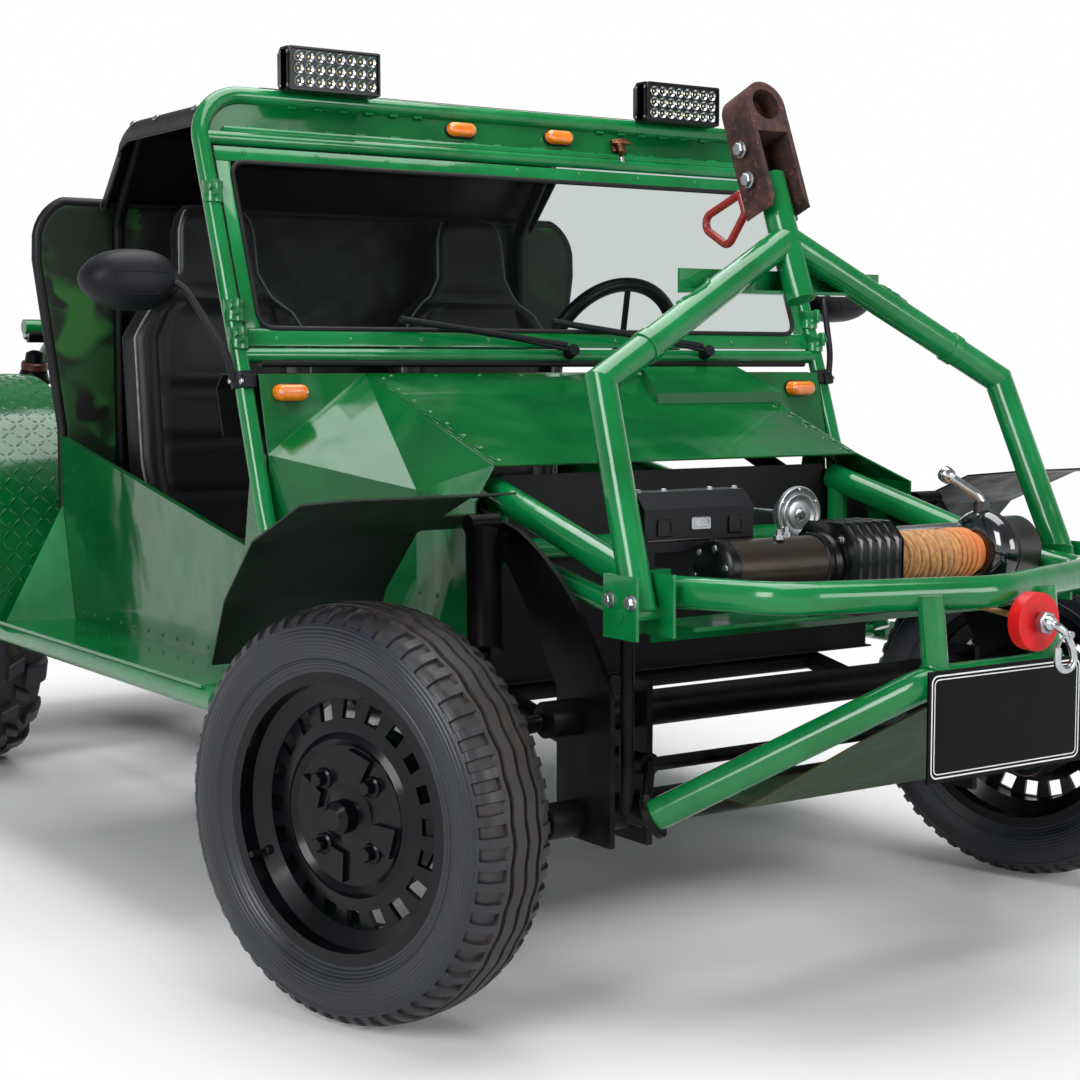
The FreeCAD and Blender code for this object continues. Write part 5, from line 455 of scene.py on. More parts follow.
# zinc-plated steel: cool bright grey with a fine cloudy bloom
zincSteel = finish(
    "zincPlatedSteel", "#b9bcc0", "#8e9195", 12, (0.24, 0.42), grain=(1, 0.02), metallic=1.0)
# polished forged steel: the hook, its shank and the lever
polishedSteel = finish(
    "polishedForgedSteel", "#cfd1d4", "#b2b5b9", 20, (0.10, 0.22), grain=(1.5, 0.02), metallic=1.0)
# the coupling: sand-cast iron gone red-brown, with old dark paint in the hollows
castIron = finish(
    "weatheredCastIron", "#5a3934", "#33262a", 26, (0.5, 0.78), grain=(2, 0.5), dent=(12, 0.5),
    speck=("#8a4d34", 7, 0.62), metallic=0.35)
# bent bar handle: red oxide enamel, chipped
redEnamel = finish(
    "chippedRedEnamel", "#a5231d", "#8a1d1a", 30, (0.24, 0.4), grain=(2, 0.03),
    speck=("#3a2320", 7, 0.68), coat=0.3, coatRough=0.1)
# cast polyurethane: flat bright red, slightly waxy
redPolyurethane = finish(
    "castPolyurethane", "#e0131a", "#cc1017", 30, (0.34, 0.46), grain=(1.5, 0.02), ior=1.49, scatter=0.08)
# rubber round the glass, under the lamps and on the light bars' leads: dull black
sealRubber = finish(
    "extrudedEpdmRubber", "#050505", "#0a0a0b", 30, (0.42, 0.6), grain=(1.5, 0.05), specular=0.3)
# the plate: black enamel on thin aluminium, plain, with its border printed in white ink
plateBlack = finish(
    "enamelledAluminiumPlate", "#030304", "#060607", 60, (0.2, 0.3), grain=(2, 0.02), specular=0.12)
plateWhite = finish("screenPrintedEnamel", "#eef0f0", "#e2e4e4", 60, (0.3, 0.4), grain=(2, 0.01))

corners = ("front_left", "front_right", "rear_left", "rear_right")
paints = {
    greenSheet: ["body_sides", "nose_sides", "hood", "cowl", "roof_header", "rear_fenders"],
    greenTube: [
        "front_frame", "bull_bar", "tow_frame", "windscreen_frame", "sill_frame", "rear_frame", "winch_tray",
    ],
    # the front fenders get the green enamel darkened nearly to black: painted shade
    shadedFenderEnamel: ["front_fenders"],
    guardEnamel: ["skid_plate"],
    chassisBlack: [
        "front_axle_beam", "front_rails", "front_trailing_arms", "front_dampers", "knuckle_left",
        "knuckle_right", "roof_bows", "rear_axle", "steering_column",
    ],
    wheelBlack: [f"wheel_{corner}" for corner in corners],
    texturedAbs: ["winch_control_box", "wipers"],
    smoothAbs: ["steering_wheel"],
    cabinBlack: ["floor_pan", "firewall", "dashboard"],
    castAluminium: ["engine"],
    exhaustSteel: ["exhaust"],
    castIron: ["tow_coupling"],
    redEnamel: ["tow_handle"],
    redPolyurethane: ["rope_stopper"],
    plateBlack: ["number_plate"],
    zincSteel: ["horn", "winch_hook"],
}


def paint(names, material):
    for name in names:
        nodes[name].data.materials.clear()
        nodes[name].data.materials.append(material)


for material, names in paints.items():
    paint(names, material)
print("finishes are on the frame")


# tyres and wheel fittings

steered = math.radians(17)
wheelWays = {
    "front_right": Vector((math.sin(steered), -math.cos(steered), 0)),
    "front_left": Vector((-math.sin(steered), math.cos(steered), 0)),
    "rear_right": Vector((0, -1, 0)),
    "rear_left": Vector((0, 1, 0)),
}


def wheelPlace(piece, side):
    low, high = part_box(f"{piece}_{side}")
    return axes((low + high) / 2 / mm, wheelWays[side], up)


def dirtInGrooves(tree, surface):
    dirt = addNode(tree, "Attribute", out="Fac", attribute_name="dirt")
    broken = {"Vector": surface["where"], "Scale": perMetre(18), "Detail": 5.0, "Roughness": 0.7}
    broken = addNode(tree, "TexNoise", broken)
    edge = addNode(tree, "MapRange", [broken, 0.30, 0.62, 0.25, 1.0])
    share = addNode(tree, "Math", [dirt, edge], operation="MULTIPLY")
    # fine moulded rings round the sidewall, one every few millimetres
    radius = addNode(tree, "Attribute", out="Fac", attribute_name="radius")
    phase = addNode(tree, "Math", [radius, math.tau * perMetre(5.2)], operation="MULTIPLY")
    wave = addNode(tree, "Math", [phase], operation="SINE")
    depth = addNode(tree, "MapRange", [dirt, 0.12, 0.2, 0.00028, 0.0])
    addRelief(tree, surface, addNode(tree, "Math", [wave, depth], operation="MULTIPLY"))
    earth = addNode(tree, "Mix", {0: broken, 6: "#2d2621", 7: "#4a3d33"}, 2, data_type="RGBA")
    layOver(tree, surface, share, earth, 0.9)


# tyre rubber: carbon black tinted blue-grey all over, a painted sheen for the cool highlights on the
# sidewall; brown earth left in the grooves
tyreRubber = finish(
    "carbonBlackTyreRubber", "#11151d", "#1a212c", 70, (0.28, 0.42), dirtInGrooves, (2, 0.06),
    dent=(25, 0.25), ior=1.52)

frontTyre = {
    "pitches": 60,  # shoulder lugs round the tyre
    "shares": (0.0, 0.05, 0.26, 0.48, 0.53, 0.76),  # of a pitch: lug from 0.05 to 0.48, slot after 0.53
    "slotDepth": 5.8,
    "grooveDepth": 6.5,
    "zigzag": 2.2,
    "dirt": {"groove": 1.0, "rib": 0.55, "slot": 0.35, "wall": 0.05},
    # from the middle outward: distance and radius
    "rows": [
        ("groove", [(0, 294), (2.8, 294)]), ("rib", [(3.6, 294), (12, 293.7), (21.5, 292.8)]),
        ("groove", [(22.3, 292.7), (28.8, 292.1)]), ("rib", [(29.6, 292), (35.5, 291)]),
        ("slot", [(36.3, 290.9), (46, 288.8), (55, 286.2), (61.2, 282.8), (66, 278.2), (69.8, 272.2)]),
        ("wall", [
            (70.6, 270.8), (72.2, 269), (72.8, 267.2), (72.2, 265.5), (73.8, 261), (75.5, 254), (76, 247),
            (75.2, 238), (73.2, 229), (71.2, 222.5), (72.2, 220.8), (71.6, 218.8), (69.4, 217), (67.2, 212.5),
            (65, 208.5), (62.8, 206), (61.2, 200),
        ]),
    ],
}
rearTyre = {
    "pitches": 18,
    "steps": 144,
    "lugHeight": 18,
    "chamfer": 2.8,
    "carcass": [
        (0, 332), (40, 331.2), (70, 328.5), (86, 323), (96, 313), (102.5, 299), (106, 282), (106.8, 262),
        (104.5, 242), (99, 226), (98.5, 223.5), (95, 221.5), (89, 213), (80, 208.5), (70, 206.5), (64, 200),
    ],
    # the crown that the lugs reach, from the middle outward
    "crown": [
        (6, 350), (22, 349.6), (40, 348.8), (48, 348.4), (66, 346.2), (84, 342), (96, 335), (103, 323),
        (106.8, 306), (107.8, 292),
    ],
    "between": [(27, 349.4), (44, 348.6), (60, 347)],
    "lugRadius": 340,
}


def dirtLayers(bm):
    return [bm.verts.layers.float.new(name) for name in ("dirt", "radius")]


def buildFrontTyre(side):
    place = wheelPlace("tyre", side)
    spec = frontTyre
    rows = [(z, r, kind) for kind, spots in spec["rows"] for z, r in spots]
    rows = [(-z, r, kind) for z, r, kind in rows[:0:-1]] + rows
    columns, marks = [], []
    for pitch in range(spec["pitches"]):
        for share in spec["shares"]:
            turn = math.tau * (pitch + share) / spec["pitches"]
            swing = abs((pitch + share) % 2 - 1) * 2 - 1
            column = []
            for z, r, kind in rows:
                dirt = spec["dirt"][kind]
                if kind in ("groove", "rib"):
                    z += swing * spec["zigzag"]
                if kind == "groove":
                    r -= spec["grooveDepth"]
                if kind == "slot":
                    dirt *= 1 - max(0, abs(z) - 50) / 30
                    if not 0.05 <= share <= 0.48:
                        lean = min(1, max(0, (abs(z) - 45) / 30))
                        r -= spec["slotDepth"] * (1 - 0.45 * lean)
                        z -= math.copysign(spec["slotDepth"] * 0.8 * lean, z)
                        dirt += 0.25
                column.append(place @ polar(r, turn, z))
                marks.append((max(0.0, dirt), r * mm))
            columns.append(column)
    bm = bmesh.new()
    dirtLayer, radiusLayer = dirtLayers(bm)
    rings = addLoops(bm, columns, closed=True)
    for vert, mark in zip([vert for ring in rings for vert in ring], marks):
        vert[dirtLayer], vert[radiusLayer] = mark
    toObject(bm, f"tyreTread_{side}", [tyreRubber], f"wheel_{side}", 28, [f"tyre_{side}"])


def addLug(bm, place, path, turn, width, skew, layer):
    # one rubber block that follows the crown, its top edges chamfered
    height, chamfer, lugRadius = rearTyre["lugHeight"], rearTyre["chamfer"], rearTyre["lugRadius"]
    half = width / 2
    loops = []
    for i, (z, r) in enumerate(path):
        before = Vector(path[max(i - 1, 0)])
        after = Vector(path[min(i + 1, len(path) - 1)])
        way = (after - before).normalized()
        out = Vector((-way.y, way.x))
        if (out.y if z < 90 else out.x) < 0:
            out = -out
        middle = turn + skew * (i / (len(path) - 1) - 0.5) / lugRadius
        edge = [(height, half * 1.12), (chamfer, half), (0.0, half - chamfer)]
        edge += [(depth, -across) for depth, across in edge[::-1]]
        loops.append([
            place @ polar(r - out.y * depth, middle + across / lugRadius, z - out.x * depth)
            for depth, across in edge
        ])
    for ring in addLoops(bm, loops):
        for vert, (depth, _) in zip(ring, edge):
            vert[layer] = 0.15 if depth < 10 else 0.6


def buildRearTyre(side):
    place = wheelPlace("tyre", side)
    spec = rearTyre
    steps = spec["steps"]
    bm = bmesh.new()
    dirtLayer, radiusLayer = dirtLayers(bm)
    outline = [(-z, r) for z, r in spec["carcass"][:0:-1]] + spec["carcass"]
    rings = addTurned(bm, place, outline, steps)
    for ring, (z, r) in zip(rings, outline):
        for vert in ring:
            vert[dirtLayer] = 0.7 if r > 320 else 0.12
            vert[radiusLayer] = r * mm
    for i in range(steps):
        k = (i + 1) % steps
        bm.faces.new((rings[0][i], rings[-1][i], rings[-1][k], rings[0][k]))
    for pitch in range(spec["pitches"]):
        for flip in (1, -1):
            turn = math.tau * (pitch + (0.5 if flip < 0 else 0.0)) / spec["pitches"]
            mirror = place @ Matrix.Diagonal((1, 1, flip, 1))
            crown = spec["crown"]
            shoulder = (crown[4:9], turn, 40, 10) if pitch % 2 else (crown[3:], turn, 46, 10)
            inner = (crown[:3], turn + 0.055, 36, 20)
            for lug in (shoulder, inner, (spec["between"], turn + 0.20, 26, -16)):
                addLug(bm, mirror, *lug, dirtLayer)
    toObject(bm, f"tyreLugs_{side}", [tyreRubber], f"wheel_{side}", 30, [f"tyre_{side}"])


for side in ("front_right", "front_left"):
    buildFrontTyre(side)
for side in ("rear_right", "rear_left"):
    buildRearTyre(side)
print("tyres are on")

wheelFittings = {
    "circle": 65, "across": 19, "head": 13, "valveRadius": 176, "valveTurn": 2.0,
    "seat": [(0, 15.5), (4, 15), (6.5, 12), (6.5, 0)],
    "valve": [(0, 7.5), (8, 6.2), (10, 4.2), (26, 4), (27, 5), (37, 4.6), (38, 3), (38, 0)],
}

for side, outward in wheelWays.items():
    place = wheelPlace("wheel", side)
    skin = skinOf(f"wheel_{side}")
    bm = bmesh.new()
    for start in around(place, wheelFittings["circle"], 4, math.radians(45), 300):
        spot = seatOn(skin, start.translation, -outward)
        if spot:
            seat = axes(spot.translation - outward, outward, up)
            addTurned(bm, seat, wheelFittings["seat"], 28)
            bolt = Matrix.Translation(outward * 6) @ seat
            addBolt(bm, bolt, wheelFittings["across"], wheelFittings["head"])
    # valve with its cap, in the outer part of the disc
    start = place @ polar(wheelFittings["valveRadius"], wheelFittings["valveTurn"], 300)
    spot = seatOn(skin, start, -outward)
    if spot:
        addTurned(bm, axes(spot.translation - outward * 2, outward, up), wheelFittings["valve"], 16, 1)
    toObject(bm, f"wheelBolts_{side}", [wheelBlack, sealRubber], f"wheel_{side}")
print("wheel fittings are on")


# windscreen

screen = {
    "foot": (524, 942), "slope": (522.5 - 396.5) / (940.5 - 1278.5),
    "low": 942.5, "high": 1275.5, "half": 602.5, "flange": 26, "lowFlange": 30, "seal": 4.5,
    "screws": (9, 137.5), "screwHead": [(0, 4.2), (1.2, 4), (2.2, 2.6), (2.6, 0)],
    "clip": [(-17, 16.5), (-17, 17.2), (-6, 17.2), (-5, 16.6), (5, 16.6), (6, 17.2), (17, 17.2), (17, 16.5)],
    "clipHeights": (1195, 1000, 955),
}
screenNormal = Vector((1, 0, -screen["slope"])).normalized()


def screenPoint(z, y, proud=0.0):
    # a point of the glass plane; proud is ahead of it, square to the plane
    x, foot = screen["foot"]
    return Vector((x + (z - foot) * screen["slope"], y, z)) + screenNormal * proud


# laminated glass, clean: a thin pane that only tints and mirrors
glass = bpy.data.materials.new("laminatedScreenGlass")
tree = freshTree(glass)
mirrorShare = addNode(tree, "Fresnel", {"IOR": 1.16})
clear = addNode(tree, "BsdfTransparent", ["#e3e7e6"])
gloss = addNode(tree, "BsdfGlossy", {"Color": "#ffffff", "Roughness": 0.02})
addNode(tree, "OutputMaterial", [addNode(tree, "MixShader", [mirrorShare, clear, gloss])])
paint(["windscreen_glass"], glass)

bm = bmesh.new()
low, high, half, flange, lowFlange = (screen[key] for key in ("low", "high", "half", "flange", "lowFlange"))
innerLow, innerHigh, innerHalf = low + lowFlange, high - flange, half - flange
strips = [
    ((low + lowFlange / 2, -half), (low + lowFlange / 2, half), lowFlange),
    ((high - flange / 2, -half), (high - flange / 2, half), flange),
]
for side in (-half + flange / 2, half - flange / 2):
    strips.append(((innerLow, side), (innerHigh, side), flange))
for start, end, width in strips:
    first = screenPoint(*start, 2.2)
    second = screenPoint(*end, 2.2)
    run = second - first
    addBlock(bm, axes((first + second) / 2, run, screenNormal), (3, width, run.length), 0.8)
# round-headed screws along the upper and lower flange
count, step = screen["screws"]
for k in range(count):
    for z in (low + 12, high - 10):
        addTurned(bm, axes(screenPoint(z, step * (k - 4), 3.6), screenNormal), screen["screwHead"], 14)
toObject(bm, "screenFlange", [greenTube])

bm = bmesh.new()
opening = [(innerLow, -innerHalf), (innerHigh, -innerHalf), (innerHigh, innerHalf), (innerLow, innerHalf)]
opening = [screenPoint(*corner, 3) for corner in opening]
addTube(bm, rounded(opening, 28, 6, True), screen["seal"], 8, 0, True, 1.0, screenNormal)
toObject(bm, "screenSeal", [sealRubber])

# hinge clips on the pillars and clamps at the screen's foot
bm = bmesh.new()
for flip in sides:
    for z in screen["clipHeights"]:
        spot = screenPoint(z, 619.5 * flip, 6)
        addTurned(bm, axes(spot, up, screenNormal), screen["clip"], 24)
        ear = spot + screenNormal * 19
        addBlock(bm, axes(ear + Vector((0, 4 * flip, 0)), up, screenNormal), (14, 8, 26), 2)
        addBolt(bm, axes(ear + Vector((0, 8 * flip, 0)), (0, flip, 0)), 10, 5, 8)
toObject(bm, "pillarClips", [greenTube])

# header: folded lower lip, weld runs on its upper seam
header = {"lip": 1303.5, "seam": 1309.5, "tacks": 16, "pitch": 70.7, "top": (373.5, 1351.5)}
rng = random.Random(7)
bm = bmesh.new()
addBlock(bm, axes(screenPoint(header["lip"], 0, 4), left, screenNormal), (8, 10, 1160), 1.5)
for k in range(header["tacks"]):
    y = -530 + header["pitch"] * k + rng.uniform(-12, 12)
    length = rng.uniform(12, 34)
    addBead(bm, [screenPoint(header["seam"], y + length * t / 5, 4.5) for t in range(6)], 2.8, False)
for flip in sides:
    for k in range(6):
        y = (200 + 50 * k) * flip
        addBead(bm, [Vector((header["top"][0], y + 4 * t, header["top"][1])) for t in range(5)], 2.6, False)
toObject(bm, "headerSeam", [greenTube])

# toggle latch on the header, in aged brass: brown-yellow metal, dulled in the hollows
agedBrass = finish(
    "agedYellowBrass", "#8a5a40", "#5f4031", 12, (0.3, 0.5), grain=(1.5, 0.05), metallic=1.0)
latch = {
    "height": 1326, "y": 243,
    "bars": [
        ([(6, -20, 6), (10, 0, 8), (6, 22, 7)], [4, 6.5, 5]),
        ([(10, -4, 4), (14, -2, -10), (9, 0, -20)], [6, 7.5, 4]),
    ],
    "nut": [(0, 5), (10, 5), (12, 3), (12, 0)],
}
bm = bmesh.new()
base = screenPoint(latch["height"], latch["y"], 4)
addBlock(bm, axes(base, screenNormal, left), (30, 24, 6), 2)
for points, radii in latch["bars"]:
    addTube(bm, [base + Vector(point) for point in points], radii, 10)
addTurned(bm, axes(base + Vector((12, 0, -22)), (0.2, 0, -1)), latch["nut"], 14, 1)
toObject(bm, "headerLatch", [agedBrass, zincSteel])
print("windscreen is dressed")


# lamps, light bars and mirrors

def roundedBox(width, height, radius, steps=5):
    # the outline of a rectangle with round corners, as flat points
    outline = []
    for corner, (sx, sy) in enumerate(((1, 1), (-1, 1), (-1, -1), (1, -1))):
        middle = Vector((sx * (width / 2 - radius), sy * (height / 2 - radius), 0))
        outline += [(middle + polar(radius, math.pi / 2 * (corner + t)))[:2] for t in spaced(steps + 1, 0)]
    return outline


def addLoft(bm, place, outlines, material=0):
    # flat outlines of equal count at their heights
    loops = [[place @ Vector((x, y, height)) for x, y in outline] for outline, height in outlines]
    addLoops(bm, loops, material)


def addPad(bm, place, width, height, radius, layers, material=0):
    # a rounded plate; each layer is (inset, height)
    addLoft(bm, place, [
        (roundedBox(width - 2 * inset, height - 2 * inset, max(radius - inset, 0.4)), rise)
        for inset, rise in layers
    ], material)


def loosePieces(name):
    # place and size of each separate solid of a node, z outward and x along its width
    bm = bmesh.new()
    bm.from_mesh(nodes[name].data)
    bm.transform(Matrix.Scale(1 / mm, 4))
    bmesh.ops.remove_doubles(bm, verts=bm.verts, dist=0.02)
    todo = set(bm.verts)
    pieces = []
    while todo:
        front = [todo.pop()]
        piece = set(front)
        while front:
            near = {vert for edge in front.pop().link_edges for vert in edge.verts} & todo
            todo -= near
            piece |= near
            front += near
        middle = sum((vert.co for vert in piece), Vector()) / len(piece)
        facing = Vector((-1, 0, 0)) if middle.x < 0 else screenNormal if middle.z > 1200 else Vector(ahead)
        place = axes((0, 0, 0), facing, left)
        local = [place.inverted() @ vert.co for vert in piece]
        low, high = (Vector([pick(p[i] for p in local) for i in range(3)]) for pick in (min, max))
        base = place @ Vector(((low.x + high.x) / 2, (low.y + high.y) / 2, low.z))
        pieces.append((axes(base, facing, left), high - low))
    bm.free()
    return sorted(pieces, key=lambda piece: tuple(piece[0].translation))


def prismLines(tree, surface):
    # moulded flutes behind the lens
    flutes = {"Vector": surface["where"], "Scale": 95.0, "Distortion": 0.0}
    flutes = addNode(tree, "TexWave", flutes, "Fac", bands_direction="Y")
    addRelief(tree, surface, addNode(tree, "Math", [flutes, 0.0004], operation="MULTIPLY"))


# moulded lenses: clear gloss over saturated plastic, with light scattered inside
amberLens = finish(
    "mouldedAmberAcrylic", "#ff8c08", "#f27402", 14, (0.10, 0.16), prismLines, ior=1.49, scatter=0.12,
    coat=1.0)
redLens = finish(
    "mouldedRedAcrylic", "#b00d10", "#8e080c", 14, (0.10, 0.16), prismLines, ior=1.49, scatter=0.2, coat=1.0)
# reflector cups: bright metal film under lacquer
reflector = finish("vacuumMetallisedReflector", "#dfe3e6", "#c9ced2", 8, (0.08, 0.16), metallic=1.0, coat=1.0)
# diodes: matte pale yellow
diodeYellow = finish("phosphorCoatedDiode", "#f3e6a4", "#e9d684", 4, (0.3, 0.4))
# mirror glass: a clean reflection
silveredGlass = finish("silveredMirrorGlass", "#e8eaec", "#e0e3e6", 60, (0.02, 0.04), metallic=1.0)

lamps = {
    "rubber": [(0, 0), (0, 3.5), (1, 4.5)],
    # inset, height and share of the lamp's depth that the height adds
    "lens": [(1.8, 3, 0), (1.8, 0, 0.62), (3, 0, 0.80), (5.3, 0, 0.92), (8.8, 0, 0.985), (11.3, 0, 1)],
    "screw": [(0, 2.6), (0.06, 2.4), (0.09, 1.4), (0.09, 0)],
}
amber = bmesh.new()
red = bmesh.new()
for place, (width, height, depth) in loosePieces("marker_lamps"):
    bm = red if place.translation.x < 0 else amber
    radius = min(width, height) / 2 * 0.995
    addPad(bm, place, width, height, radius, lamps["rubber"], 1)
    lens = [(inset, rise + share * depth) for inset, rise, share in lamps["lens"]]
    addPad(bm, place, width, height, radius, lens)
    for side in sides:
        screw = shifted(place, side * (width / 2 - radius * 0.52), 0, depth * 0.90)
        addTurned(bm, screw, [(share * depth, r) for share, r in lamps["screw"]], 12, 2)
fittings = [sealRubber, zincSteel]
toObject(amber, "markerLamps", [amberLens, *fittings], replaced=["marker_lamps"])
toObject(red, "tailLamps", [redLens, *fittings], replaced=["marker_lamps"])

lightBar = {
    "low": 1376, "high": 1450, "back": 368, "front": 415, "inner": 290, "outer": 466,
    "rows": 3, "columns": 8, "rowPitch": 20.5, "columnPitch": 20,
    "body": [
        (10, -47), (2, -37), (0, -33), (0, -12), (2, -10), (2, -7), (0, -5), (0, -1), (1, 0), (4, 0), (5, -4),
    ],
    "cup": [(0, 9.568), (2.2, 9.2), (2.4, 8.648), (-0.6, 5.704), (-2, 3.128), (-2, 0)],
    "diode": [(-2, 2.4), (-0.4, 2.3), (0.3, 1.2), (0.3, 0)],
    "screw": [(0, 3.1), (0.5, 2.9), (0.6, 1.7), (-0.6, 1.5), (-0.6, 0)],
    "fins": 11, "finPitch": 13.5, "fin": (2.2, 34, 24),
    # x, distance from the middle, z
    "foot": [(360, -16, 1353), (360, -16, 1380), (360, 16, 1380), (360, 16, 1353)],
    "lead": [(362, 50, 1392), (358, 54, 1372), (354, 40, 1362), (352, 22, 1366), (350, 12, 1357)],
}
spans = (("outer", "inner"), ("high", "low"), ("front", "back"))
wide, tall, deep = (lightBar[a] - lightBar[b] for a, b in spans)
middleZ = lightBar["low"] + tall / 2
bm = bmesh.new()
for flip in sides:
    middleY = flip * (lightBar["inner"] + wide / 2)
    face = axes((lightBar["front"], middleY, middleZ), ahead, left)
    # die-cast body, its back edges drawn in, and a rim round the lens
    addPad(bm, face, wide, tall, 4, lightBar["body"])
    for row in range(lightBar["rows"]):
        for column in range(lightBar["columns"]):
            across = (column - (lightBar["columns"] - 1) / 2) * lightBar["columnPitch"]
            cup = shifted(face, across, (row - 1) * lightBar["rowPitch"], -3.8)
            addTurned(bm, cup, lightBar["cup"], 16, 1)
            addTurned(bm, cup, lightBar["diode"], 10, 2)
    # octagonal end cheeks with a screw at each corner
    for end in sides:
        cheek = (lightBar["front"] - deep / 2, middleY + end * (wide / 2 - 3), middleZ)
        cheek = axes(cheek, (0, end, 0), ahead)
        outline = roundedBox(deep + 1, tall + 1, 11, 1)
        small = [(x * 0.93, y * 0.96) for x, y in outline]
        addLoft(bm, cheek, [(outline, -1.5), (outline, 2), (small, 3)])
        for sx in sides:
            for sy in sides:
                screw = shifted(cheek, sx * (deep / 2 - 10), sy * (tall / 2 - 9), 2.8)
                addTurned(bm, screw, lightBar["screw"], 12, 3)
    # cooling fins behind
    for k in range(lightBar["fins"]):
        y = middleY + (k - 5) * lightBar["finPitch"]
        addBlock(bm, axes((lightBar["back"] - 9, y, middleZ), ahead, left), lightBar["fin"], 0.6, 0, 1)
    # foot with its pivot bolt, and the lead's loop under the case
    foot, lead = ([(x, middleY + y, z) for x, y, z in lightBar[key]] for key in ("foot", "lead"))
    addTube(bm, foot, 4.2, 8, 0, False, 2.0, ahead)
    addBolt(bm, axes((369, middleY, 1368), ahead), 10, 4, 7.5, 3)
    addTube(bm, rounded(lead, 20, 4), 2.4, 8, 4)
toObject(bm, "lightBars", [smoothAbs, reflector, diodeYellow, zincSteel, sealRubber], replaced=["light_bars"])

mirrorHead = {
    "back": 414, "low": 1000, "high": 1100, "inner": 682, "outer": 850,
    # share of the oval and height, from the glass to the nose of the shell
    "shell": [
        (0.90, 4), (0.92, 0), (0.97, 0), (1.0, 5), (1.0, 14), (0.985, 24), (0.94, 36), (0.86, 47),
        (0.73, 56), (0.54, 62.5), (0.30, 66), (0.10, 67),
    ],
    "glass": [(0.895, 2.5), (0.895, 4.5)],
    "line": [(-46, 12), (46, 12), (28, -24), (-28, -24)],
    # x, distance from the middle, z
    "arm": [(545, 640, 890), (541, 648, 934), (474, 690, 1040), (455, 712, 1051)],
    "clamp": [(-13, 15.5), (-13, 19.5), (-12, 20.8), (12, 20.8), (13, 19.5), (13, 15.5)],
    "pillar": (-0.26, 0, 0.965),
}
bm = bmesh.new()
for flip in sides:
    half = (mirrorHead["outer"] - mirrorHead["inner"]) / 2 * 0.99
    tall = (mirrorHead["high"] - mirrorHead["low"]) / 2
    middle = (mirrorHead["back"], flip * (mirrorHead["inner"] + half), mirrorHead["low"] + tall)
    place = axes(middle, ahead, left)
    oval = []
    for i in range(48):
        c, s = polar(1, math.tau * i / 48)[:2]
        drop = 1 - 0.10 * c * flip
        y = tall * 0.99 * math.copysign(abs(s) ** 1.12, s) * drop
        oval.append((half * math.copysign(abs(c) ** 0.82, c), y))
    shell, pane = (
        [([(x * share, y * share) for x, y in oval], rise) for share, rise in mirrorHead[key]]
        for key in ("shell", "glass")
    )
    addLoft(bm, place, shell)
    skin = BVHTree.FromBMesh(bm)
    addLoft(bm, place, pane, 1)
    # a raised line in the shell
    line = []
    for a, b in zip(mirrorHead["line"], mirrorHead["line"][1:] + mirrorHead["line"][:1]):
        for k in range(8):
            spot = seatOn(skin, place @ Vector((*Vector(a).lerp(Vector(b), k / 8), 200)), (-1, 0, 0))
            if spot:
                line.append(spot.translation)
    addTube(bm, line, 1.1, 6, 0, True)
    # bent arm: out of the clamp, up, then into the shell
    arm = [(x, y * flip, z) for x, y, z in mirrorHead["arm"]]
    addTube(bm, rounded(arm, 22, 5), 6, 12)
    addTurned(bm, axes((542, 620 * flip, 888), mirrorHead["pillar"], (0, flip, 0)), mirrorHead["clamp"], 32)
    for side in sides:
        ear = axes((542 + 21 * side, 622 * flip, 888), (0, flip, 0), mirrorHead["pillar"])
        addBlock(bm, ear, (22, 9, 20), 2)
        addBolt(bm, Matrix.Translation((0, 10 * flip, 0)) @ ear, 9, 4, 0, 2)
toObject(bm, "mirrorHeads", [texturedAbs, silveredGlass, zincSteel], replaced=["mirrors"])
print("lamps, light bars and mirrors are on")


# winch, rope and hook

# motor can: satin bronze-brown varnish, half metallic
motorVarnish = finish(
    "bronzeVarnishedCan", "#3b3025", "#2c251e", 60, (0.26, 0.38), grain=(1.5, 0.03), metallic=0.55, coat=0.3,
    coatRough=0.15)
# drum flange: blue-black gloss, a hard bright highlight
flangeGloss = finish(
    "blueBlackGlossFlange", "#080b12", "#0d1119", 40, (0.08, 0.16), grain=(1.5, 0.02), ior=1.6, coat=1.0,
    coatRough=0.04)
# gear case: hard-coated alloy, dull brown-black
gearCase = finish("hardCoatedAlloyCase", "#1c1a19", "#272322", 50, (0.3, 0.44), grain=(1.6, 0.06), ior=1.6)

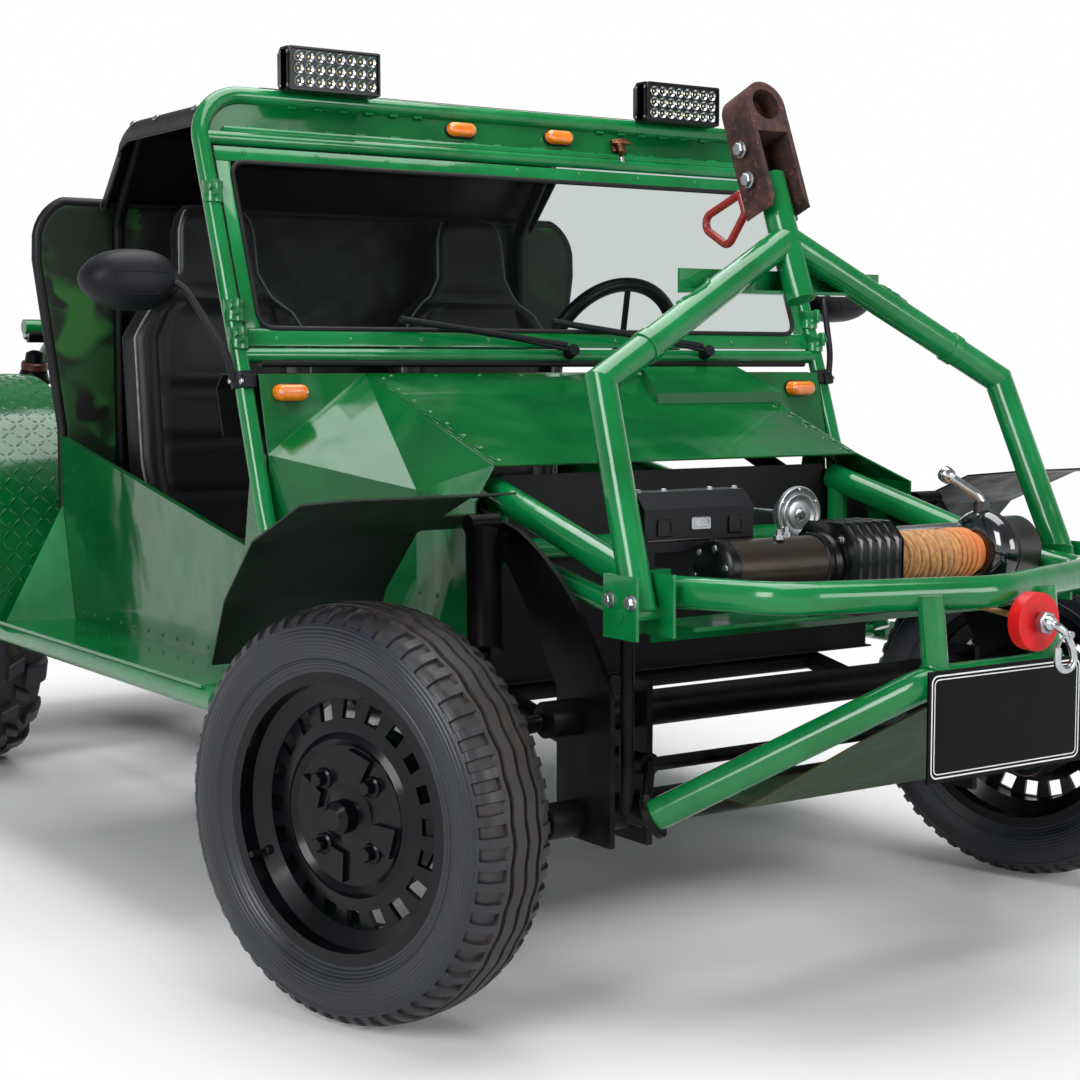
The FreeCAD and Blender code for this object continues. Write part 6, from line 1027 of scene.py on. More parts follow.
# turned shapes run along the drum's axis, which lies across the vehicle
winch = {
    "x": 1339.5, "z": 630,
    # outline, steps, material: motor end, can, can's front ring
    "motor": [
        ([(-303, 0), (-303, 30), (-300, 41), (-296, 44.5), (-283, 45), (-281, 43.6), (-279, 42)], 56, 1),
        ([(-280, 41.8), (-119, 41.8)], 56, 0),
        ([
            (-120, 42.2), (-118.5, 44.8), (-112, 45), (-110, 43.6), (-104, 43.6), (-102, 45), (-93, 45),
            (-91.5, 40), (-91.5, 0),
        ], 56, 1),
    ],
    "post": [(0, 8), (6, 8), (6, 4.5), (14, 4.5), (14, 0)],
    # shaft, small flange, domed flange, gear case and cap
    "drum": [
        ([(6, 16), (212, 16)], 32, 3),
        ([(7.5, 20), (7.5, 47), (9, 48.5), (11, 47), (11, 20)], 48, 5),
        ([
            (208.5, 30), (208.5, 36), (210, 42), (213.5, 50), (218.5, 57), (224.5, 62), (231, 64.5),
            (239, 65), (241.5, 63), (241.5, 48),
        ], 64, 5),
        ([
            (241.5, 50), (243, 52), (256, 52), (257, 50.5), (259, 50.5), (260, 52), (306, 52), (308, 50),
            (308, 38), (319.5, 37.8), (321.5, 35), (321.5, 9), (319, 7), (319, 0),
        ], 64, 6),
    ],
    "ribs": 12, "ribPitch": 8.8, "ribSizes": (59.5, 56), "ribCut": 24,
    "feet": [(-45, 70), (268, 50)],
    "turret": [(0, 16), (10, 15), (14, 12), (34, 11.8), (35, 10), (35, 0)],
    "lever": [(1335.5, 232, 705), (1332, 226, 716), (1305.5, 198, 742), (1298.5, 190, 749)],
    "knob": [(-6, 0), (-6, 8.5), (-2, 11.8), (6, 12.8), (12, 11.8), (16.5, 8), (18, 3.5), (18, 0)],
}


def octagon(half, cut):
    near = half - cut
    return [
        (half, near), (near, half), (-near, half), (-half, near), (-half, -near), (-near, -half),
        (near, -half), (half, -near),
    ]


bm = bmesh.new()
line = axes((winch["x"], 0, winch["z"]), left, up)
back = Matrix.Rotation(math.pi, 4, "X")
for outline, steps, material in winch["motor"]:
    addTurned(bm, line, outline, steps, material)
for bolt in around(line, 34, 6, 0.3, -301.5):
    addBolt(bm, bolt @ back, 9, 3, 0, 3)
for k in range(2):
    post = (winch["x"] - 16 + 30 * k, -150 - 40 * k, winch["z"] + 40)
    addTurned(bm, axes(post, up), winch["post"], 14, 3)
# octagonal brake housing with its ribs
ribs = [(octagon(57, 23.5), -91.5)]
for k in range(winch["ribs"]):
    rib = octagon(winch["ribSizes"][k % 2], winch["ribCut"])
    along = -90.5 + k * winch["ribPitch"]
    ribs += [(rib, along), (rib, along + 5.8)]
addLoft(bm, line, ribs + [(octagon(59, 24), 7.5)], 2)
for sx, sy in ((1, 1), (-1, 1), (-1, -1), (1, -1)):
    addBolt(bm, shifted(line, 36 * sx, 36 * sy, -91.5) @ back, 8, 4, 6, 3)
for outline, steps, material in winch["drum"]:
    addTurned(bm, line, outline, steps, material)
for bolt in around(line, 44.5, 8, 0.2, 307.8):
    addBolt(bm, bolt, 7, 3, 0, 3)
for z in (594, 666):
    addTube(bm, [(1303.5, 6, z), (1303.5, 244, z)], 6.8, 14, 3)
# feet and the free-spool lever with its rounded knob
for y, wide in winch["feet"]:
    addBlock(bm, axes((winch["x"], y, 565.5), up, ahead), (100, wide, 17), 3, 6)
    addBlock(bm, axes((winch["x"], y, 585), up, ahead), (60, wide * 0.7, 30), 3, 6)
    for side in sides:
        addBolt(bm, axes((winch["x"] + 40 * side, y, 573.5), up), 12, 6, 9, 3)
addTurned(bm, axes((winch["x"] - 4, 232, 672), up), winch["turret"], 28, 6)
addTube(bm, rounded(winch["lever"], 10, 4), 7.5, 14, 4)
addTurned(bm, axes((1303.5, 196, 743), (-12, -11, 12.5)), winch["knob"], 24, 4)
looks = [motorVarnish, smoothAbs, shroudBlack, zincSteel, polishedSteel, flangeGloss, gearCase]
toObject(bm, "winchBody", looks, replaced=["winch"])


def flangeEndTint(tree, surface):
    across = addNode(tree, "SeparateXYZ", [surface["where"]], "Y")
    layOver(tree, surface, addNode(tree, "MapRange", [across, 0.13, 0.205]), "#e07a2c")


# braided fibre rope: tan where dust has worked in, orange near the flange
ropeFibre = finish(
    "braidedPolyesterRope", "#cf9c62", "#a8743f", 9, (0.6, 0.8), flangeEndTint, (1.2, 0.35), sheen=0.3)

drum = {
    "radius": 32.5, "thick": 4.3, "from": 15.5, "to": 204, "steps": 26,
    "core": [(12, 16), (12, 31), (207.5, 31), (207.5, 16)],
    # turns that lie loose across the others: start, pitch, count, lean
    "loose": [(22, 15.5, 3.2, 6), (78, 12.5, 4.4, -5), (140, 10.5, 4.6, 4)],
    "run": [(1339.5, 40, 594.5), (1430, 40, 584.5), (1623.5, 40, 566.2)],
}
bm = bmesh.new()
addTurned(bm, line, drum["core"], 40)
radius, thick, steps = drum["radius"], drum["thick"], drum["steps"]
coil = []
for i in range(int((drum["to"] - drum["from"]) / (thick * 2)) * steps + 1):
    t = i / steps
    along = drum["from"] + 2 + t * thick * 2 * 0.985 + 2.2 * math.sin(math.tau * t)
    coil.append(line @ polar(radius, math.tau * t, along))
addTube(bm, coil, thick, 8)
for start, pitch, count, lean in drum["loose"]:
    loose = []
    for i in range(int(count * steps) + 1):
        t = i / steps
        turn = math.tau * t
        sunk = 3.5 * max(0.0, 1 - min(t, count - t) / 0.25)
        reach = radius + 2.9 - sunk + 0.3 * math.sin(turn * 1.7)
        loose.append(line @ polar(reach, turn, start + t * pitch + lean * math.sin(turn + 0.8)))
    addTube(bm, loose, thick, 8)
addTube(bm, drum["run"], thick, 12)
toObject(bm, "ropeOnDrum", [ropeFibre], replaced=["winch_rope"])

# wire hook: shank, nut, bent loop, keeper and its pin
hook = {
    # place, outline, steps, material
    "turned": [
        ((1626.2, 40, 566), [(0, 0), (0, 10.8), (20, 10.8), (22.5, 9.5), (26, 7.5), (26, 0)], 28, 0),
        ((1631.5, 40, 566), [(0, 15), (0.8, 16.5), (9.5, 16.5), (10.3, 15), (10.3, 10)], 6, 1),
        ((1653.5, 60, 551), [(0, 0), (0, 5.2), (12.5, 5.2), (13.5, 4), (13.5, 0)], 16, 1),
    ],
    "loop": [
        (1630, 40, 566), (1652, 40, 566), (1659, 52, 556), (1659, 68, 534), (1660, 71, 514),
        (1660, 62, 503.5), (1660, 47, 503.5), (1660, 38, 512), (1660, 38, 535),
    ],
    "keeper": [(1660, 36, 532), (1661, 45, 548), (1660, 60, 552)],
}
bm = bmesh.new()
for place, outline, steps, material in hook["turned"]:
    addTurned(bm, axes(place, ahead), outline, steps, material)
addTube(bm, rounded(hook["loop"], 12, 5), 5.4, 14)
addTube(bm, rounded(hook["keeper"], 10, 4), 2.6, 10, 1)
toObject(bm, "wireHook", [polishedSteel, zincSteel], replaced=["winch_hook"])

# border lines of the plate
bm = bmesh.new()
for inset, width in ((6.5, 1.1), (11.5, 0.8)):
    border = roundedBox(300 - 2 * inset, 150 - 2 * inset, 14 - inset * 0.6, 6)
    addTube(bm, [(1608.4, y, 436 + z) for y, z in border], width, 6, 0, True, 0.4, up)
toObject(bm, "plateBorder", [plateWhite])

# control box: clasps on its face, screws and a strap on its lid
controlBox = {
    # y, z, width, height, material
    "clasps": [(-352, 690, 26, 24, 0), (-289, 694, 34, 18, 1), (-226, 690, 26, 24, 0)],
    "clasp": [(0, 0), (0, 3.5), (1.2, 4.5), (4, 4.5), (4.5, 3)],
    "screws": (-375, -330, -248, -203),
}
bm = bmesh.new()
skin = skinOf("winch_control_box")
for y, z, wide, tall, kind in controlBox["clasps"]:
    spot = seatOn(skin, (1600, y, z), (-1, 0, 0), 0.5, left)
    if spot:
        addPad(bm, spot, wide, tall, 3, controlBox["clasp"], kind)
for y in controlBox["screws"]:
    spot = seatOn(skin, (1270, y, 1000), (0, 0, -1), 0.3)
    if spot:
        addBolt(bm, spot, 7, 3, 5.5, 1)
addBlock(bm, axes((1300, -289, 672), left, up), (4, 4, 188), 1.2)
toObject(bm, "controlBoxFittings", [smoothAbs, zincSteel])

horn = {
    "place": (1096.8, 75, 678),
    "face": [
        (-1, 44), (1.8, 43.8), (2.2, 42.5), (1, 41), (0.4, 35), (2, 33.5), (2.6, 31), (1.6, 29), (0.6, 24),
        (2, 22), (3, 18), (3.4, 10), (3.4, 0),
    ],
    "rivet": [(0, 2.4), (1.6, 2.2), (2.2, 0)],
}
bm = bmesh.new()
face = axes(horn["place"], ahead, up)
addTurned(bm, face, horn["face"], 56)
addBolt(bm, Matrix.Translation((3.2, 0, 0)) @ face, 13, 5, 10, 1)
for rivet in around(face, 39.3, 6, 0, 1):
    addTurned(bm, rivet, horn["rivet"], 10, 1)
toObject(bm, "hornFace", [zincSteel, polishedSteel])

# cross bolts of the coupling, and a blank raised place on its face
bm = bmesh.new()
skin = skinOf("tow_coupling")
for x, z in ((1109, 1194), (1090.5, 1241)):
    for flip in sides:
        spot = seatOn(skin, (x, 400 * flip, z), (0, -flip, 0))
        if spot:
            addBolt(bm, axes(spot.translation - Vector((0, flip, 0)), (0, flip, 0)), 19, 6.5, 13)
spot = seatOn(skin, (1500, 0, 1215), (-1, 0, 0), 0.8, left)
if spot:
    addPad(bm, spot, 40, 26, 4, [(0, 0), (0.3, 1.6), (1.4, 2.4)], 1)
toObject(bm, "couplingBolts", [zincSteel, castIron], "tow_frame")
print("winch, rope and fittings are on")


# seats, bulkhead and soft top

# sewn vinyl: fine leather grain, soft wide highlights
seatVinyl = finish(
    "sewnLeathercloth", "#0a0a0c", "#101114", 80, (0.38, 0.5), grain=(1.1, 0.07), dent=(34, 0.8),
    specular=0.35, sheen=0.1)
# welded piping: a pale satin line in the seams
pipingVinyl = finish("weldedPipingCord", "#8f9296", "#74777b", 20, (0.35, 0.5), grain=(1, 0.05))
# coated hood cloth: semi-matte, pulled smooth, faint creases
hoodCloth = finish(
    "coatedHoodCloth", "#070708", "#0c0c0e", 120, (0.42, 0.52), grain=(0.9, 0.06), dent=(60, 2.2),
    specular=0.3)
# camouflage: size of its blotches in mm, noise from and to, tone
camouflage = [
    (150, 0.50, 0.60, "#17431b"), (120, 0.58, 0.66, "#246026"), (90, 0.60, 0.66, "#050805"),
]


def blotches(tree, surface):
    for size, low, high, tone in camouflage:
        spots = {"Vector": surface["where"], "Scale": perMetre(size), "Detail": 1.5, "Roughness": 0.4}
        spots.update({"Distortion": 0.6, "W": size * 0.07})
        spots = addNode(tree, "TexNoise", spots, noise_dimensions="4D")
        layOver(tree, surface, addNode(tree, "MapRange", [spots, low, high]), tone)


# printed coated cloth: large soft camouflage blotches, two greens and black over dark green, matte
printedCloth = finish(
    "printedCoatedCloth", "#0a1e0c", "#071208", 90, (0.5, 0.64), blotches, (1.0, 0.12), specular=0.4)


def between(table, at):
    # straight-line reading of a table of (place, value)
    for (a, va), (b, vb) in zip(table, table[1:]):
        if at <= b:
            return va + (vb - va) * max(0.0, (at - a)) / (b - a)
    return table[-1][1]


def ramp(value, start, width):
    # 0 up to start, then rising by 1 for each width
    return max(0.0, (value - start) / width)


cover = {"frames": 14, "pressure": 2.5, "most": 10, "cushionFill": 0.8, "backFill": 0.7}


def settle(pieces):
    # covers are blown out between their seams by the foam inside; the settled shape is kept
    for made, seams in pieces:
        made.vertex_groups.new(name="seams").add(seams, 1.0, "REPLACE")
        modifier = made.modifiers.new("cover", "CLOTH")
        cloth = modifier.settings
        cloth.quality = 4
        cloth.mass = 0.3
        cloth.tension_stiffness = 30
        cloth.compression_stiffness = 30
        cloth.shear_stiffness = 12
        cloth.bending_stiffness = 1.2
        cloth.use_pressure = True
        cloth.uniform_pressure_force = cover["pressure"]
        cloth.vertex_group_mass = "seams"
        cloth.effector_weights.gravity = 0.0
        modifier.collision_settings.use_collision = False
        modifier.point_cache.frame_end = cover["frames"]
    for number in range(1, cover["frames"] + 1):
        bpy.context.scene.frame_set(number)
    graph = bpy.context.evaluated_depsgraph_get()
    shapes = [[vert.co.copy() for vert in made.evaluated_get(graph).data.vertices] for made, _ in pieces]
    for (made, _), shape in zip(pieces, shapes):
        made.modifiers.clear()
        moves = [after - vert.co for vert, after in zip(made.data.vertices, shape)]
        reach = max(move.length for move in moves) / mm
        share = min(1.0, cover["most"] / reach) if reach > 0 else 1.0
        print("settled", made.name, "by", round(reach, 1), "mm, kept", round(share, 2))
        for vert, move in zip(made.data.vertices, moves):
            vert.co += move * share
    bpy.context.scene.frame_set(1)


seat = {
    "middle": 300, "half": 219, "columns": 33, "seam": (6, 7), "piping": 2.6,
    "cushion": {
        "rows": 28, "rear": -146, "front": 183, "low": 478.5, "rearTop": 564, "frontTop": 598,
        "bolster": 0.76, "rise": 12,
    },
    "back": {
        "rows": 56, "foot": 503, "top": 1233, "footX": -150, "topX": -224.5, "depth": 60, "bolster": 0.70,
        "rise": 16, "headFrom": 1030, "headSeam": 41,
    },
    "widths": [
        (500, 163), (600, 184), (720, 203), (970, 203), (1020, 168), (1060, 116), (1100, 91), (1180, 87),
        (1215, 76), (1235, 50),
    ],
    # slide rails: offset across, height, section
    "rails": [
        (-11, 446, (3, 58, 300)), (11, 446, (3, 58, 300)), (0, 419.5, (28, 6, 320)), (0, 474, (28, 6, 320)),
    ],
}


def sewnCover(loops, pinned, name):
    # a closed cover, with the numbers of the points that its seams hold
    bm = bmesh.new()
    rings = addLoops(bm, loops)
    bm.verts.index_update()
    held = [rings[i][k].index for i, k in pinned]
    made = toObject(bm, name, [seatVinyl], smooth=50, replaced=["seats"])
    return made, held


def buildSeat(flip, name):
    middle, columns = seat["middle"] * flip, seat["columns"]
    part = seat["cushion"]
    rows = part["rows"]
    loops, pinned = [], []
    for i, u in enumerate(spaced(rows, 0)):
        x = part["rear"] + (part["front"] - part["rear"]) * u
        end = min(1.0, min(u, 1 - u) / 0.08)
        top = part["rearTop"] + (part["frontTop"] - part["rearTop"]) * u - 22 * (1 - end) ** 2
        loop = []
        for k, s in enumerate(spaced(columns)):
            edge = ramp(abs(s), 0.93, 0.07)
            ridge = math.sin(math.pi * min(1.0, ramp(abs(s), part["bolster"], 1 - part["bolster"])))
            ridge = part["rise"] * max(0.0, ridge)
            seam = seat["seam"][0] if abs(abs(s) - 0.75) < 0.02 or (i % 7 == 0 and abs(s) < 0.75) else 0
            loop.append(Vector((x, middle + s * seat["half"], top + ridge - 20 * edge ** 2 - seam * end)))
            if seam or edge > 0.9 or i in (0, rows - 1):
                pinned.append((i, k))
        for k, s in enumerate(spaced(7, 1.0, -1.0)):
            loop.append(Vector((x, middle + s * (seat["half"] - 4), part["low"])))
            pinned.append((i, columns + k))
        loops.append(loop)
    cushion = sewnCover(loops, pinned, f"cushion{name}")
    front = (part["front"] - 10, part["frontTop"] - 12)
    front = [(front[0], middle + s * seat["half"] * 0.985, front[1]) for s in spaced(17)]

    part = seat["back"]
    rows = part["rows"]
    loops, pinned, piping = [], [], [[], []]
    for i, t in enumerate(spaced(rows, 0)):
        z = part["foot"] + (part["top"] - part["foot"]) * t
        half = between(seat["widths"], z)
        lean = part["footX"] + (part["topX"] - part["footX"]) * t
        end = min(1.0, min(t, 1 - t) / 0.035)
        slack = part["depth"] * (0.55 - 0.55 * math.sqrt(end)) / 2
        head = z > part["headFrom"]
        loop = []
        for k, s in enumerate(spaced(columns)):
            edge = ramp(abs(s), 0.86, 0.14)
            side = min(1.0, ramp(abs(s), part["bolster"], 1 - part["bolster"]))
            if head:
                crown = 8 * (1 - s * s)
            else:
                crown = 0.75 * part["rise"] * math.sin(math.pi * side) * (1 if z > 560 else 0.5)
            cross = i % 8 == 4 and abs(s) < 0.69 and z < 980
            sewn = i == part["headSeam"] if head else cross or abs(abs(s) - 0.69) < 0.035
            seam = seat["seam"][1] * sewn
            loop.append(Vector((lean - slack - 26 * edge ** 2 + crown - seam - 12, middle + s * half, z)))
            if seam or edge > 0.85 or i in (0, rows - 1):
                pinned.append((i, k))
        for line, point in zip(piping, (loop[1], loop[-2])):
            line.append(point + Vector((1.5, 0, 0)))
        for k, s in enumerate(spaced(9, 1.0, -1.0)):
            rear = lean - part["depth"] + slack + 12 * ramp(abs(s), 0.7, 0.3) ** 2
            loop.append(Vector((rear, middle + s * (half - 1), z)))
            pinned.append((i, columns + k))
        loops.append(loop)
    back = sewnCover(loops, pinned, f"seatBack{name}")

    # pale piping in the outer seam, and the slide rails under the cushion
    bm = bmesh.new()
    for line in (piping[0][1:-1] + piping[1][1:-1][::-1], front):
        addTube(bm, line, seat["piping"], 6)
    for side in sides:
        y = middle + side * 130
        for offset, height, size in seat["rails"]:
            addBlock(bm, axes((18, y + offset, height), ahead, left), size, 1 if offset == 0 else 0.6, 1)
        for x in (-110, 145):
            addBolt(bm, axes((x, y, 422.5), up), 12, 6, 8.5, 2)
    toObject(bm, f"seatPiping{name}", [pipingVinyl, chassisBlack, zincSteel], replaced=["seats"])
    return [cushion, back]


settle(buildSeat(1, "Driver") + buildSeat(-1, "Passenger"))
print("seats are in")

bulkhead = {
    "front": -330, "back": -351, "low": 416.5, "high": 1239, "camouflage": 425, "quilt": 105, "depth": 3.5,
    "rows": 74, "columns": 108, "rim": 16, "fill": 0.5, "edging": 11.2,
    "widths": [(410, 599), (790, 599), (1120, 644), (1152, 644)],
    "shoulder": 1152, "round": 87,
}


def bulkheadHalf(z):
    if z <= bulkhead["shoulder"]:
        return between(bulkhead["widths"], z)
    rise = min(1.0, (z - bulkhead["shoulder"]) / bulkhead["round"])
    return 557 + bulkhead["round"] * math.sqrt(max(0.0, 1 - rise * rise))


bm = bmesh.new()
lowest, highest, rim, quilt = (bulkhead[key] for key in ("low", "high", "rim", "quilt"))
faces = [[], []]
for t in spaced(bulkhead["rows"], 1.0, 0.0):
    z = lowest + (highest - lowest) * (1 - t ** 1.25)
    half = bulkheadHalf(z)
    rows = [[], []]
    for s in spaced(bulkhead["columns"]):
        y = s * half
        edge = 1 - max(0.0, min(1.0, (half - abs(y)) / rim, (z - lowest) / rim, (highest - z) / rim))
        p = (y + z * 0.55) / quilt
        q = (y * 0.55 - z) / quilt
        pillow = min(1.0, 4.5 * min(abs(p - round(p)), abs(q - round(q))))
        if abs(y) >= bulkhead["camouflage"]:
            pillow = 1.0
        x = bulkhead["front"] - bulkhead["depth"] * (1 - math.sqrt(pillow)) - 9 * edge ** 2
        rows[0].append(bm.verts.new((x, y, z)))
        rows[1].append(bm.verts.new((bulkhead["back"] + 6 * edge ** 2, y, z)))
    for face, row in zip(faces, rows):
        face.append(row)
for number, grid in enumerate(faces):
    for a, b in zip(grid, grid[1:]):
        for i in range(bulkhead["columns"] - 1):
            face = bm.faces.new((a[i], a[i + 1], b[i + 1], b[i]))
            printed = number == 0 and abs(face.calc_center_median().y) >= bulkhead["camouflage"]
            face.material_index = int(printed)
near, far = (
    grid[0] + [row[-1] for row in grid[1:]] + grid[-1][-2::-1] + [row[0] for row in grid[-2:0:-1]]
    for grid in faces
)
for i in range(len(near)):
    k = (i + 1) % len(near)
    bm.faces.new((near[i], near[k], far[k], far[i]))
looks = [seatVinyl, printedCloth]
padding = toObject(bm, "bulkheadPadding", looks, smooth=60, replaced=["rear_bulkhead"])

bm = bmesh.new()
heights = [427 + 33 * i for i in range(22)]
heights += [bulkhead["shoulder"] + 80.91 * math.sin(math.pi / 16 * i) for i in range(1, 9)]
edging = [Vector((-340, bulkheadHalf(z) - 8, z)) for z in heights]
addTube(bm, edging + [Vector((x, -y, z)) for x, y, z in edging[::-1]], bulkhead["edging"])
toObject(bm, "bulkheadEdging", [hoodCloth], replaced=["rear_bulkhead"])

# soft top: one sheet over the bows, its sides rolled down and snapped to the tubes
top = {
    "front": 345, "break": -203, "rear": (-338.5, 1241), "high": 1382.5, "half": 510, "edge": 26, "skirt": 40,
    "corner": 45, "step": 18, "slack": 3.5, "bowPitch": 183, "hem": 3, "studs": (290, 115, -60, -170),
    "stud": [(0, 7.8), (1, 8), (2.6, 6.6), (3.6, 3.6), (3.8, 0)],
}
half, edge = top["half"], top["edge"]
flatHalf = half - edge
profile = [(-half, -top["skirt"]), (-half, -33)]
quarter = spaced(7, 0, math.pi / 2)
profile += [(-flatHalf - edge * math.cos(a), -edge + edge * math.sin(a)) for a in quarter]
profile += [(y, 0.0) for y in spaced(41, -flatHalf, flatHalf)[1:-1]] + [(-y, z) for y, z in profile[::-1]]
path = [(top["front"], 0, top["high"]), (top["break"], 0, top["high"]), (top["rear"][0], 0, top["rear"][1])]
path = rounded(path, top["corner"], 8)
dense = []
for a, b in zip(path, path[1:]):
    steps = max(1, round((b - a).length / top["step"]))
    dense += [a.lerp(b, k / steps) for k in range(steps)]
dense.append(path[-1])
bm = bmesh.new()
grid = []
for i, point in enumerate(dense):
    way = dense[min(i + 1, len(dense) - 1)] - dense[max(i - 1, 0)]
    out = Vector((-abs(way.z), 0, abs(way.x))).normalized()
    if point.x > top["break"] - 30:
        out = Vector(up)
    # a slack of a few millimetres between the bows
    along = point.x - top["break"]
    slack = top["slack"] * math.sin(math.pi * (along / top["bowPitch"] % 1.0)) ** 2 if along > 0 else 0.0
    grid.append([
        bm.verts.new(point + Vector((0, y, 0)) + out * (drop - slack * (1 - (y / half) ** 2)))
        for y, drop in profile
    ])
for a, b in zip(grid, grid[1:]):
    for i in range(len(profile) - 1):
        bm.faces.new((a[i], a[i + 1], b[i + 1], b[i]))
length = sum((b - a).length for a, b in zip(dense, dense[1:]))
width = 2 * flatHalf + math.pi * edge + 2 * (top["skirt"] - edge)
lines = [[row[end].co.copy() for row in grid] for end in (0, -1)]
lines += [[vert.co.copy() for vert in grid[end]] for end in (0, -1)]
sheet = toObject(bm, "softTopSheet", [hoodCloth], smooth=60, replaced=["soft_top"])
bm = bmesh.new()
for line in lines:
    addTube(bm, line, top["hem"], 8)
for flip in sides:
    for x in top["studs"]:
        stud = axes((x, flip * (half - 7.5), top["high"] - 7.8), (0, flip, 1))
        addTurned(bm, stud, top["stud"], 20, 1)
hem = toObject(bm, "softTopHem", [hoodCloth, zincSteel], replaced=["soft_top"])
print("bulkhead and soft top are on")


# rear springs, fenders, welds and fasteners

# moulded urethane collar: dark red-brown, satin
collarUrethane = finish("agedUrethaneCollar", "#4a1410", "#2f0f0c", 14, (0.35, 0.5))
spring = {
    "foot": (-1057.5, 425, 413), "head": (-937.5, 425, 980), "radius": 33.8, "wire": 6,
    "turns": 7.5, "steps": 28,
    # share of the length and radius: body and rod, foot ring, head ring, collar, top cup; steps; material
    "turned": [
        ([(0.04, 10), (0.05, 21), (0.54, 21), (0.55, 16.5), (0.56, 8), (0.92, 8), (0.92, 0)], 32, 0),
        ([(0.150, 21), (0.150, 38.5), (0.158, 39), (0.166, 38.5), (0.168, 21)], 40, 0),
        ([(0.815, 9), (0.815, 38.5), (0.830, 39), (0.838, 34), (0.860, 30), (0.860, 9)], 40, 0),
        ([(0.862, 9), (0.862, 27), (0.868, 29.5), (0.890, 29.5), (0.896, 27), (0.896, 9)], 36, 1),
        ([(0.898, 9), (0.898, 22), (0.930, 20), (0.940, 9)], 32, 0),
    ],
    "eye": [(-19, 6), (-19, 15.5), (19, 15.5), (19, 6)],
}
bm = bmesh.new()
for flip in sides:
    foot, head = (Vector((x, y * flip, z)) for x, y, z in (spring["foot"], spring["head"]))
    size = (head - foot).length
    place = axes(foot, head - foot, left)
    coil = []
    steps = int(spring["turns"] * spring["steps"])
    for t in spaced(steps + 1, 0):
        flatEnd = min(1.0, t / 0.10, (1 - t) / 0.10)
        along = size * (0.17 + 0.62 * (t * 0.94 + 0.03 * (1 if t > 0.5 else -1) * (1 - flatEnd) + 0.03))
        coil.append(place @ polar(spring["radius"], math.tau * spring["turns"] * t, along))
    addTube(bm, coil, spring["wire"], 10)
    for outline, steps, material in spring["turned"]:
        addTurned(bm, place, [(size * share, r) for share, r in outline], steps, material)
    for eye in (foot, head):
        addTurned(bm, axes(eye, left), spring["eye"], 28)
        for end in sides:
            addBolt(bm, axes(eye + Vector((0, 19 * end, 0)), (0, end, 0)), 16, 8, 11.5, 2)
toObject(bm, "coilSprings", [chassisBlack, collarUrethane, zincSteel], replaced=["rear_springs"])

# raised lozenges of tread plate, alternately leaning left and right, over the fender's arc, top and tail
tread = {
    "centre": (-832.5, 0, 413), "radius": 480, "arc": (6, 84), "top": 300, "tail": (260, 250), "pitch": 23.5,
    "inner": 508, "outer": 762, "rise": 1.3,
    "lozenge": [(-12.5, 0), (-6, -3), (6, -3), (12.5, 0), (6, 3), (-6, 3)],
}
centre, radius, pitch = Vector(tread["centre"]), tread["radius"], tread["pitch"]
first, reach = (math.radians(angle) for angle in tread["arc"])
stations = []
for i in range(int(radius * reach / pitch)):
    turn = first + i * pitch / radius
    out = Vector((math.cos(turn), 0, math.sin(turn)))
    stations.append((centre + out * radius, out))
crest = centre + Vector((0, 0, radius))
for i in range(int(tread["top"] / pitch) + 1):
    stations.append((crest - Vector((i * pitch, 0, 0)), Vector(up)))
back, down = tread["tail"]
tail = Vector((-back, 0, -down))
for i in range(1, int(tail.length / pitch)):
    spot = crest - Vector((tread["top"], 0, 0)) + tail.normalized() * i * pitch
    stations.append((spot, Vector((-down, 0, back)).normalized()))
skin = skinOf("rear_fenders")
bm = bmesh.new()
for i, (point, normal) in enumerate(stations):
    for k in range(int((tread["outer"] - tread["inner"]) / pitch) + 1):
        for flip in sides:
            start = point + normal * 120 + Vector((0, flip * (tread["inner"] + k * pitch), 0))
            spot = seatOn(skin, start, -normal, 0, left)
            if spot is None or spot.col[2].xyz.dot(normal) < 0.9:
                continue
            place = spot @ Matrix.Rotation(math.radians(45 if (i + k) % 2 else -45), 4, "Z")
            low = [bm.verts.new(place @ Vector((x, y, -0.2))) for x, y in tread["lozenge"]]
            high = [(x * 0.80, y * 0.55, tread["rise"]) for x, y in tread["lozenge"]]
            high = [bm.verts.new(place @ Vector(corner)) for corner in high]
            for n in range(6):
                bm.faces.new((low[n], low[(n + 1) % 6], high[(n + 1) % 6], high[n]))
            bm.faces.new(high)
toObject(bm, "treadPattern", [greenSheet], smooth=25)


def saddle(branch, way, radius, main, mainWay, mainRadius=22.5, steps=36):
    # the line where one tube's end meets another tube
    way, mainWay, main = Vector(way).normalized(), Vector(mainWay).normalized(), Vector(main)
    line = []
    for place in around(axes(branch, way), radius, steps):
        start = place.translation - main
        flatStart = start - mainWay * start.dot(mainWay)
        flatWay = way - mainWay * way.dot(mainWay)
        a, b = flatWay.dot(flatWay), 2 * flatStart.dot(flatWay)
        c = flatStart.dot(flatStart) - mainRadius ** 2
        inside = b * b - 4 * a * c
        if a > 1e-6 and inside >= 0:
            line.append(main + start + way * (-b + math.sqrt(inside)) / (2 * a))
    return line


def weldPiece(joints, name, body):
    # a bead round each joint, left out where the tubes don't meet all round
    bm = bmesh.new()
    for joint in joints:
        line = saddle(*joint)
        if len(line) > 20:
            addBead(bm, line, 3)
    toObject(bm, name, [greenTube], body)


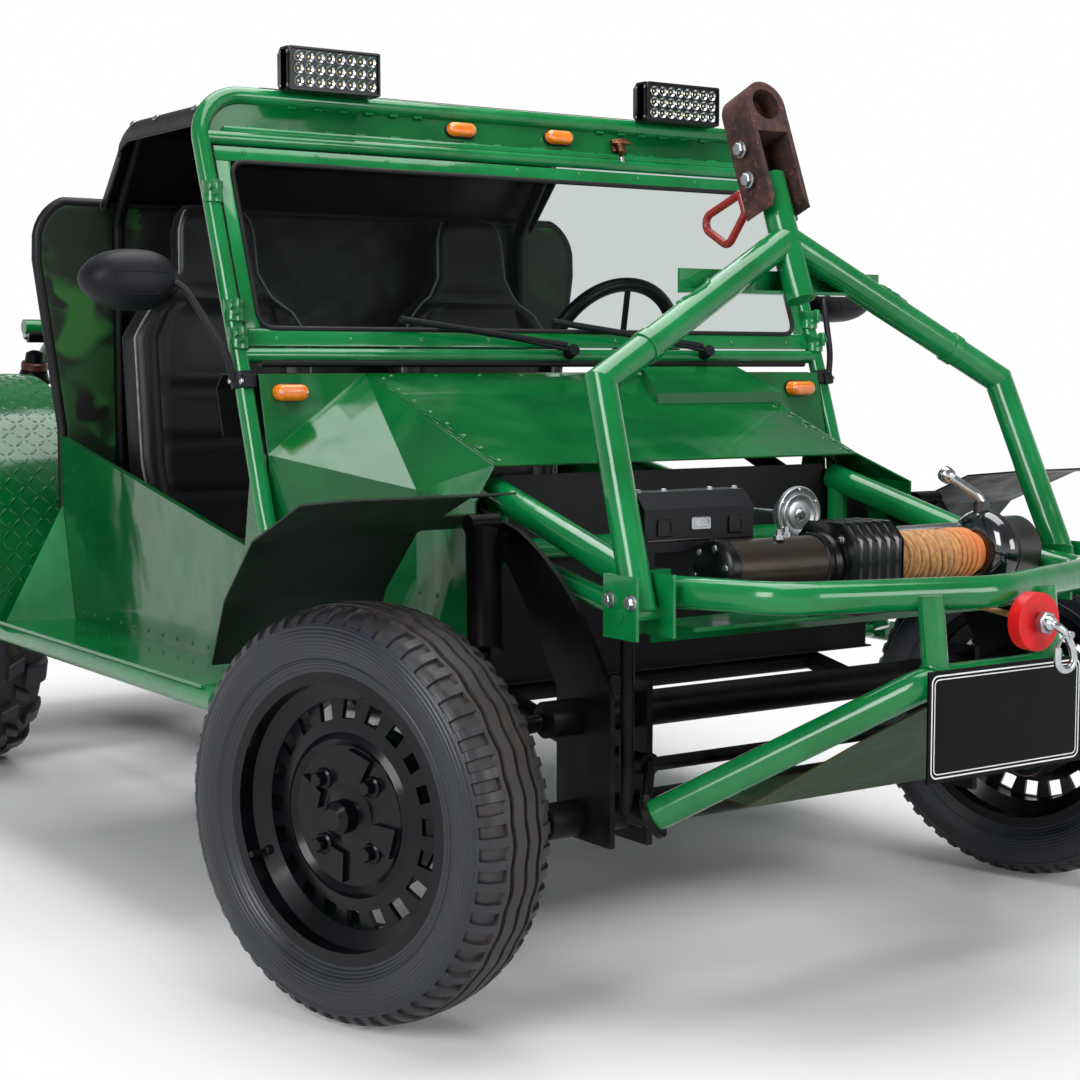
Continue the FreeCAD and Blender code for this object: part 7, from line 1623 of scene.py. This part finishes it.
barJoints, braceJoints = [], []
for flip in sides:
    barJoints += [
        ((1582.5, 110 * flip, 492), (-14, 0, 114), 18, (1582.5, 0, 492), left),
        ((1568.5, 110 * flip, 606), (14, 0, -114), 18, (1547.7, 110 * flip, 606), (95, -300 * flip, 0)),
    ]
    main = ((1178.1, 198.5 * flip, 997), (-69, -397 * flip, 214))
    braceJoints.append(((1165, 200 * flip, 1020), (0, flip, 0), 18, *main))
weldPiece(barJoints, "barWelds", chassis)
weldPiece(braceJoints, "braceWelds", "tow_frame")

# blind rivets and tack welds along the folded seams
rng = random.Random(11)
down = (0, 0, -1)
seams = {
    "rivet": [(0, 4.6), (1, 4.2), (1.9, 2.6), (2.1, 1.1), (1.4, 0.9), (1.4, 0)],
    # node, from, to, count; each side, seen from above or from the side
    "fromAbove": [("hood", (560, 372), (890, 356), 8), ("cowl", (575, 440), (575, 585), 3)],
    "fromSide": [
        ("nose_sides", (640, 560), (860, 560), 5), ("body_sides", (585, 440), (585, 700), 6),
        ("body_sides", (-290, 432), (540, 432), 14),
    ],
    "tacks": 9,
}
rows = [("hood", (548, -350, 1300), (548, 350, 1300), 9, down)]
for flip in sides:
    for node, (x1, y1), (x2, y2), count in seams["fromAbove"]:
        rows.append((node, (x1, y1 * flip, 1300), (x2, y2 * flip, 1300), count, down))
    for node, (x1, z1), (x2, z2), count in seams["fromSide"]:
        rows.append((node, (x1, 2000 * flip, z1), (x2, 2000 * flip, z2), count, (0, -flip, 0)))
bm = bmesh.new()
for node, start, end, count, way in rows:
    skin = skinOf(node)
    for t in spaced(count, 0):
        place = seatOn(skin, Vector(start).lerp(Vector(end), t), way, 0.3)
        if place:
            addTurned(bm, place, seams["rivet"], 14)
skin = skinOf("hood")
for flip in sides:
    start, end = Vector((566, 384 * flip, 1300)), Vector((900, 366 * flip, 1300))
    for i in range(seams["tacks"]):
        share = (i + rng.uniform(0.1, 0.6)) / seams["tacks"]
        spots = [seatOn(skin, start.lerp(end, share + k * 0.009), down, -0.6) for k in range(6)]
        run = [spot.translation for spot in spots if spot]
        if len(run) > 2:
            addBead(bm, run, 2.2, False)
toObject(bm, "seamRivets", [greenSheet])

# bolts through the bull bar's bracket plates and the dampers' towers, gauges, fan guard
small = {
    "bracketBolts": [(1318, 600), (1366, 600), (1342, 545)],
    "towerBolts": [(1047, 700), (1047, 640)],
    # y, radius
    "gauges": [(255, 36), (345, 36), (180, 24), (60, 24)],
    # height, share of the radius
    "bezel": [(0, 1), (6, 1), (8, 0.94), (7, 0.88), (3.5, 0.86)],
    "face": [(3.4, 0.86), (3.4, 0)],
    "fan": (-1300, 0, 690), "fanRings": (84, 68, 52, 36, 20), "fanSpokes": 8,
}
bm = bmesh.new()
for flip in sides:
    for x, z in small["bracketBolts"]:
        for node in ("winch_tray", "front_frame", "bull_bar"):
            spot = seatOn(skinOf(node), (x, 1200 * flip, z), (0, -flip, 0))
            if spot and abs(spot.translation.y) > 400 and abs(spot.col[2].y) > 0.9:
                addBolt(bm, spot, 15, 7, 11.5)
                break
    for x, z in small["towerBolts"]:
        spot = seatOn(skinOf("front_dampers"), (x, 1200 * flip, z), (0, -flip, 0))
        if spot:
            addBolt(bm, spot, 14, 7)
skin = skinOf("dashboard")
for y, radius in small["gauges"]:
    spot = seatOn(skin, (-50, y, 850), ahead)
    if spot:
        for part, material in (("bezel", 0), ("face", 2)):
            addTurned(bm, spot, [(z, radius * share) for z, share in small[part]], 40, material)
        addBlock(bm, shifted(spot, radius * 0.25, radius * 0.1, 4.2), (radius * 0.6, 1.6, 1), 0, 1)
fan = axes(small["fan"], (-1, 0, 0), up)
for radius in small["fanRings"]:
    addTube(bm, [place.translation for place in around(fan, radius, 48)], 1.6, 6, 0, True)
for k in range(small["fanSpokes"]):
    turn = math.tau * k / small["fanSpokes"]
    addTube(bm, [fan @ polar(18, turn), fan @ polar(88, turn)], 1.8, 6)
toObject(bm, "smallFasteners", [zincSteel, plateWhite, plateBlack])
# rubber strip that closes the gap under the screen
bm = bmesh.new()
addTube(bm, [(533, -585, 916.5), (533, 585, 916.5)], 6.5, 10)
toObject(bm, "screenGapStrip", [sealRubber])
print("springs, fenders and fasteners are on")
